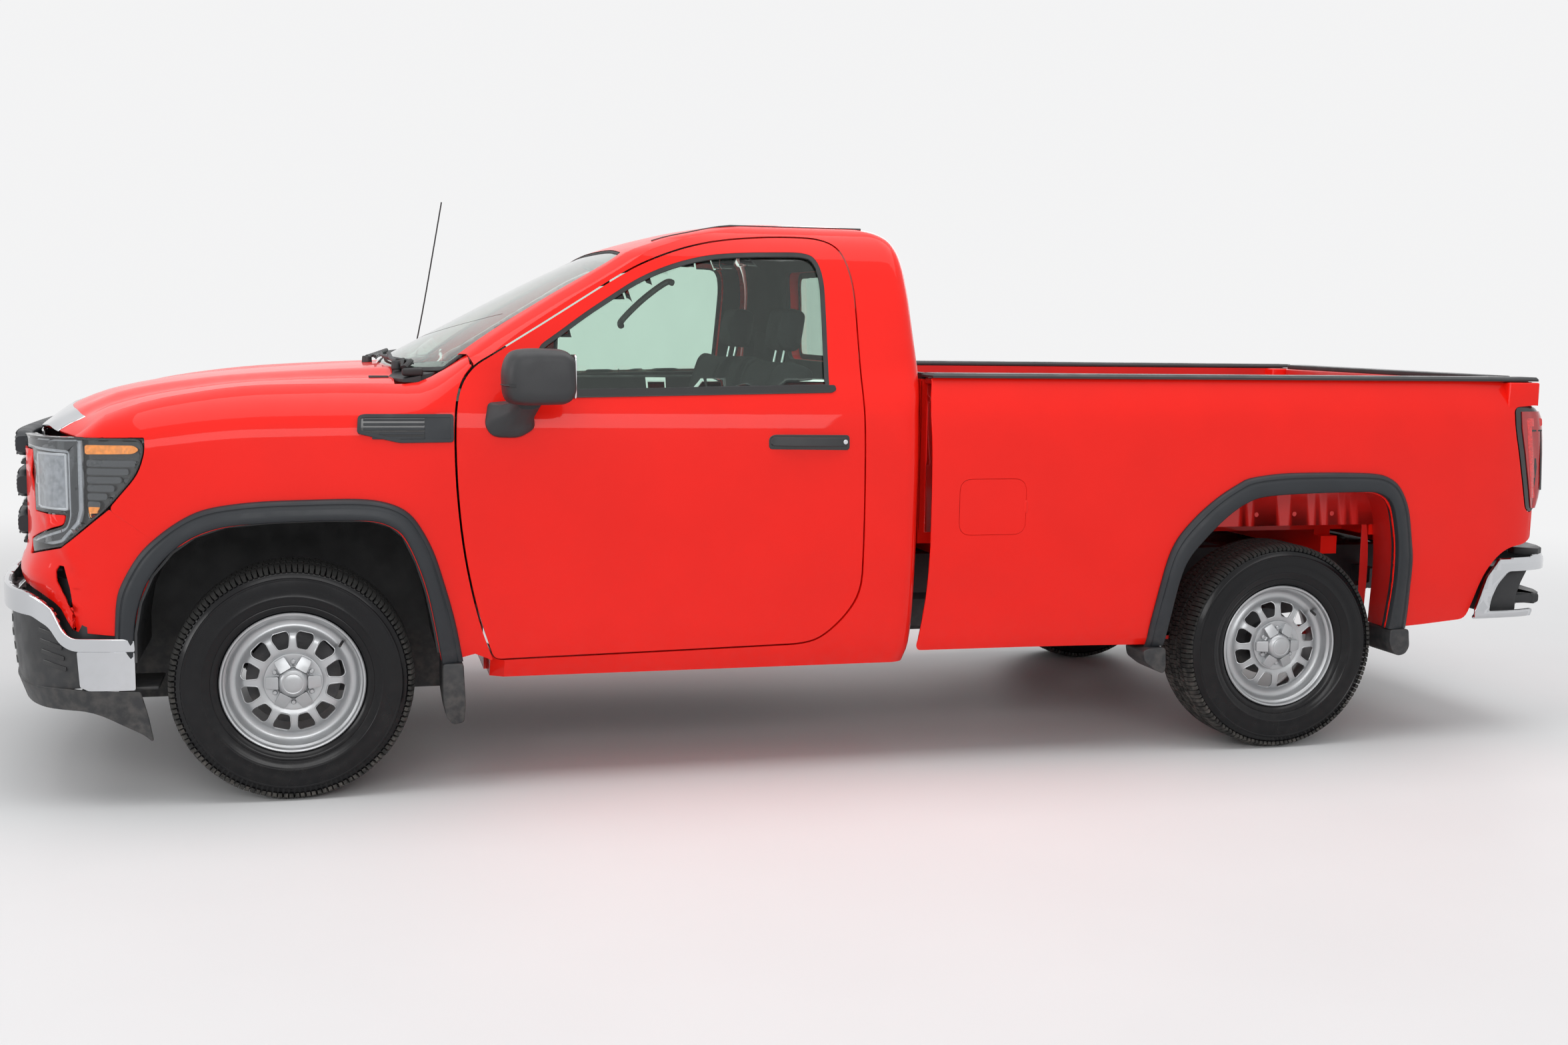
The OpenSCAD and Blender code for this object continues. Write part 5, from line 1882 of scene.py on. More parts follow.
@dataclass
class FrontEnd:
    """Fascia, grille, lamps, bumper and dam."""

    grille_edge: float = 628.0
    lamp_edge: float = 676.0

    def build(self) -> None:
        """Makes the front end."""
        self.fascia()
        self.grille()
        self.lamps()
        self.bumper()

    def fascia(self) -> None:
        """The painted lower corner, the bar under the grille and the strip beside it."""
        s = nose_s
        edge = self.grille_edge
        half = [
            (0, 690, 0), (s(-2718), 690, 8), (s(-2687), 680, 16), (s(-2640), 652, 16), (s(-2619), 634, 10),
            (s(-2596), 590, 20), (s(-2574), 560, 12), (s(-2464), 553, 2), (s(-2404), 548, 2),
            (s(-2400), 563, 30), (s(-2378), 662, 40), (s(-2341), 747, 40), (s(-2332), 855, 2),
            (s(-2462), 950, 2), (s(-2542), 883, 20), (s(-2611), 824, 4), (742, 789, 6), (732, 796, 4),
            (731, 843, 4), (943, 901, 10), (951, 928, 8), (783, 930, 8), (777, 1126, 6), (edge + 4, 1128, 4),
            (edge, 1100, 20), (edge - 20, 790, 40), (edge - 40, 762, 20), (0, 752, 0),
        ]
        outline = rounded(whole(half), 10)
        slit = rounded([
            (s(-2630), 756), (s(-2620), 772), (s(-2604), 770), (s(-2588), 700), (s(-2576), 604),
            (s(-2596), 640), (s(-2628), 716)
        ], 4)
        slits = [slit, [(-p[0], p[1]) for p in slit]]

        def face(q: float, z: float) -> Vector:
            """The fascia, with a chin that comes forward."""
            spot = on_nose(q, z)
            way = Vector((-1, 0, 0)).lerp(
                Vector((-0.3, -1 if q > 0 else 1, 0)), ease(abs(q), 700, 1000)
            ).normalized()
            chin = 26.0 * math.exp(-(((z - 730) / 58.0) ** 2)) * (1 - ease(abs(q), 760, 1010))
            blade = (
                10.0 * math.exp(-(((z - (1240 - (abs(q) - 640) * 1.35)) / 40.0) ** 2))
                * ease(abs(q), 640, 700) * (1 - ease(abs(q), 940, 1050))
            )
            return spot + way * (chin + blade)

        sheet = Sheet(
            outline, face, spread(-1290, 1290, 36),
            [700, 712, 725, 735, 745, 760, 775, 800] + spread(580, 1110, 30), holes=slits, gauge=6, fold=3
        )
        piece("fascia", sheet.build(), PAINT, slot="paint", stands_for=("front_fascia",))
        backing = Sheet(
            [(s(-2640), 590), (s(-2540), 590), (s(-2540), 790), (s(-2640), 790)],
            lambda q, z: on_nose(q, z) + Vector((22, 22, 0)), spread(s(-2630), s(-2550), 30), [], gauge=4
        )
        pair("slit_backing", backing.build(), GLOSS_BLACK)
        fins = [
            Sheet(
                rounded([(s(-2606), z - 5), (s(-2588), z - 5), (s(-2588), z + 5), (s(-2606), z + 5)], 2),
                lambda q, h: on_nose(q, h) + Vector((12, 14, 0)), [], [], gauge=8
            ).build()
            for z in (640, 662, 684, 706, 728)
        ]
        pair("slit_fins", joined(fins), TEXTURED)
        under = Sheet(
            whole([(0, 560, 0), (s(-2430), 520, 4), (s(-2430), 720, 4), (0, 740, 0)]),
            lambda q, z: on_nose(q, z) + Vector((34, 0, 0)), spread(-1200, 1200, 60), [], gauge=4
        )
        piece("fascia_backing", under.build(), TEXTURED)

    def grille(self) -> None:
        """The bulging bars, their lips and the dark mesh behind."""
        def bar(low: float, high: float, proud: float, thick: float, reach: float) -> bmesh.types.BMesh:
            """One bar along the nose.

            Args:
                low: Height of its lower edge.
                high: Height of its upper edge.
                proud: How far it stands off the nose.
                thick: Its depth.
                reach: Half its length.

            Returns:
                The bar.
            """
            rings = []
            middle, half = (low + high) / 2, (high - low) / 2
            for k in range(61):
                q = -reach + 2 * reach * k / 60
                fade = 1 - 0.35 * ease(abs(q), reach - 60, reach)
                ring = []
                for j in range(20):
                    angle = math.tau * j / 20
                    c, t = math.cos(angle), math.sin(angle)
                    out = math.copysign(abs(c) ** 0.55, c) * thick / 2
                    up = math.copysign(abs(t) ** 0.5, t) * half * fade
                    spot = on_nose(q, middle)
                    ring.append(Vector((spot.x - proud - out, spot.y, middle + up)))
                rings.append(ring)
            return lofted(rings)

        bars = [
            bar(low, high, 2, 56, self.grille_edge - 26)
            for low, high in ((1090, 1172), (954, 1042), (830, 912))
        ]
        piece("grille_bars", joined(bars), FLARE, slot="trim", stands_for=("grille",), crease=40)
        lips = [bar(z - 9, z + 9, -2, 34, self.grille_edge - 40) for z in (1070, 934, 812)]
        lips += [
            bar(z - 4, z + 4, -14, 20, self.grille_edge - 40) for z in (1058, 1050, 922, 918, 800, 786, 772)
        ]
        piece("grille_lips", joined(lips), GLOSS_BLACK, slot="trim", crease=40)
        back = Sheet(
            whole([
                (0, 748, 0), (self.grille_edge + 30, 752, 4), (self.grille_edge + 40, 1176, 4), (0, 1176, 0)
            ]), lambda q, z: on_nose(q, z) + Vector((52, 0, 0)), spread(-640, 640, 40), spread(770, 1160, 60),
            gauge=4
        )
        piece("grille_back", back.build(), GLOSS_BLACK, slot="trim")
        cells = []
        for low, high in ((1098, 1164), (962, 1034), (838, 904)):
            for row in spread(low, high, 13):
                for k in range(-36, 37):
                    q = k * 15.5 + (7.75 if round(row) % 2 else 0)
                    spot = on_nose(q, row)
                    if abs(q) < self.grille_edge - 60:
                        cells.append((spot.x - 29.5 + 0.0028 * (row - (low + high) / 2) ** 2, spot.y, row))
        studs = bmesh.new()
        for spot in cells:
            bmesh.ops.create_cone(
                studs, cap_ends=True, segments=6, radius1=5.0, radius2=2.2, depth=3.0,
                matrix=Matrix.Translation(spot) @ Matrix.Rotation(-math.pi / 2, 4, "Y")
            )
        piece("grille_studs", studs, GLOSS_BLACK, slot="trim", crease=20)

    def lamps(self) -> None:
        """The headlamps."""
        s = nose_s
        a = self.lamp_edge
        outline = [
            (a - 40, 1170, 6), (s(-2571), 1173, 30), (s(-2370), 1172, 14), (s(-2356), 1150, 14),
            (s(-2356), 1131, 20), (s(-2377), 1063, 40), (s(-2466), 957, 40), (s(-2543), 890, 40),
            (s(-2612), 831, 8), (742, 796, 5), (737, 838, 5), (948, 896, 18), (957, 932, 8), (789, 935, 8),
            (783, 1131, 8), (a - 40, 1131, 8)
        ]
        loop = rounded(outline, 10)
        columns, rows = spread(a - 30, s(-2360), 34), spread(810, 1160, 26)

        def inward(depth: float) -> Surface:
            """The nose's surface moved inwards.

            Args:
                depth: How far inwards.

            Returns:
                The moved surface.
            """
            def face(q: float, z: float) -> Vector:
                """The nose's own face, moved back by the depth."""
                spot = on_nose(q, z)
                return spot + Vector((0.75, 0.66, 0)) * depth
            return face

        bowl = Sheet(loop, inward(34), columns, rows, gauge=6, fold=1)
        pair("lamp_bowl", bowl.build(), GLOSS_BLACK, slot="lamp_clear", stands_for=(("headlamps",), ()))
        rim = Sheet(loop, inward(1), columns, rows, holes=[grown(loop, -5)], gauge=30, fold=1.5)
        pair("lamp_rim", rim.build(), GLOSS_BLACK, slot="lamp_clear")
        guide = rounded([
            (a - 34, 1166, 4), (s(-2549), 1166, 4), (s(-2549), 948, 6), (s(-2560), 905, 12), (929, 843, 10),
            (750, 806, 4), (746, 831, 4), (950, 888, 20), (964, 926, 10), (964, 1126, 6), (a - 34, 1136, 4)
        ], 6)
        arm = Sheet(guide, inward(7), columns, rows, gauge=14, fold=4)
        pair("lamp_guide", arm.build(), LIGHT_GUIDE, slot="lamp_clear")
        core = Sheet(grown(guide, -9), inward(2.5), columns, rows, gauge=4, fold=2)
        pair("lamp_guide_core", core.build(), GREY_BEZEL, slot="lamp_clear")
        inner = rounded([(794, 1122, 8), (955, 1122, 8), (955, 944, 8), (794, 944, 8)], 8)
        pair(
            "lamp_projector", Sheet(inner, inward(12), columns, rows, gauge=6, fold=3).build(), PROJECTOR,
            slot="lamp_clear"
        )
        frame = Sheet(inner, inward(8), columns, rows, holes=[grown(inner, -6)], gauge=8, fold=2)
        pair("lamp_projector_frame", frame.build(), CHROME, slot="lamp_clear")
        ribs = []
        for k, z in enumerate((1094, 1068, 1042, 1016, 990, 964)):
            end = -2392 - k * 22
            ribs.append(
                Sheet(
                    rounded([
                        (s(-2538), z - 9, 6), (s(end), z - 9, 8), (s(end), z + 9, 8), (s(-2538), z + 9, 6)
                    ], 6), inward(15), spread(s(-2530), s(end), 24), [], gauge=8, fold=4
                ).build()
            )
        pair("lamp_ribs", joined(ribs), GREY_BEZEL, slot="lamp_clear")
        strip = Sheet(
            rounded([
                (s(-2537), 1123, 6), (s(-2392), 1126, 10), (s(-2376), 1138, 8), (s(-2392), 1150, 8),
                (s(-2537), 1150, 6)
            ], 6), inward(9), spread(s(-2530), s(-2380), 20), [], gauge=6, fold=3
        )
        tip = Sheet(
            rounded([(s(-2531), 957, 4), (s(-2497), 957, 4), (s(-2510), 934, 4), (s(-2528), 926, 4)], 4),
            inward(9), [], [], gauge=6, fold=2
        )
        pair("lamp_amber", joined([strip.build(), tip.build()]), AMBER, slot="lamp_clear")
        lens = Sheet(grown(loop, -1.0), inward(-1.0), columns, rows, gauge=2.5, fold=1)
        pair("lamp_lens", lens.build(), LENS, slot="lamp_clear")

    def bumper(self) -> None:
        """The bright bumper with its dark middle and the dam below."""
        s = BUMP_S

        def crowned(low: float, high: float, by: float, lift: float = 0.0) -> Surface:
            """The bumper's surface with a crown between two heights.

            Args:
                low: Height of its lower edge.
                high: Height of its upper edge.
                by: Height of the crown.
                lift: Distance off the bumper at its edges.

            Returns:
                The crowned surface.
            """
            def face(q: float, z: float) -> Vector:
                """The bumper's face, crowned between its edges."""
                spot = on_bumper(q, z)
                t = (z - (low + high) / 2) / ((high - low) / 2)
                return spot + Vector((-1, 0, 0)).lerp(
                    Vector((-0.2, -1 if q > 0 else 1, 0)), ease(abs(q), 700, 1050)
                ) * (by * (1 - t * t) + lift)
            return face

        half = [
            (0, 685, 0), (s(-2745), 683, 20), (s(-2700), 668, 20), (s(-2650), 636, 20), (s(-2614), 562, 24),
            (s(-2585), 543, 14), (s(-2400), 543, 4), (s(-2398), 507, 4), (s(-2585), 507, 20),
            (s(-2620), 526, 20), (s(-2655), 580, 20), (s(-2712), 612, 20), (0, 612, 0)
        ]
        band = Sheet(
            rounded(whole(half), 8), crowned(540, 660, 0, -2), spread(-1290, 1290, 34), spread(515, 680, 14),
            gauge=16, fold=6
        )
        piece("bumper_band", band.build(), CHROME, slot="chrome", stands_for=("front_bumper",))
        corner = Sheet(
            rounded([(s(-2572), 503), (s(-2399), 503), (s(-2399), 382), (s(-2540), 380), (s(-2566), 392)], 6),
            crowned(380, 503, 0, -8), spread(s(-2560), s(-2410), 30), spread(400, 490, 30), gauge=12, fold=3
        )
        pair("bumper_corner", corner.build(), CHROME, slot="chrome")
        middle = Sheet(
            whole([
                (0, 610, 0), (s(-2712), 610, 6), (s(-2655), 577, 10), (s(-2620), 522, 10), (s(-2576), 503, 6),
                (s(-2570), 386, 6), (s(-2640), 376, 20), (0, 366, 0)
            ]), crowned(380, 600, 0, -26), spread(-1120, 1120, 40), spread(385, 600, 22), gauge=12, fold=5
        )
        piece("bumper_middle", middle.build(), TEXTURED, slot="black_plastic")
        slots = [
            Sheet(
                rounded([(-620, z - 13), (620, z - 13), (620, z + 13), (-620, z + 13)], 10),
                crowned(380, 600, 0, -22), spread(-600, 600, 40), [], gauge=10, fold=6
            ).build()
            for z in (424, 470, 516, 562)
        ]
        piece("bumper_slots", joined(slots), GLOSS_BLACK, slot="black_plastic")
        fins = [
            Sheet(
                rounded([
                    (s(-2700) + k * 4, 560 - k * 34), (s(-2630) + k * 6, 540 - k * 34),
                    (s(-2630) + k * 6, 552 - k * 34), (s(-2700) + k * 4, 572 - k * 34)
                ], 4), crowned(380, 600, 0, -20), [], [], gauge=8, fold=3
            ).build()
            for k in range(4)
        ]
        pair("bumper_fins", joined(fins), GLOSS_BLACK, slot="black_plastic")
        dam_half = [
            (0, 372, 0), (s(-2640), 380, 20), (s(-2560), 376, 10), (s(-2406), 374, 4), (s(-2404), 300, 30),
            (s(-2410), 216, 8), (s(-2430), 240, 30), (s(-2564), 316, 60), (0, 300, 0)
        ]
        dam = Sheet(
            rounded(whole(dam_half), 8), lambda q, z: on_bumper(q, z) + Vector((22 + 0.25 * (372 - z), 0, 0)),
            spread(-1270, 1270, 38), spread(230, 370, 20), gauge=14, fold=6
        )
        piece("dam", dam.build(), TEXTURED, slot="black_plastic", stands_for=("air_dam",))
        lower = [block((-2560, -940, 372), (-2330, -720, 384), 5)]
        pair("dam_shelf", joined(lower), TEXTURED)


@dataclass
class HoodTrim:
    """Bright strip on the hood's edge, cowl grille, wipers and mast."""

    def build(self) -> None:
        """Makes the trim ahead of the windshield."""
        half = []
        for k in range(13):
            y = 655 * k / 12
            half.append((HOOD_FRONT_X + hood_bow(y) + 4, y))
        back = [(-2663 + 180 * (y / 820) ** 2.4, y) for y in [640 - 640 * k / 12 for k in range(13)]]
        outline = (
            half + back[:-1] + [(p[0], -p[1]) for p in reversed(back)]
            + [(p[0], -p[1]) for p in reversed(half[1:])]
        )
        strip = Sheet(
            outline, lambda x, y: Vector((x, y, hood_height(x, y))),
            [-2758, -2750, -2742, -2730, -2715, -2700, -2685, -2670, -2650, -2630, -2610],
            spread(-630, 630, 30), gauge=4, fold=3, side=1, raise_by=3.5
        )
        piece("hood_strip", strip.build(), CHROME, "hood", "chrome")
        arms = []
        form = CabForm()

        def by_glass(y: float, z: float, gap: float) -> Vector:
            """A place just ahead of the windshield."""
            return Vector((form.front_at(y, z) - gap, y, z + 4))

        for y, reach in ((-560, 560), (60, 560)):
            pivot = by_glass(y, 1392, 24)
            arms.append(moved(
                turned(rounded([(0.01, -16), (20, -16), (17, 16), (0.01, 16)], 5), 28), pivot, QUARTER_TURN
            ))
            tip = by_glass(y + reach * 0.5, 1424, 20)
            arms.append(tube(
                smooth_path([pivot + Vector((0, 0, 12)), by_glass(y + reach * 0.2, 1410, 26), tip], 6), 8, 10
            ))
            blade = smooth_path([
                by_glass(y + reach * share, 1408 + 12 * share, 14) for share in (-0.1, 0.15, 0.4, 0.7, 1.0)
            ], 8)
            arms.append(tube(blade, 6, 8))
            arms.append(tube([p + Vector((4, 0, -8)) for p in blade], 3, 8))
        piece("wipers", joined(arms), TEXTURED, slot="black_plastic")
        link = [
            tube(
                smooth_path([
                    (-1552, -780, 1392), (-1530, -720, 1412), (-1540, -640, 1400), (-1556, -560, 1404)
                ], 6), 10, 10
            ), block((-1560, -800, 1366), (-1492, -740, 1392), 8),
            tube(smooth_path([(-1560, -770, 1394), (-1552, -700, 1420), (-1544, -660, 1402)], 6), 5, 8)
        ]
        piece("wiper_link", joined(link), RUBBER)
        slots = [block((-1665, -680 + k * 34, 1352), (-1600, -668 + k * 34, 1361), 2) for k in range(41)]
        piece("cowl_slots", joined(slots), RUBBER)
        mast = tube(smooth_path([(-1450, 850, 1398), (-1405, 849, 1620), (-1330, 846, 2040)], 6), 3.0, 10)
        foot = moved(
            turned([(0.01, -14), (24, -14), (24, -6), (17, 6), (10, 18), (6, 44), (0.01, 46)], 32),
            (-1452, 850, 1372), QUARTER_TURN
        )
        piece("radio_mast", joined([mast, foot]), TEXTURED, slot="black_plastic", stands_for=("antenna",))


# ---------------------------------------------------------------- wheels
RIM_SECTION = (
    (229, -104), (226, -106.5), (221, -105), (218, -99), (217, -93), (211, -89), (207, -84), (206, -72),
    (203, -60), (196, -53), (186, -51), (176, -54), (168, -62), (160, -73), (150, -79), (140, -81.5),
    (112, -84), (100, -81), (92, -77), (78, -75.5), (39, -75.5), (39, -67.5), (92, -69), (112, -76),
    (140, -73.5), (150, -71), (158, -66), (166, -54), (176, -46), (188, -43), (192, -38), (192, -10),
    (190, 20), (200, 50), (210, 80), (216, 96), (221, 104), (226, 106), (229, 104), (227, 98), (222, 92),
    (218, 72), (212, 60), (206, 44), (198, 18), (200, -20), (210, -44), (214, -66), (218, -76), (222, -90),
    (227, -98)
)
TYRE_SECTION = (
    (224, -94), (230, -101), (236, -107), (241, -112), (247, -115.5), (252, -116), (255, -114.5), (259, -118),
    (272, -122.5), (279, -124.6), (281, -126.6), (285, -126.8), (287, -125.6), (306, -127.3), (322, -126.6),
    (336, -124.2), (338, -125.6), (343, -125), (345, -122), (356, -117), (364, -110), (370, -101),
    (374.5, -88), (377, -60), (378, -20), (378, 20), (377, 60), (374.5, 88), (370, 101), (356, 117),
    (336, 124.5), (306, 127.3), (279, 124.6), (255, 116), (236, 108), (224, 94), (238, 80), (340, 76),
    (352, 40), (352, -40), (340, -76), (238, -80)
)


@dataclass
class Wheels:
    """Steel wheels with their caps and road tyres."""

    windows: int = 12
    pitches: int = 66
    studs: int = 6
    stud_circle: float = 69.85
    stud_hole: float = 7.5

    def build(self) -> None:
        """Makes the four wheels."""
        rim, cap, stem = self.rim(), self.cap(), self.stem()
        tyre, tread = turned(TYRE_SECTION, 144), self.tread()
        for tag, x, side in (
            ("fl", FRONT_AXLE_X, -1), ("fr", FRONT_AXLE_X, 1), ("rl", REAR_AXLE_X, -1), ("rr", REAR_AXLE_X, 1)
        ):
            body = f"wheel_{tag}"
            for name, mesh, finish, slot, nodes, crease in (
                (f"rim_{tag}_visual", rim, WHEEL_SILVER, "wheel_steel", (f"rim_{tag}",), 34),
                (f"cap_{tag}", cap, WHEEL_SILVER, "wheel_steel", (), 30),
                (f"stem_{tag}", stem, RUBBER, "tyre", (), 30),
                (f"tyre_{tag}_visual", tyre, SIDEWALL, "tyre", (f"tyre_{tag}",), 40),
                (f"tread_{tag}", tread, TREAD, "tyre", (), 30),
            ):
                copy = mesh.copy() if side < 0 else mirrored(mesh)
                piece(name, moved(copy, (x, side * WHEEL_Y, WHEEL_Z)), finish, body, slot, nodes, crease)

    def rim(self) -> bmesh.types.BMesh:
        """The rim with its rounded windows.

        Returns:
            The rim, centred on its wheel.
        """
        shape = rounded([
            (-17, 108, 9), (17, 108, 9), (31, 148, 12), (25, 164, 11), (-25, 164, 11), (-31, 148, 12)
        ], 10, 5)
        cutters = []
        for k in range(self.windows):
            turn = math.tau * (k + 0.5) / self.windows
            loop = [
                (p[1] * math.cos(turn) - p[0] * math.sin(turn), p[1] * math.sin(turn) + p[0] * math.cos(turn))
                for p in shape
            ]
            cutters.append(prism(loop, -115, -52))
        for k in range(self.studs):
            turn = math.tau * k / self.studs
            loop = [
                (
                    self.stud_circle * math.cos(turn) + self.stud_hole * math.cos(a),
                    self.stud_circle * math.sin(turn) + self.stud_hole * math.sin(a)
                )
                for a in [math.tau * j / 16 for j in range(16)]
            ]
            cutters.append(prism(loop, -115, -52))
        cuts = joined(cutters)
        rim = carved(turned(RIM_SECTION, 144), [cuts])
        beads = []
        for k in range(self.windows):
            turn = math.tau * (k + 0.5) / self.windows
            outer = [(p[0], p[1]) for p in shape]
            path = [
                Vector((
                    q[1] * math.cos(turn) - q[0] * math.sin(turn), -1.6 + self.face(math.hypot(*q)),
                    q[1] * math.sin(turn) + q[0] * math.cos(turn)
                ))
                for q in outer
            ]
            beads.append(tube([*path, path[0], path[1]], 2.4, 6, ends=False))
        return joined([rim, *beads])

    def face(self, radius: float) -> float:
        """The rim face's y at a radius."""
        return Track([
            (92, -77), (100, -81), (112, -84), (140, -81.5), (150, -79), (160, -73), (168, -62)
        ])(radius) + 2.6

    def cap(self) -> bmesh.types.BMesh:
        """The hub cap with six raised pads.

        Returns:
            The cap, centred on its wheel.
        """
        dome = turned([
            (0.01, -119), (14, -118.6), (27, -117), (30, -115.6), (33, -116.4), (38, -114), (44, -108),
            (47.5, -100), (50, -86), (56, -81), (78, -80.5), (87, -83), (92, -82), (93, -76), (0.01, -74)
        ], 72)
        pads = []
        for k in range(6):
            loop = rounded([(-21, 46), (21, 46), (18, 88), (-18, 88)], 5, 4)
            pad = prism(loop, -106, -76, bevel=3.0, segments=3)
            for v in pad.verts:
                v.co.y += max(0.0, v.co.z - 52) * 0.36 if v.co.y < -85 else 0.0
            moved(pad, (0, 0, 0), Matrix.Rotation(math.tau * (k + 0.5) / 6, 4, "Y"))
            pads.append(pad)
            nut = moved(turned([(0.01, -90), (6, -90), (8.5, -88), (9, -78), (0.01, -78)], 6), (0, 0, 66))
            pads.append(moved(nut, (0, 0, 0), Matrix.Rotation(math.tau * k / 6, 4, "Y")))
        return joined([dome, *pads])

    def stem(self) -> bmesh.types.BMesh:
        """The valve stem.

        Returns:
            The stem, centred on its wheel.
        """
        turn = math.radians(38)
        way = Vector((math.cos(turn), 0, math.sin(turn)))
        return tube([
            way * 197 + Vector((0, -58, 0)), way * 190 + Vector((0, -84, 0)), way * 186 + Vector((0, -100, 0))
        ], 4.6, 12)

    def tread(self) -> bmesh.types.BMesh:
        """The tread blocks.

        Returns:
            The blocks, centred on their wheel.
        """
        rows = ((-58, -30, 0.0, 0.33), (-24, -3, 0.5, -0.28), (3, 24, 0.0, -0.28), (30, 58, 0.5, 0.33))
        whole_tread = []
        for k in range(self.pitches):
            group = []
            for low, high, shift, skew in rows:
                for part in (-1, 1):
                    bit = block((-8.6, low, 374), (6.6, high, 384.6 - 0.0004 * low * low))
                    for v in bit.verts:
                        v.co.x += v.co.y * skew * 0.35
                    group.append((moved(bit, (part * 8.9, 0, 0)), shift))
            for side in (-1, 1):
                for part in (-1, 1):
                    lug = bmesh.new()
                    bmesh.ops.create_cube(lug, size=1.0)
                    bmesh.ops.subdivide_edges(
                        lug, edges=[e for e in lug.edges if abs(e.verts[0].co.y - e.verts[1].co.y) > 0.5],
                        cuts=3
                    )
                    for v in lug.verts:
                        t = v.co.y + 0.5
                        out = 64 + 56 * t
                        top = 384.2 - 0.9 * t - 27 * max(0.0, t - 0.35) ** 1.8
                        high = v.co.z > 0
                        v.co = Vector((
                            v.co.x * (15.0 if t < 0.8 else 11.0) + part * 9.2 + t * 3,
                            side * (out - (0 if high else 5.0)), top if high else top - 9.5
                        ))
                    bmesh.ops.recalc_face_normals(lug, faces=lug.faces)
                    group.append((lug, 0.5 if side > 0 else 0.0))
            for bit, shift in group:
                whole_tread.append(moved(
                    bit, (0, 0, 0), Matrix.Rotation(math.tau * (k + shift) / self.pitches, 4, "Y")
                ))
        return joined(whole_tread)


# ---------------------------------------------------------------- rear end
LAMP_FRONT_EDGE = Track([
    (878, 2676), (890, 2656), (949, 2641), (1114, 2606), (1212, 2589), (1270, 2592), (1284, 2622)
])
LAMP_REAR_EDGE = Track([
    (878, 2690), (889, 2715), (948, 2747), (1014, 2765), (1126, 2768), (1235, 2760), (1272, 2735),
    (1284, 2690)
])


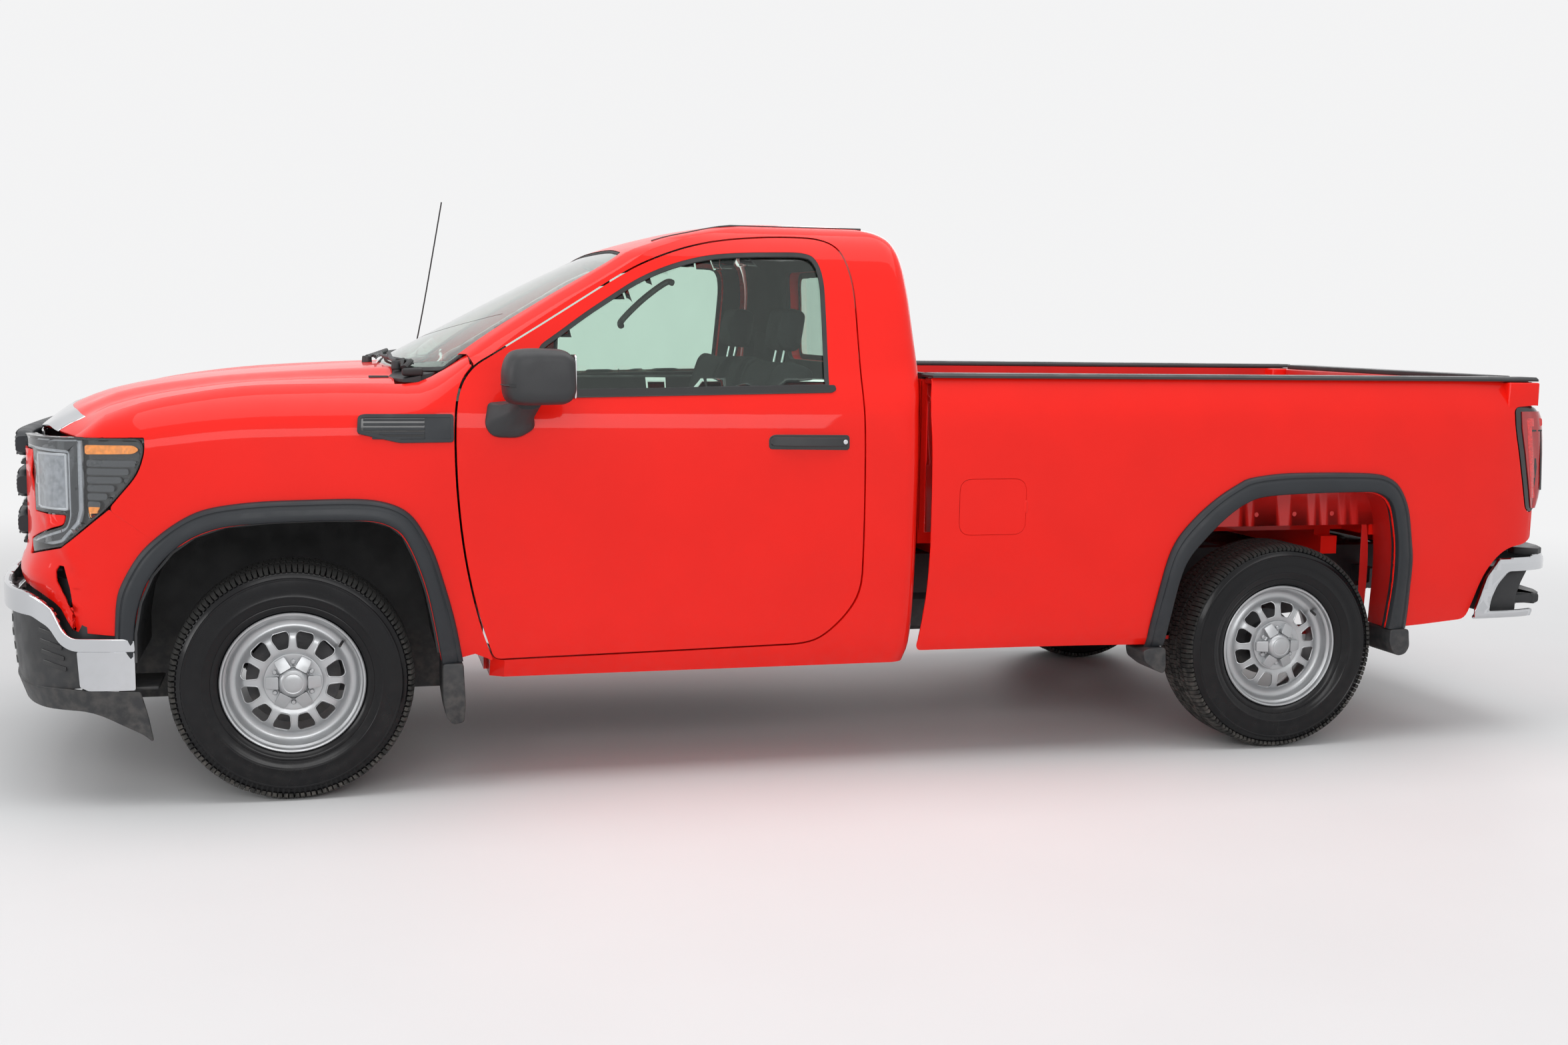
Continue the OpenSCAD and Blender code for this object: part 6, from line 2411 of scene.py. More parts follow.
@dataclass
class RearEnd:
    """Tail lamps, rear bumper and the bed's inside."""

    floor_z: float = 820.0

    def build(self) -> None:
        """Makes the rear."""
        self.lamps()
        self.bumper()
        self.bed()

    def lamp_ring(self, z: float, out: float, front: float) -> list[Vector]:
        """The lamp's plan outline at a height.

        Args:
            z: Height.
            out: Distance outside the body's side.
            front: Distance behind the lamp's front edge.

        Returns:
            The outline's points.
        """
        ahead, behind = LAMP_FRONT_EDGE(z) + front, LAMP_REAR_EDGE(z)
        ring = []
        bend = min(90.0, (behind - ahead) * 0.62)
        for k in range(7):
            x = ahead + (behind - bend - ahead) * k / 6
            ring.append(Vector((x, -body_side(min(x, 2690), z) - out + 0.0011 * max(0.0, x - 2660) ** 2, z)))
        last = ring[-1]
        for k in range(1, 8):
            angle = math.pi / 2 * k / 8
            ring.append(Vector((
                last.x + bend * math.sin(angle), last.y + bend * 1.15 * (1 - math.cos(angle)), z
            )))
        ring.append(Vector((behind, last.y + bend * 1.15, z)))
        ring += [Vector((behind - 2, -880, z)), Vector((behind - 6, -840, z)), Vector((behind - 14, -800, z))]
        ring += [
            Vector((min(2688.0, behind - 16), -800, z)), Vector((min(2680.0, behind - 18), -900, z)),
            Vector((ahead, ring[0].y + 26, z))
        ]
        return ring

    def lamps(self) -> None:
        """The tail lamps that wrap the corners."""
        levels = [878, 882, 890, 905, 930, 960, 1000, 1050, 1100, 1150, 1200, 1240, 1262, 1274, 1281, 1284]
        black = lofted([self.lamp_ring(z, 1.0, 0.0) for z in levels])
        pair("tail_housing", black, GLOSS_BLACK, slot="lamp_red", stands_for=(("tail_lamps",), ()), crease=40)
        inner = [z for z in levels if 890 <= z <= 1262]
        lens = lofted([self.lamp_ring(z, 5.0, 26.0) for z in inner])
        pair("tail_lens", lens, RED_LENS, slot="lamp_red", crease=40)

        def skin(x: float, z: float) -> Vector:
            """The lens surface on the side."""
            return Vector((x, -body_side(min(x, 2690), z) - 5.4 + 0.0011 * max(0.0, x - 2660) ** 2, z))

        loop = rounded([
            (2640, 1236), (2722, 1236), (2722, 1206), (2662, 1206), (2692, 960), (2700, 930), (2676, 930),
            (2646, 1130)
        ], 8)
        hook = Sheet(loop, skin, spread(2645, 2715, 14), spread(940, 1230, 30), gauge=3, fold=2, raise_by=1)
        pair("tail_hook", hook.build(), RED_GLOW, slot="lamp_red")
        seam = Sheet(
            rounded([(2650, 1192), (2720, 1192), (2720, 1186), (2650, 1186)], 2), skin, [], [], gauge=3,
            fold=1, raise_by=0.8
        )
        seam_two = Sheet(
            rounded([(2712, 1186), (2718, 1186), (2728, 960), (2722, 960)], 2), skin, [],
            spread(980, 1170, 40), gauge=3, fold=1, raise_by=0.8
        )
        pair("tail_seams", joined([seam.build(), seam_two.build()]), GLOSS_BLACK, slot="lamp_red")
        clear = prism(
            rounded([(-900, 985), (-812, 985), (-812, 1052), (-900, 1052)], 10), 2752, 2771, "x", 3, 2
        )
        pair("tail_reverse", clear, WHITE_LENS, slot="lamp_red")
        grid = [
            prism(rounded([(-900, z), (-812, z), (-812, z + 7), (-900, z + 7)], 3), 2752, 2772, "x", 1.5)
            for z in (1090, 1120, 1150, 1180)
        ]
        pair("tail_grid", joined(grid), RED_GLOW, slot="lamp_red")

    def bumper(self) -> None:
        """The bright step bumper with its pads and plate recess."""
        def s(x: float) -> float:
            """Distance along the bumper of a station.

            Args:
                x: The station.

            Returns:
                The distance.
            """
            total, last = 0.0, BACK_PATH[0]
            for spot in BACK_PATH[1:]:
                if spot[0] <= x:
                    share = (x - last[0]) / (spot[0] - last[0])
                    return total + math.dist(last, spot) * share
                total += math.dist(last, spot)
                last = spot
            return total

        end = s(2441)
        half = [
            (0, 706, 0), (s(2716), 706, 10), (s(2700), 694, 20), (end, 694, 4), (end, 472, 4), (0, 470, 0)
        ]

        def face(q: float, z: float) -> Vector:
            """The bumper's face, curled in at its edges."""
            spot = on_back(q, z)
            curl = 9.0 * (ease(z, 684, 706) + 1 - ease(z, 470, 492))
            inner = 22.0 * (1 - ease(abs(q), 230, 262)) * ease(z, 500, 516) * (1 - ease(z, 668, 684))
            return spot - Vector((1, 0, 0)).lerp(
                Vector((0.3, -1 if q > 0 else 1, 0)), ease(abs(q), 780, 1010)
            ) * (curl + inner)

        sheet = Sheet(
            rounded(whole(half), 8), face, spread(-1330, 1330, 36),
            [476, 482, 490, 500, 515, 540, 570, 600, 630, 655, 670, 680, 688, 696], gauge=10, fold=4
        )
        tail = rounded([
            (2300, 400), (2400, 460), (2426, 478), (2446, 525), (2484, 630), (2540, 700), (2540, 760),
            (2300, 760)
        ], 10)
        corner = rounded([
            (2720, 400), (2714, 498, 6), (2500, 498, 8), (2506, 545, 20), (2533, 602, 20), (2580, 650, 14),
            (2920, 650), (2920, 400)
        ], 6)
        cutters = [
            prism(loop, *sorted((side * 1100, side * near)))
            for loop, near in ((tail, 780), (corner, 716)) for side in (-1, 1)
        ]
        piece(
            "step_bumper", carved(sheet.build(), cutters), CHROME, slot="chrome", stands_for=("rear_bumper",)
        )
        walls = [
            prism(
                rounded([
                    (2496, 490), (2650, 490), (2650, 545), (2670, 600), (2700, 658), (2572, 658), (2526, 606),
                    (2498, 548)
                ], 8), -962, -716, bevel=4.0, segments=2
            ), block((2640, -724, 484), (2838, -708, 650), 5), block((2600, -950, 514), (2770, -716, 552), 12)
        ]
        pair("bumper_pocket", joined(walls), TEXTURED)
        pads = []
        for low, high, grow in ((700, 729, 4.0), (512, 552, 2.0)):
            path = BACK_PATH if low > 600 else [p for p in BACK_PATH if 2640 < p[0] and abs(p[1]) > 500]
            outer = [
                (
                    p[0] + grow - (0 if p[1] > -900 else grow * (abs(p[1]) - 900) / 90),
                    p[1] - (grow if p[1] < -900 else 0)
                )
                for p in path if p[0] > 2700
            ]
            inner = [
                (p[0] - 118 if p[1] > -880 else p[0] - 110, p[1] + (60 if p[1] < -880 else 0)) for p in outer
            ]
            pads.append(prism(
                rounded([*outer, *[(max(2680.0, q[0]), q[1]) for q in reversed(inner)]], 6), low, high, "z",
                5, 3
            ))
        pair("bumper_pads", joined(pads), TEXTURED, slot="black_plastic")
        ribs = [block((2790 + k * 16, -700, 552), (2796 + k * 16, -560, 556), 1.5) for k in range(4)]
        pair("step_ribs", joined(ribs), TEXTURED)
        centre = carved(
            block((2700, -330, 706), (2868, 330, 728), 5),
            [prism([
                (2838 + 13 * math.cos(a), 13 * math.sin(a)) for a in [math.tau * k / 40 for k in range(40)]
            ], 690, 740, "z")]
        )
        piece("step_plate", centre, TEXTURED, slot="black_plastic")
        plate = prism(rounded([(-158, 520), (158, 520), (158, 664), (-158, 664)], 10), 2838, 2845, "x", 2)
        piece("plate_panel", plate, TEXTURED)
        lights = [
            prism(
                rounded([(y - 26, 636), (y + 26, 636), (y + 26, 652), (y - 26, 652)], 6), 2842, 2851, "x", 2
            )
            for y in (-196, 196)
        ]
        piece("plate_lights", joined(lights), WHITE_LENS)
        hitch = [
            block((2560, -320, 560), (2620, 320, 620), 6),
            carved(block((2600, -34, 556), (2848, 34, 624), 4), [block((2700, -26, 564), (2900, 26, 616))])
        ]
        piece("hitch", joined(hitch), UNDERCOAT)

    def bed(self) -> None:
        """The inside of the bed."""
        floor = self.floor_z
        ribs = [
            block((276, -600 + k * 100 - 31, floor - 1), (2600, -600 + k * 100 + 31, floor + 7), 4)
            for k in range(13)
        ]
        piece("bed_ribs", joined(ribs), PAINT_INSIDE, slot="paint")
        wall = Sheet(
            [(262, 822), (2608, 822), (2608, 1372), (262, 1372)],
            lambda x, z: Vector((
                x,
                -834 + 10 * ease(z, 1290, 1330) - 7 * ease(
                    abs((x - 262) % 390 - 195), 70, 90
                ) * ease(z, 1060, 1080) * (1 - ease(z, 1270, 1285)), z
            )), spread(275, 2600, 26), [1062, 1070, 1078, 1200, 1272, 1279, 1290, 1300, 1310, 1320, 1330],
            gauge=10, fold=1, side=-1
        )
        pair("bed_wall", wall.build(), PAINT_INSIDE, slot="paint")
        top = [block((250, -930, 1352), (2690, -836, 1374), 4)]
        pair("bed_rail", joined(top), PAINT_INSIDE, slot="paint")
        ties = []
        for x in (420, 1420, 2420):
            ties.append(tube(
                smooth_path([
                    (x - 26, -832, 1300), (x - 26, -806, 1296), (x + 26, -806, 1296), (x + 26, -832, 1300)
                ], 6), 6, 10
            ))
        pair("bed_ties", joined(ties), BARE_IRON)
        post = [block((2560, -968, 800), (2694, -757, 1372), 6)]
        post = carved(post[0], [prism(grown(rounded(TAIL_LINE), 4), -1100, -792)])
        pair("bed_post", post, PAINT, slot="paint")
        front = [block((236, -832, 824), (244, 832, 1366), 3)]
        front += [block((222, -800 + k * 160, 860), (238, -740 + k * 160, 1330), 6) for k in range(11)]
        piece("bed_front", joined(front), PAINT_INSIDE, slot="paint")
        stop = [prism(rounded([(-120, 1800), (120, 1800), (116, 1824), (-116, 1824)], 8), 148, 160, "x", 3)]
        piece("roof_lamp", moved(joined(stop), (0, 0, 22)), RED_LENS)


# ---------------------------------------------------------------- cabin
SHIELD = rounded([
    (-806, 1300), (-797, 1440), (-712, 1790, 50), (-400, 1813, 200), (400, 1813, 200), (712, 1790, 50),
    (797, 1440), (806, 1300)
], 30)
SHIELD_GLASS = rounded([
    (-812, 1392, 20), (-806, 1440), (-719, 1796, 50), (-402, 1819, 200), (402, 1819, 200), (719, 1796, 50),
    (806, 1440), (812, 1392, 20), (400, 1372, 200), (-400, 1372, 200)
], 30)
BACKLIGHT = rounded([(-700, 1400), (700, 1400), (640, 1770), (-640, 1770)], 70)


def cushion(low: Point, high: Point, crown: float, pinch: float, cap: float) -> bmesh.types.BMesh:
    """A crowned pad, blown up as cloth and relaxed.

    Args:
        low: Lower corner of its room.
        high: Upper corner of its room.
        crown: How far its faces bulge before it is blown up.
        pinch: How far its sides pull in between the corners.
        cap: How far a point may move.

    Returns:
        The pad's mesh.
    """
    centre = (Vector(low) + Vector(high)) / 2
    half = (Vector(high) - Vector(low)) / 2
    bm = block(low, high, 26, 3)
    bmesh.ops.subdivide_edges(
        bm, edges=[e for e in bm.edges if e.calc_length() > 60], cuts=9, use_grid_fill=True
    )
    for v in bm.verts:
        t = Vector(((v.co[i] - centre[i]) / half[i] for i in range(3)))
        v.co.z += crown * (1 - t.x**2) * (1 - t.y**2) * (1 if t.z > 0 else 0.2)
        v.co.x -= pinch * t.x * (1 - t.y**2) * 0.5
        v.co.y -= pinch * t.y * (1 - t.x**2) * 0.5
    bmesh.ops.scale(bm, vec=(MM, MM, MM), verts=bm.verts)
    pad = loose_object("pad", bm)
    start = pad.modifiers.new("voxels", "REMESH")
    start.mode, start.voxel_size = "VOXEL", 0.009
    view = bpy.context.evaluated_depsgraph_get()
    mesh = bpy.data.meshes.new_from_object(pad.evaluated_get(view))
    pad.modifiers.clear()
    pad.data = mesh
    before = [v.co.copy() for v in mesh.vertices]
    cloth = pad.modifiers.new("cloth", "CLOTH")
    cloth.settings.use_pressure = True
    cloth.settings.uniform_pressure_force = 4.0
    cloth.settings.effector_weights.gravity = 0.0
    cloth.settings.quality = 4
    scene = bpy.context.scene
    for step in range(1, 17):
        scene.frame_set(step)
    view = bpy.context.evaluated_depsgraph_get()
    after = bpy.data.meshes.new_from_object(pad.evaluated_get(view))
    made = bmesh.new()
    made.from_mesh(after)
    for v, spot in zip(made.verts, before):
        shift = v.co - spot
        if shift.length > cap * MM:
            v.co = spot + shift.normalized() * cap * MM
    bmesh.ops.smooth_vert(
        made, verts=made.verts, factor=0.5, use_axis_x=True, use_axis_y=True, use_axis_z=True
    )
    bpy.data.objects.remove(pad)
    scene.frame_set(1)
    bmesh.ops.scale(made, vec=(1000, 1000, 1000), verts=made.verts)
    return made


def seamed(
    bm: bmesh.types.BMesh, lines: Sequence[tuple[int, float]], depth: float, width: float
) -> bmesh.types.BMesh:
    """Presses stitched channels into a pad.

    Args:
        bm: The pad.
        lines: Axis number and station of each channel.
        depth: Depth of the channels.
        width: Half width of the channels.

    Returns:
        The same mesh.
    """
    bm.normal_update()
    moves = []
    for v in bm.verts:
        dent = sum(depth * math.exp(-(((v.co[axis] - at) / width) ** 2)) for axis, at in lines)
        moves.append((v, v.normal * dent))
    for v, by in moves:
        v.co -= by
    return bm


@dataclass
class Cabin:
    """Glass, lining, seats, dash and steering wheel."""

    cab: CabForm = field(default_factory=CabForm)

    def build(self) -> None:
        """Makes the cabin."""
        self.glass()
        self.lining()
        self.seats()
        self.dash()
        self.wheel()
        self.small()

    def shield(self, y: float, z: float) -> Vector:
        """The windshield's surface."""
        return Vector((self.cab.front_at(y, z), y, z))

    def back(self, y: float, z: float) -> Vector:
        """The rear wall's surface."""
        return Vector((self.cab.rear_at(y, z), y, z))

    def glass(self) -> None:
        """Windshield and rear window with their dark borders."""
        columns, rows = spread(-780, 780, 52), spread(1400, 1800, 34)
        pane = Sheet(SHIELD_GLASS, self.shield, columns, rows, gauge=5, fold=0.6, raise_by=-7, side=-1)
        piece("windshield_glass", pane.build(), WINDOW, slot="glass", stands_for=("windshield",))
        border = Sheet(
            SHIELD_GLASS, self.shield, columns, rows, holes=[grown(SHIELD_GLASS, -34)], gauge=2, fold=0.4,
            raise_by=-13.4, side=-1
        )
        piece("windshield_border", border.build(), GLOSS_BLACK, slot="glass")
        moulding = Sheet(
            grown(SHIELD_GLASS, 3), self.shield, columns, rows, holes=[grown(SHIELD_GLASS, -9)], gauge=6,
            fold=2.5, raise_by=-3, side=-1
        )
        piece("windshield_moulding", moulding.build(), RUBBER)
        pane = Sheet(grown(BACKLIGHT, 3), self.back, columns, rows, gauge=5, fold=0.6, raise_by=-7, side=1)
        piece("rear_glass", pane.build(), WINDOW, slot="glass", stands_for=("rear_window",))
        border = Sheet(
            grown(BACKLIGHT, 5), self.back, columns, rows, holes=[grown(BACKLIGHT, -22)], gauge=8, fold=2.5,
            raise_by=-2.5, side=1
        )
        piece("rear_glass_border", border.build(), RUBBER, slot="glass")

    def lining(self) -> None:
        """The cab's inner lining, floor and firewall."""
        rows = len(self.cab.rows)
        outer = self.cab.solid(46.0, 1.4, rows - 4.6, lower=33.0)
        inner = self.cab.solid(62.0, 0.9, rows - 5.0, lower=48.0)
        cutters = []
        door = grown(rounded(DOOR_LINE), SEAM / 2)
        for side in (-1, 1):
            low, high = sorted((side * 1100, side * 640))
            cutters.append(prism(door, low, high))
        cutters.append(prism(SHIELD, -1900, -500, "x"))
        cutters.append(prism(BACKLIGHT, 60, 400, "x"))
        cutters.append(block((-1900, -1100, 300), (-1320, 1100, 1400)))
        piece("cab_lining", carved(outer, [*cutters, inner]), HEADLINER, slot="interior", crease=28)
        floor = [
            block((-1290, -850, 690), (150, 850, 745), 12), block((-1440, -800, 690), (-1286, 800, 1230), 18),
            block((-900, -170, 740), (140, 170, 800), 30)
        ]
        piece("cab_floor", joined(floor), CARPET, slot="interior")
        sill = [block((-1290, -918, 700), (-40, -846, 752), 10)]
        pair("sill_plate", joined(sill), TRIM_DARK)

    def seats(self) -> None:
        """The split bench with two head restraints."""
        backs = Matrix.Rotation(math.radians(-72), 4, "Y")
        base = seamed(
            cushion((-896, -752, 800), (-352, -146, 925), 10, 12, 12), [(1, -650), (1, -248), (0, -800)], 7, 8
        )
        nodes = {"stands_for": ("seats",)}
        done = False
        for side in (-1, 1):
            copy = base.copy() if side < 0 else mirrored(base)
            made = piece(
                f"seat_base_{'left' if side < 0 else 'right'}", copy, SEAT_CLOTH, slot="seat_cloth",
                crease=180, **({} if done else nodes)
            )
            done = True
        base.free()
        rest = seamed(
            cushion((-268, -296, -58), (268, 296, 58), 12, 12, 12), [(1, -195), (1, 195), (0, -120)], 7, 8
        )
        moved(rest, (0, 0, 0), backs)
        moved(rest, (-258, -449, 1166))
        for side in (-1, 1):
            copy = rest.copy() if side < 0 else mirrored(rest)
            piece(
                    f"seat_back_{'left' if side < 0 else 'right'}", copy, SEAT_CLOTH, slot="seat_cloth",
                    crease=180
                )
        rest.free()
        head = cushion((-78, -122, -44), (78, 122, 44), 6, 5, 6)
        moved(head, (0, 0, 0), Matrix.Rotation(math.radians(-80), 4, "Y"))
        moved(head, (-152, -398, 1532))
        for side in (-1, 1):
            copy = head.copy() if side < 0 else mirrored(head)
            piece(
                    f"head_rest_{'left' if side < 0 else 'right'}", copy, SEAT_CLOTH, slot="seat_cloth",
                    crease=180
                )
        head.free()
        middle = seamed(cushion((-880, -120, 808), (-352, 120, 918), 6, 6, 8), [(0, -800)], 6, 8)
        piece("seat_base_middle", middle, SEAT_CLOTH, slot="seat_cloth", crease=180)
        armrest = cushion((-262, -112, -56), (262, 112, 56), 5, 5, 7)
        moved(armrest, (0, 0, 0), backs)
        moved(armrest, (-256, 0, 1170))
        piece("seat_back_middle", armrest, SEAT_CLOTH, slot="seat_cloth", crease=180)
        posts = [tube([(-176, -398 + k, 1410), (-160, -398 + k, 1490)], 7, 12) for k in (-60, 60)]
        pair("head_posts", joined(posts), CHROME)
        frames = [
            block((-860, -720, 742), (-360, -170, 802), 14), block((-900, -762, 772), (-350, -748, 850), 6)
        ]
        pair("seat_frame", joined(frames), TRIM_DARK)
        buckle = [block((-330, -150, 880), (-300, -132, 950), 6)]
        pair("buckles", joined(buckle), TRIM_DARK)
        belt = [lofted([
            [Vector((x + dx, -812 + dy, z)) for dx, dy in ((-23, 0), (23, 0), (23, 2), (-23, 2))]
            for x, z in ((60, 1600), (40, 1400), (20, 1200), (0, 1000), (-20, 800))
        ])]
        belt.append(block((38, -822, 1590), (86, -802, 1640), 8))
        pair("belts", joined(belt), TRIM_DARK)

    def dash(self) -> None:
        """The dashboard with its hood, vents, screen and glovebox."""
        section = [
            (-1517, 1268), (-1420, 1284), (-1330, 1278), (-1262, 1262), (-1236, 1246), (-1232, 1226),
            (-1246, 1212), (-1256, 1150), (-1262, 1090), (-1290, 1030), (-1330, 990), (-1420, 985),
            (-1500, 1000)
        ]
        rings = []
        for y in spread(-752, 752, 32):
            swell = 10.0 * (1 - (y / 752) ** 2)
            hood = 26.0 * math.exp(-(((y + 390) / 185.0) ** 4))
            rings.append([
                Vector((
                    p[0] + (swell if p[0] > -1400 else 0), y,
                    p[1] + (hood if p[1] > 1240 and p[0] > -1450 else 0)
                ))
                for p in rounded(section, 14, 3)
            ])
        piece("dash_body", lofted(rings), TRIM_DARK, slot="interior", stands_for=("dashboard",), crease=40)
        bits = [
            prism(
                rounded([(y - 62, 1150), (y + 62, 1150), (y + 56, 1206), (y - 56, 1206)], 12), -1262, -1238,
                "x", 5
            )
            for y in (-640, -130, 130, 640)
        ]
        piece("dash_vents", joined(bits), GLOSS_BLACK)
        fins = [
            prism([(y - 54, z), (y + 54, z), (y + 54, z + 3), (y - 54, z + 3)], -1244, -1233, "x")
            for y in (-640, -130, 130, 640) for z in (1160, 1170, 1180, 1190)
        ]
        piece("dash_vent_fins", joined(fins), TRIM_GREY)
        screen = prism(rounded([(-98, 1218), (98, 1218), (98, 1322), (-98, 1322)], 10), -1262, -1250, "x", 3)
        piece("dash_screen", screen, GLOSS_BLACK)
        dials = [
            moved(
                turned([(0.01, -3), (48, -3), (52, 0), (52, 5), (0.01, 5)], 40), (-1262, y, 1250),
                Matrix.Rotation(math.pi / 2, 4, "Z")
            )
            for y in (-455, -325)
        ]
        piece("dash_dials", joined(dials), GLOSS_BLACK)
        knobs = [
            moved(
                turned(rounded([(0.01, -12), (16, -12), (18, 6), (0.01, 6)], 3), 28), (-1238, y, 1120),
                Matrix.Rotation(-math.pi / 2, 4, "Z")
            )
            for y in (-80, 0, 80)
        ]
        piece("dash_knobs", joined(knobs), TRIM_GREY)
        glove = prism(
            rounded([(290, 1040), (690, 1040), (690, 1130), (290, 1130)], 14), -1262, -1234, "x", 6, 3
        )
        piece("glovebox", glove, TRIM_DARK)
        pedals = [
            block((-1290, -470, 800), (-1270, -400, 870), 6), block((-1290, -350, 780), (-1272, -310, 890), 6)
        ]
        piece("pedals", joined(pedals), RUBBER)
        column = tube([(-1300, -390, 1102), (-1210, -390, 1138)], 42, 28)
        piece("column_shroud", column, TRIM_DARK)
        stalks = [
            tube([(-1216, -420, 1150), (-1196, -540, 1180)], 6, 10),
            tube([(-1216, -360, 1160), (-1200, -250, 1200)], 7, 10)
        ]
        piece("column_stalks", joined(stalks), TRIM_DARK)

    def wheel(self) -> None:
        """The steering wheel."""
        tilt = Matrix.Rotation(math.radians(68), 4, "Y")
        ring = turned([
            (174 + 14.5 * math.cos(a), 14.5 * math.sin(a)) for a in [math.tau * k / 16 for k in range(16)]
        ], 96)
        moved(ring, (0, 0, 0), QUARTER_TURN)
        parts = [ring]
        for angle in (90, 210, 330):
            spoke = block((34, -19, -14), (168, 19, 0), 6)
            for v in spoke.verts:
                v.co.y *= 1.2 - 0.45 * (v.co.x - 34) / 134
            parts.append(moved(spoke, (0, 0, 0), Matrix.Rotation(math.radians(angle), 4, "Z")))
        hub = moved(
            turned([(0.01, -14), (40, -13), (56, -8), (64, 2), (64, 22), (0.01, 28)], 48), (0, 0, 0),
            QUARTER_TURN
        )
        parts.append(hub)
        whole_wheel = joined(parts)
        moved(whole_wheel, (-1168, -390, 1155), tilt)
        piece("wheel_rim", whole_wheel, TRIM_DARK, "steering_wheel", "interior", ("steering_wheel",), 40)

    def small(self) -> None:
        """Inner mirror, visors, grab bars and the roof seams."""
        mirror = [
            prism(rounded([(-120, 1688), (120, 1688), (112, 1752), (-112, 1752)], 22), -790, -766, "x", 8, 3),
            tube([(-800, 0, 1738), (-850, 0, 1764)], 8, 12)
        ]
        piece("inner_mirror", joined(mirror), TRIM_DARK)
        pane = prism(rounded([(-112, 1694), (112, 1694), (105, 1746), (-105, 1746)], 18), -767, -764, "x", 1)
        piece("inner_mirror_glass", pane, MIRROR_GLASS)
        visors = [block((-690, -560, 1808), (-520, -180, 1826), 8)]
        pair("visors", joined(visors), HEADLINER)
        bar = tube(
            smooth_path([
                (-822, -738, 1539), (-815, -716, 1560), (-740, -700, 1632), (-660, -690, 1690),
                (-637, -706, 1690)
            ], 6), 11, 12
        )
        pair("grab_bars", bar, TRIM_DARK)
        ditch = []
        for low, high in ((-700, 60),):
            path = []
            for x in spread(low, high, 40):
                path.append(Vector((x, -640, self.roof(x, 640) - 1.5)))
            ditch.append(tube(path, 5, 8))
        pair("roof_ditch", joined(ditch), RUBBER)

    def roof(self, x: float, y: float) -> float:
        """Height of the roof over a point.

        Args:
            x: Station along the truck.
            y: Distance from the centre plane.

        Returns:
            The height.
        """
        low, high = 1700.0, 1921.0
        for _ in range(24):
            middle = (low + high) / 2
            wide, front, side_front, rear = (t(middle) for t in self.cab.by_height)
            lip = front + (side_front - front) * min(1.0, abs(y) / max(wide - 35, 1)) ** self.cab.front_bow
            inside = abs(y) < wide and lip < x < rear
            low, high = (middle, high) if inside else (low, middle)
        return low


# ---------------------------------------------------------------- carried-over nodes
NODE_FINISH: dict[str, Finish | Clear] = {
    "frame": UNDERCOAT, "engine_block": ALLOY, "driveline": ALLOY, "exhaust": PIPE_STEEL,
    "fuel_tank": TEXTURED, "spare_wheel": RUBBER, "rear_axle": BARE_IRON, "leaf_springs": BARE_IRON,
    "front_suspension": BARE_IRON, "radiator": ALLOY, "knuckle_left": BARE_IRON, "knuckle_right": BARE_IRON,
}


def dress_nodes(frame: dict[str, Any]) -> None:
    """Gives each shown CAD node its finish.

    Args:
        frame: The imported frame.
    """
    slots = {part["node"]: part["material_slot"] for part in frame["record"]["subparts"]}
    for name, node in frame["nodes"].items():
        if node.hide_render:
            continue
        finish = NODE_FINISH.get(name, NODE_DEFAULT.get(slots[name], TEXTURED))
        node.data.materials.clear()
        node.data.materials.append(Paintbox.get(finish))
        LOG.info("%s dressed in %s", name, finish.name)


NODE_DEFAULT: dict[str, Finish | Clear] = {
    "paint": PAINT, "glass": WINDOW, "chrome": CHROME, "tyre": RUBBER, "wheel_steel": WHEEL_SILVER,
    "lamp_red": RED_LENS, "lamp_clear": LIGHT_GUIDE, "trim": FLARE, "interior": TRIM_DARK,
    "seat_cloth": SEAT_CLOTH, "black_plastic": TEXTURED,
}


def assemblies() -> list[Any]:
    """Every sub-assembly, in order."""
    return [Panels(), Fittings(), DoorParts(), FrontEnd(), HoodTrim(), Wheels(), RearEnd(), Cabin()]


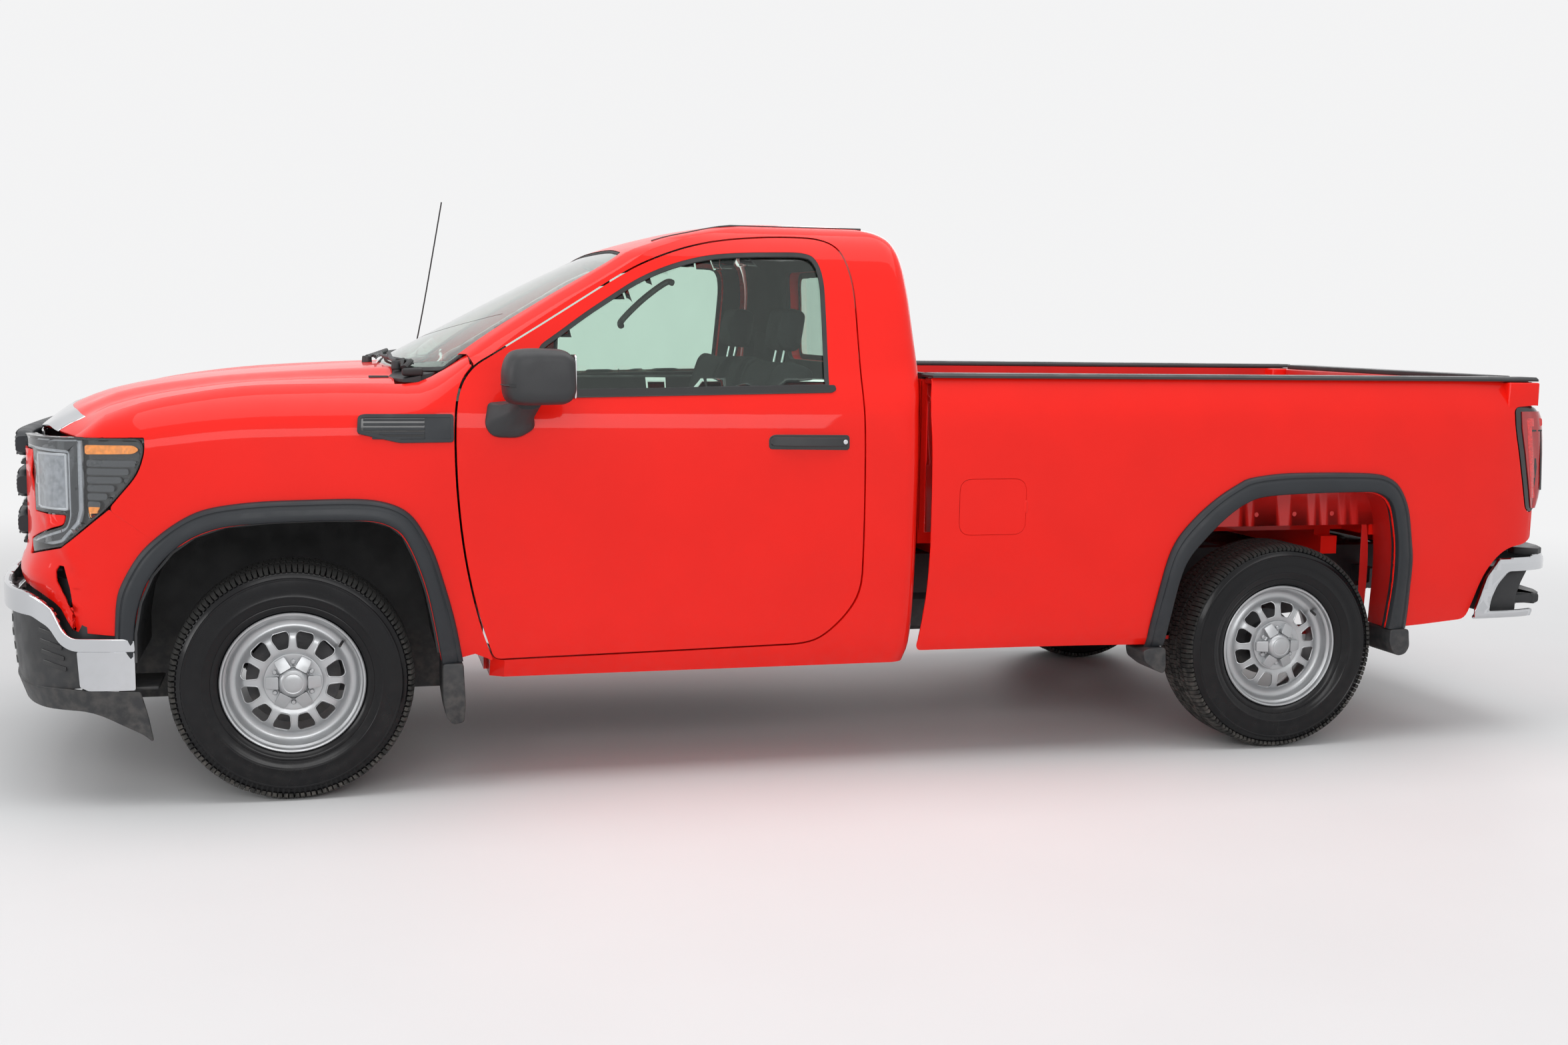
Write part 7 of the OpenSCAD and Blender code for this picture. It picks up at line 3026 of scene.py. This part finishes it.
# ---------------------------------------------------------------- studio
@dataclass
class Studio:
    """The floor, backdrop, lights and camera."""

    eye: Point = (-1775.5, -6620.73, 1568.42)
    yaw: float = 0.25639
    pitch: float = 0.11738
    roll: float = 0.01489
    lens: float = 39.42

    def camera(self) -> None:
        """Sets the camera."""
        level = Vector((math.sin(self.yaw), math.cos(self.yaw), 0))
        right = Vector((math.cos(self.yaw), -math.sin(self.yaw), 0))
        up = Vector((0, 0, 1))
        ahead = level * math.cos(self.pitch) - up * math.sin(self.pitch)
        over = up * math.cos(self.pitch) + level * math.sin(self.pitch)
        right_rolled = right * math.cos(self.roll) + over * math.sin(self.roll)
        over_rolled = over * math.cos(self.roll) - right * math.sin(self.roll)
        frame = Matrix((right_rolled, over_rolled, -ahead)).transposed().to_4x4()
        data = bpy.data.cameras.new("camera")
        data.lens, data.sensor_width = self.lens, 36.0
        data.clip_start, data.clip_end = 0.05, 100.0
        made = bpy.data.objects.new("camera", data)
        made.matrix_world = Matrix.Translation(Vector(self.eye) * MM) @ frame
        bpy.context.scene.collection.objects.link(made)
        bpy.context.scene.camera = made

    def floor(self) -> None:
        """A pale floor that meets a pale sky without an edge."""
        bm = bmesh.new()
        bmesh.ops.create_circle(bm, cap_ends=True, segments=96, radius=60000)
        bmesh.ops.scale(bm, vec=(MM, MM, MM), verts=bm.verts)
        made = loose_object("studio_floor", bm)
        kit = Recipe("studio_floor")
        away = kit.node(
            "ShaderNodeVectorMath", {"operation": "LENGTH"}, {0: kit.coordinates}, "Value"
        ).ramp(3.6, 9.0)
        tile = kit.noise(0.9, 3.0).ramp(0.2, 0.8) * 0.02 + 0.80
        shade = kit.node("ShaderNodeCombineColor", None, {0: tile, 1: tile, 2: tile})
        plain = kit.node(
            "ShaderNodeBsdfPrincipled", None,
            {"Base Color": shade, "Roughness": 0.55, "Specular IOR Level": 0.25}
        )
        glow = kit.node("ShaderNodeEmission", None, {0: BACKDROP, 1: 1.0})
        made.data.materials.append(kit.output(kit.node(
            "ShaderNodeMixShader", None, {0: away, 1: plain, 2: glow}
        )))

    def sky(self) -> None:
        """A plain pale world that metal and glass also see."""
        world = bpy.data.worlds.new("studio_sky")
        bpy.context.scene.world = world
        world.use_nodes = True
        tree = world.node_tree
        tree.nodes.clear()
        light = tree.nodes.new("ShaderNodeBackground")
        light.inputs[0].default_value = (0.95, 0.97, 1.0, 1.0)
        light.inputs[1].default_value = 0.42
        seen = tree.nodes.new("ShaderNodeBackground")
        seen.inputs[0].default_value = BACKDROP
        seen.inputs[1].default_value = 1.0
        path = tree.nodes.new("ShaderNodeLightPath")
        either = [tree.nodes.new("ShaderNodeMath") for _ in range(2)]
        for node in either:
            node.operation = "MAXIMUM"
        tree.links.new(path.outputs["Is Camera Ray"], either[0].inputs[0])
        tree.links.new(path.outputs["Is Transmission Ray"], either[0].inputs[1])
        tree.links.new(either[0].outputs[0], either[1].inputs[0])
        tree.links.new(path.outputs["Is Glossy Ray"], either[1].inputs[1])
        mixer = tree.nodes.new("ShaderNodeMixShader")
        tree.links.new(either[1].outputs[0], mixer.inputs[0])
        tree.links.new(light.outputs[0], mixer.inputs[1])
        tree.links.new(seen.outputs[0], mixer.inputs[2])
        end = tree.nodes.new("ShaderNodeOutputWorld")
        tree.links.new(mixer.outputs[0], end.inputs[0])

    def lamp(self, name: str, place: Point, aim: Point, size: tuple[float, float], power: float) -> None:
        """A soft rectangular lamp.

        Args:
            name: Its name.
            place: Where it stands, in metres.
            aim: What it points at, in metres.
            size: Width and height in metres.
            power: Watts.
        """
        data = bpy.data.lights.new(name, "AREA")
        data.shape = "RECTANGLE"
        data.size, data.size_y = size
        data.energy = power
        made = bpy.data.objects.new(name, data)
        made.location = place
        made.rotation_mode = "QUATERNION"
        made.rotation_quaternion = (Vector(aim) - Vector(place)).to_track_quat("-Z", "Y")
        bpy.context.scene.collection.objects.link(made)

    def lights(self) -> None:
        """Soft lamps overhead and to the sides."""
        self.lamp("lamp_top", (0.0, -1.0, 5.6), (0, 0, 0), (9.0, 5.0), 260)
        self.lamp("lamp_left", (-1.5, -8.5, 3.8), (0.2, 0, 0.8), (8.0, 2.2), 200)
        self.lamp("lamp_front", (-9.0, -2.0, 3.0), (-1, 0, 0.8), (3.0, 3.0), 110)
        self.lamp("lamp_back", (5.0, 7.0, 4.0), (0, 0, 0.8), (7.0, 3.0), 140)

    def build(self) -> None:
        """Makes the whole studio."""
        self.floor()
        self.sky()
        self.lights()
        bpy.context.scene.view_settings.view_transform = "Standard"


def main() -> None:
    """Builds the truck in order."""
    logging.basicConfig(level=logging.INFO, format="%(message)s")
    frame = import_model()
    studio = Studio()
    studio.camera()
    for assembly in assemblies():
        assembly.build()
    dress_nodes(frame)
    studio.build()


if __name__ == "__main__":
    main()
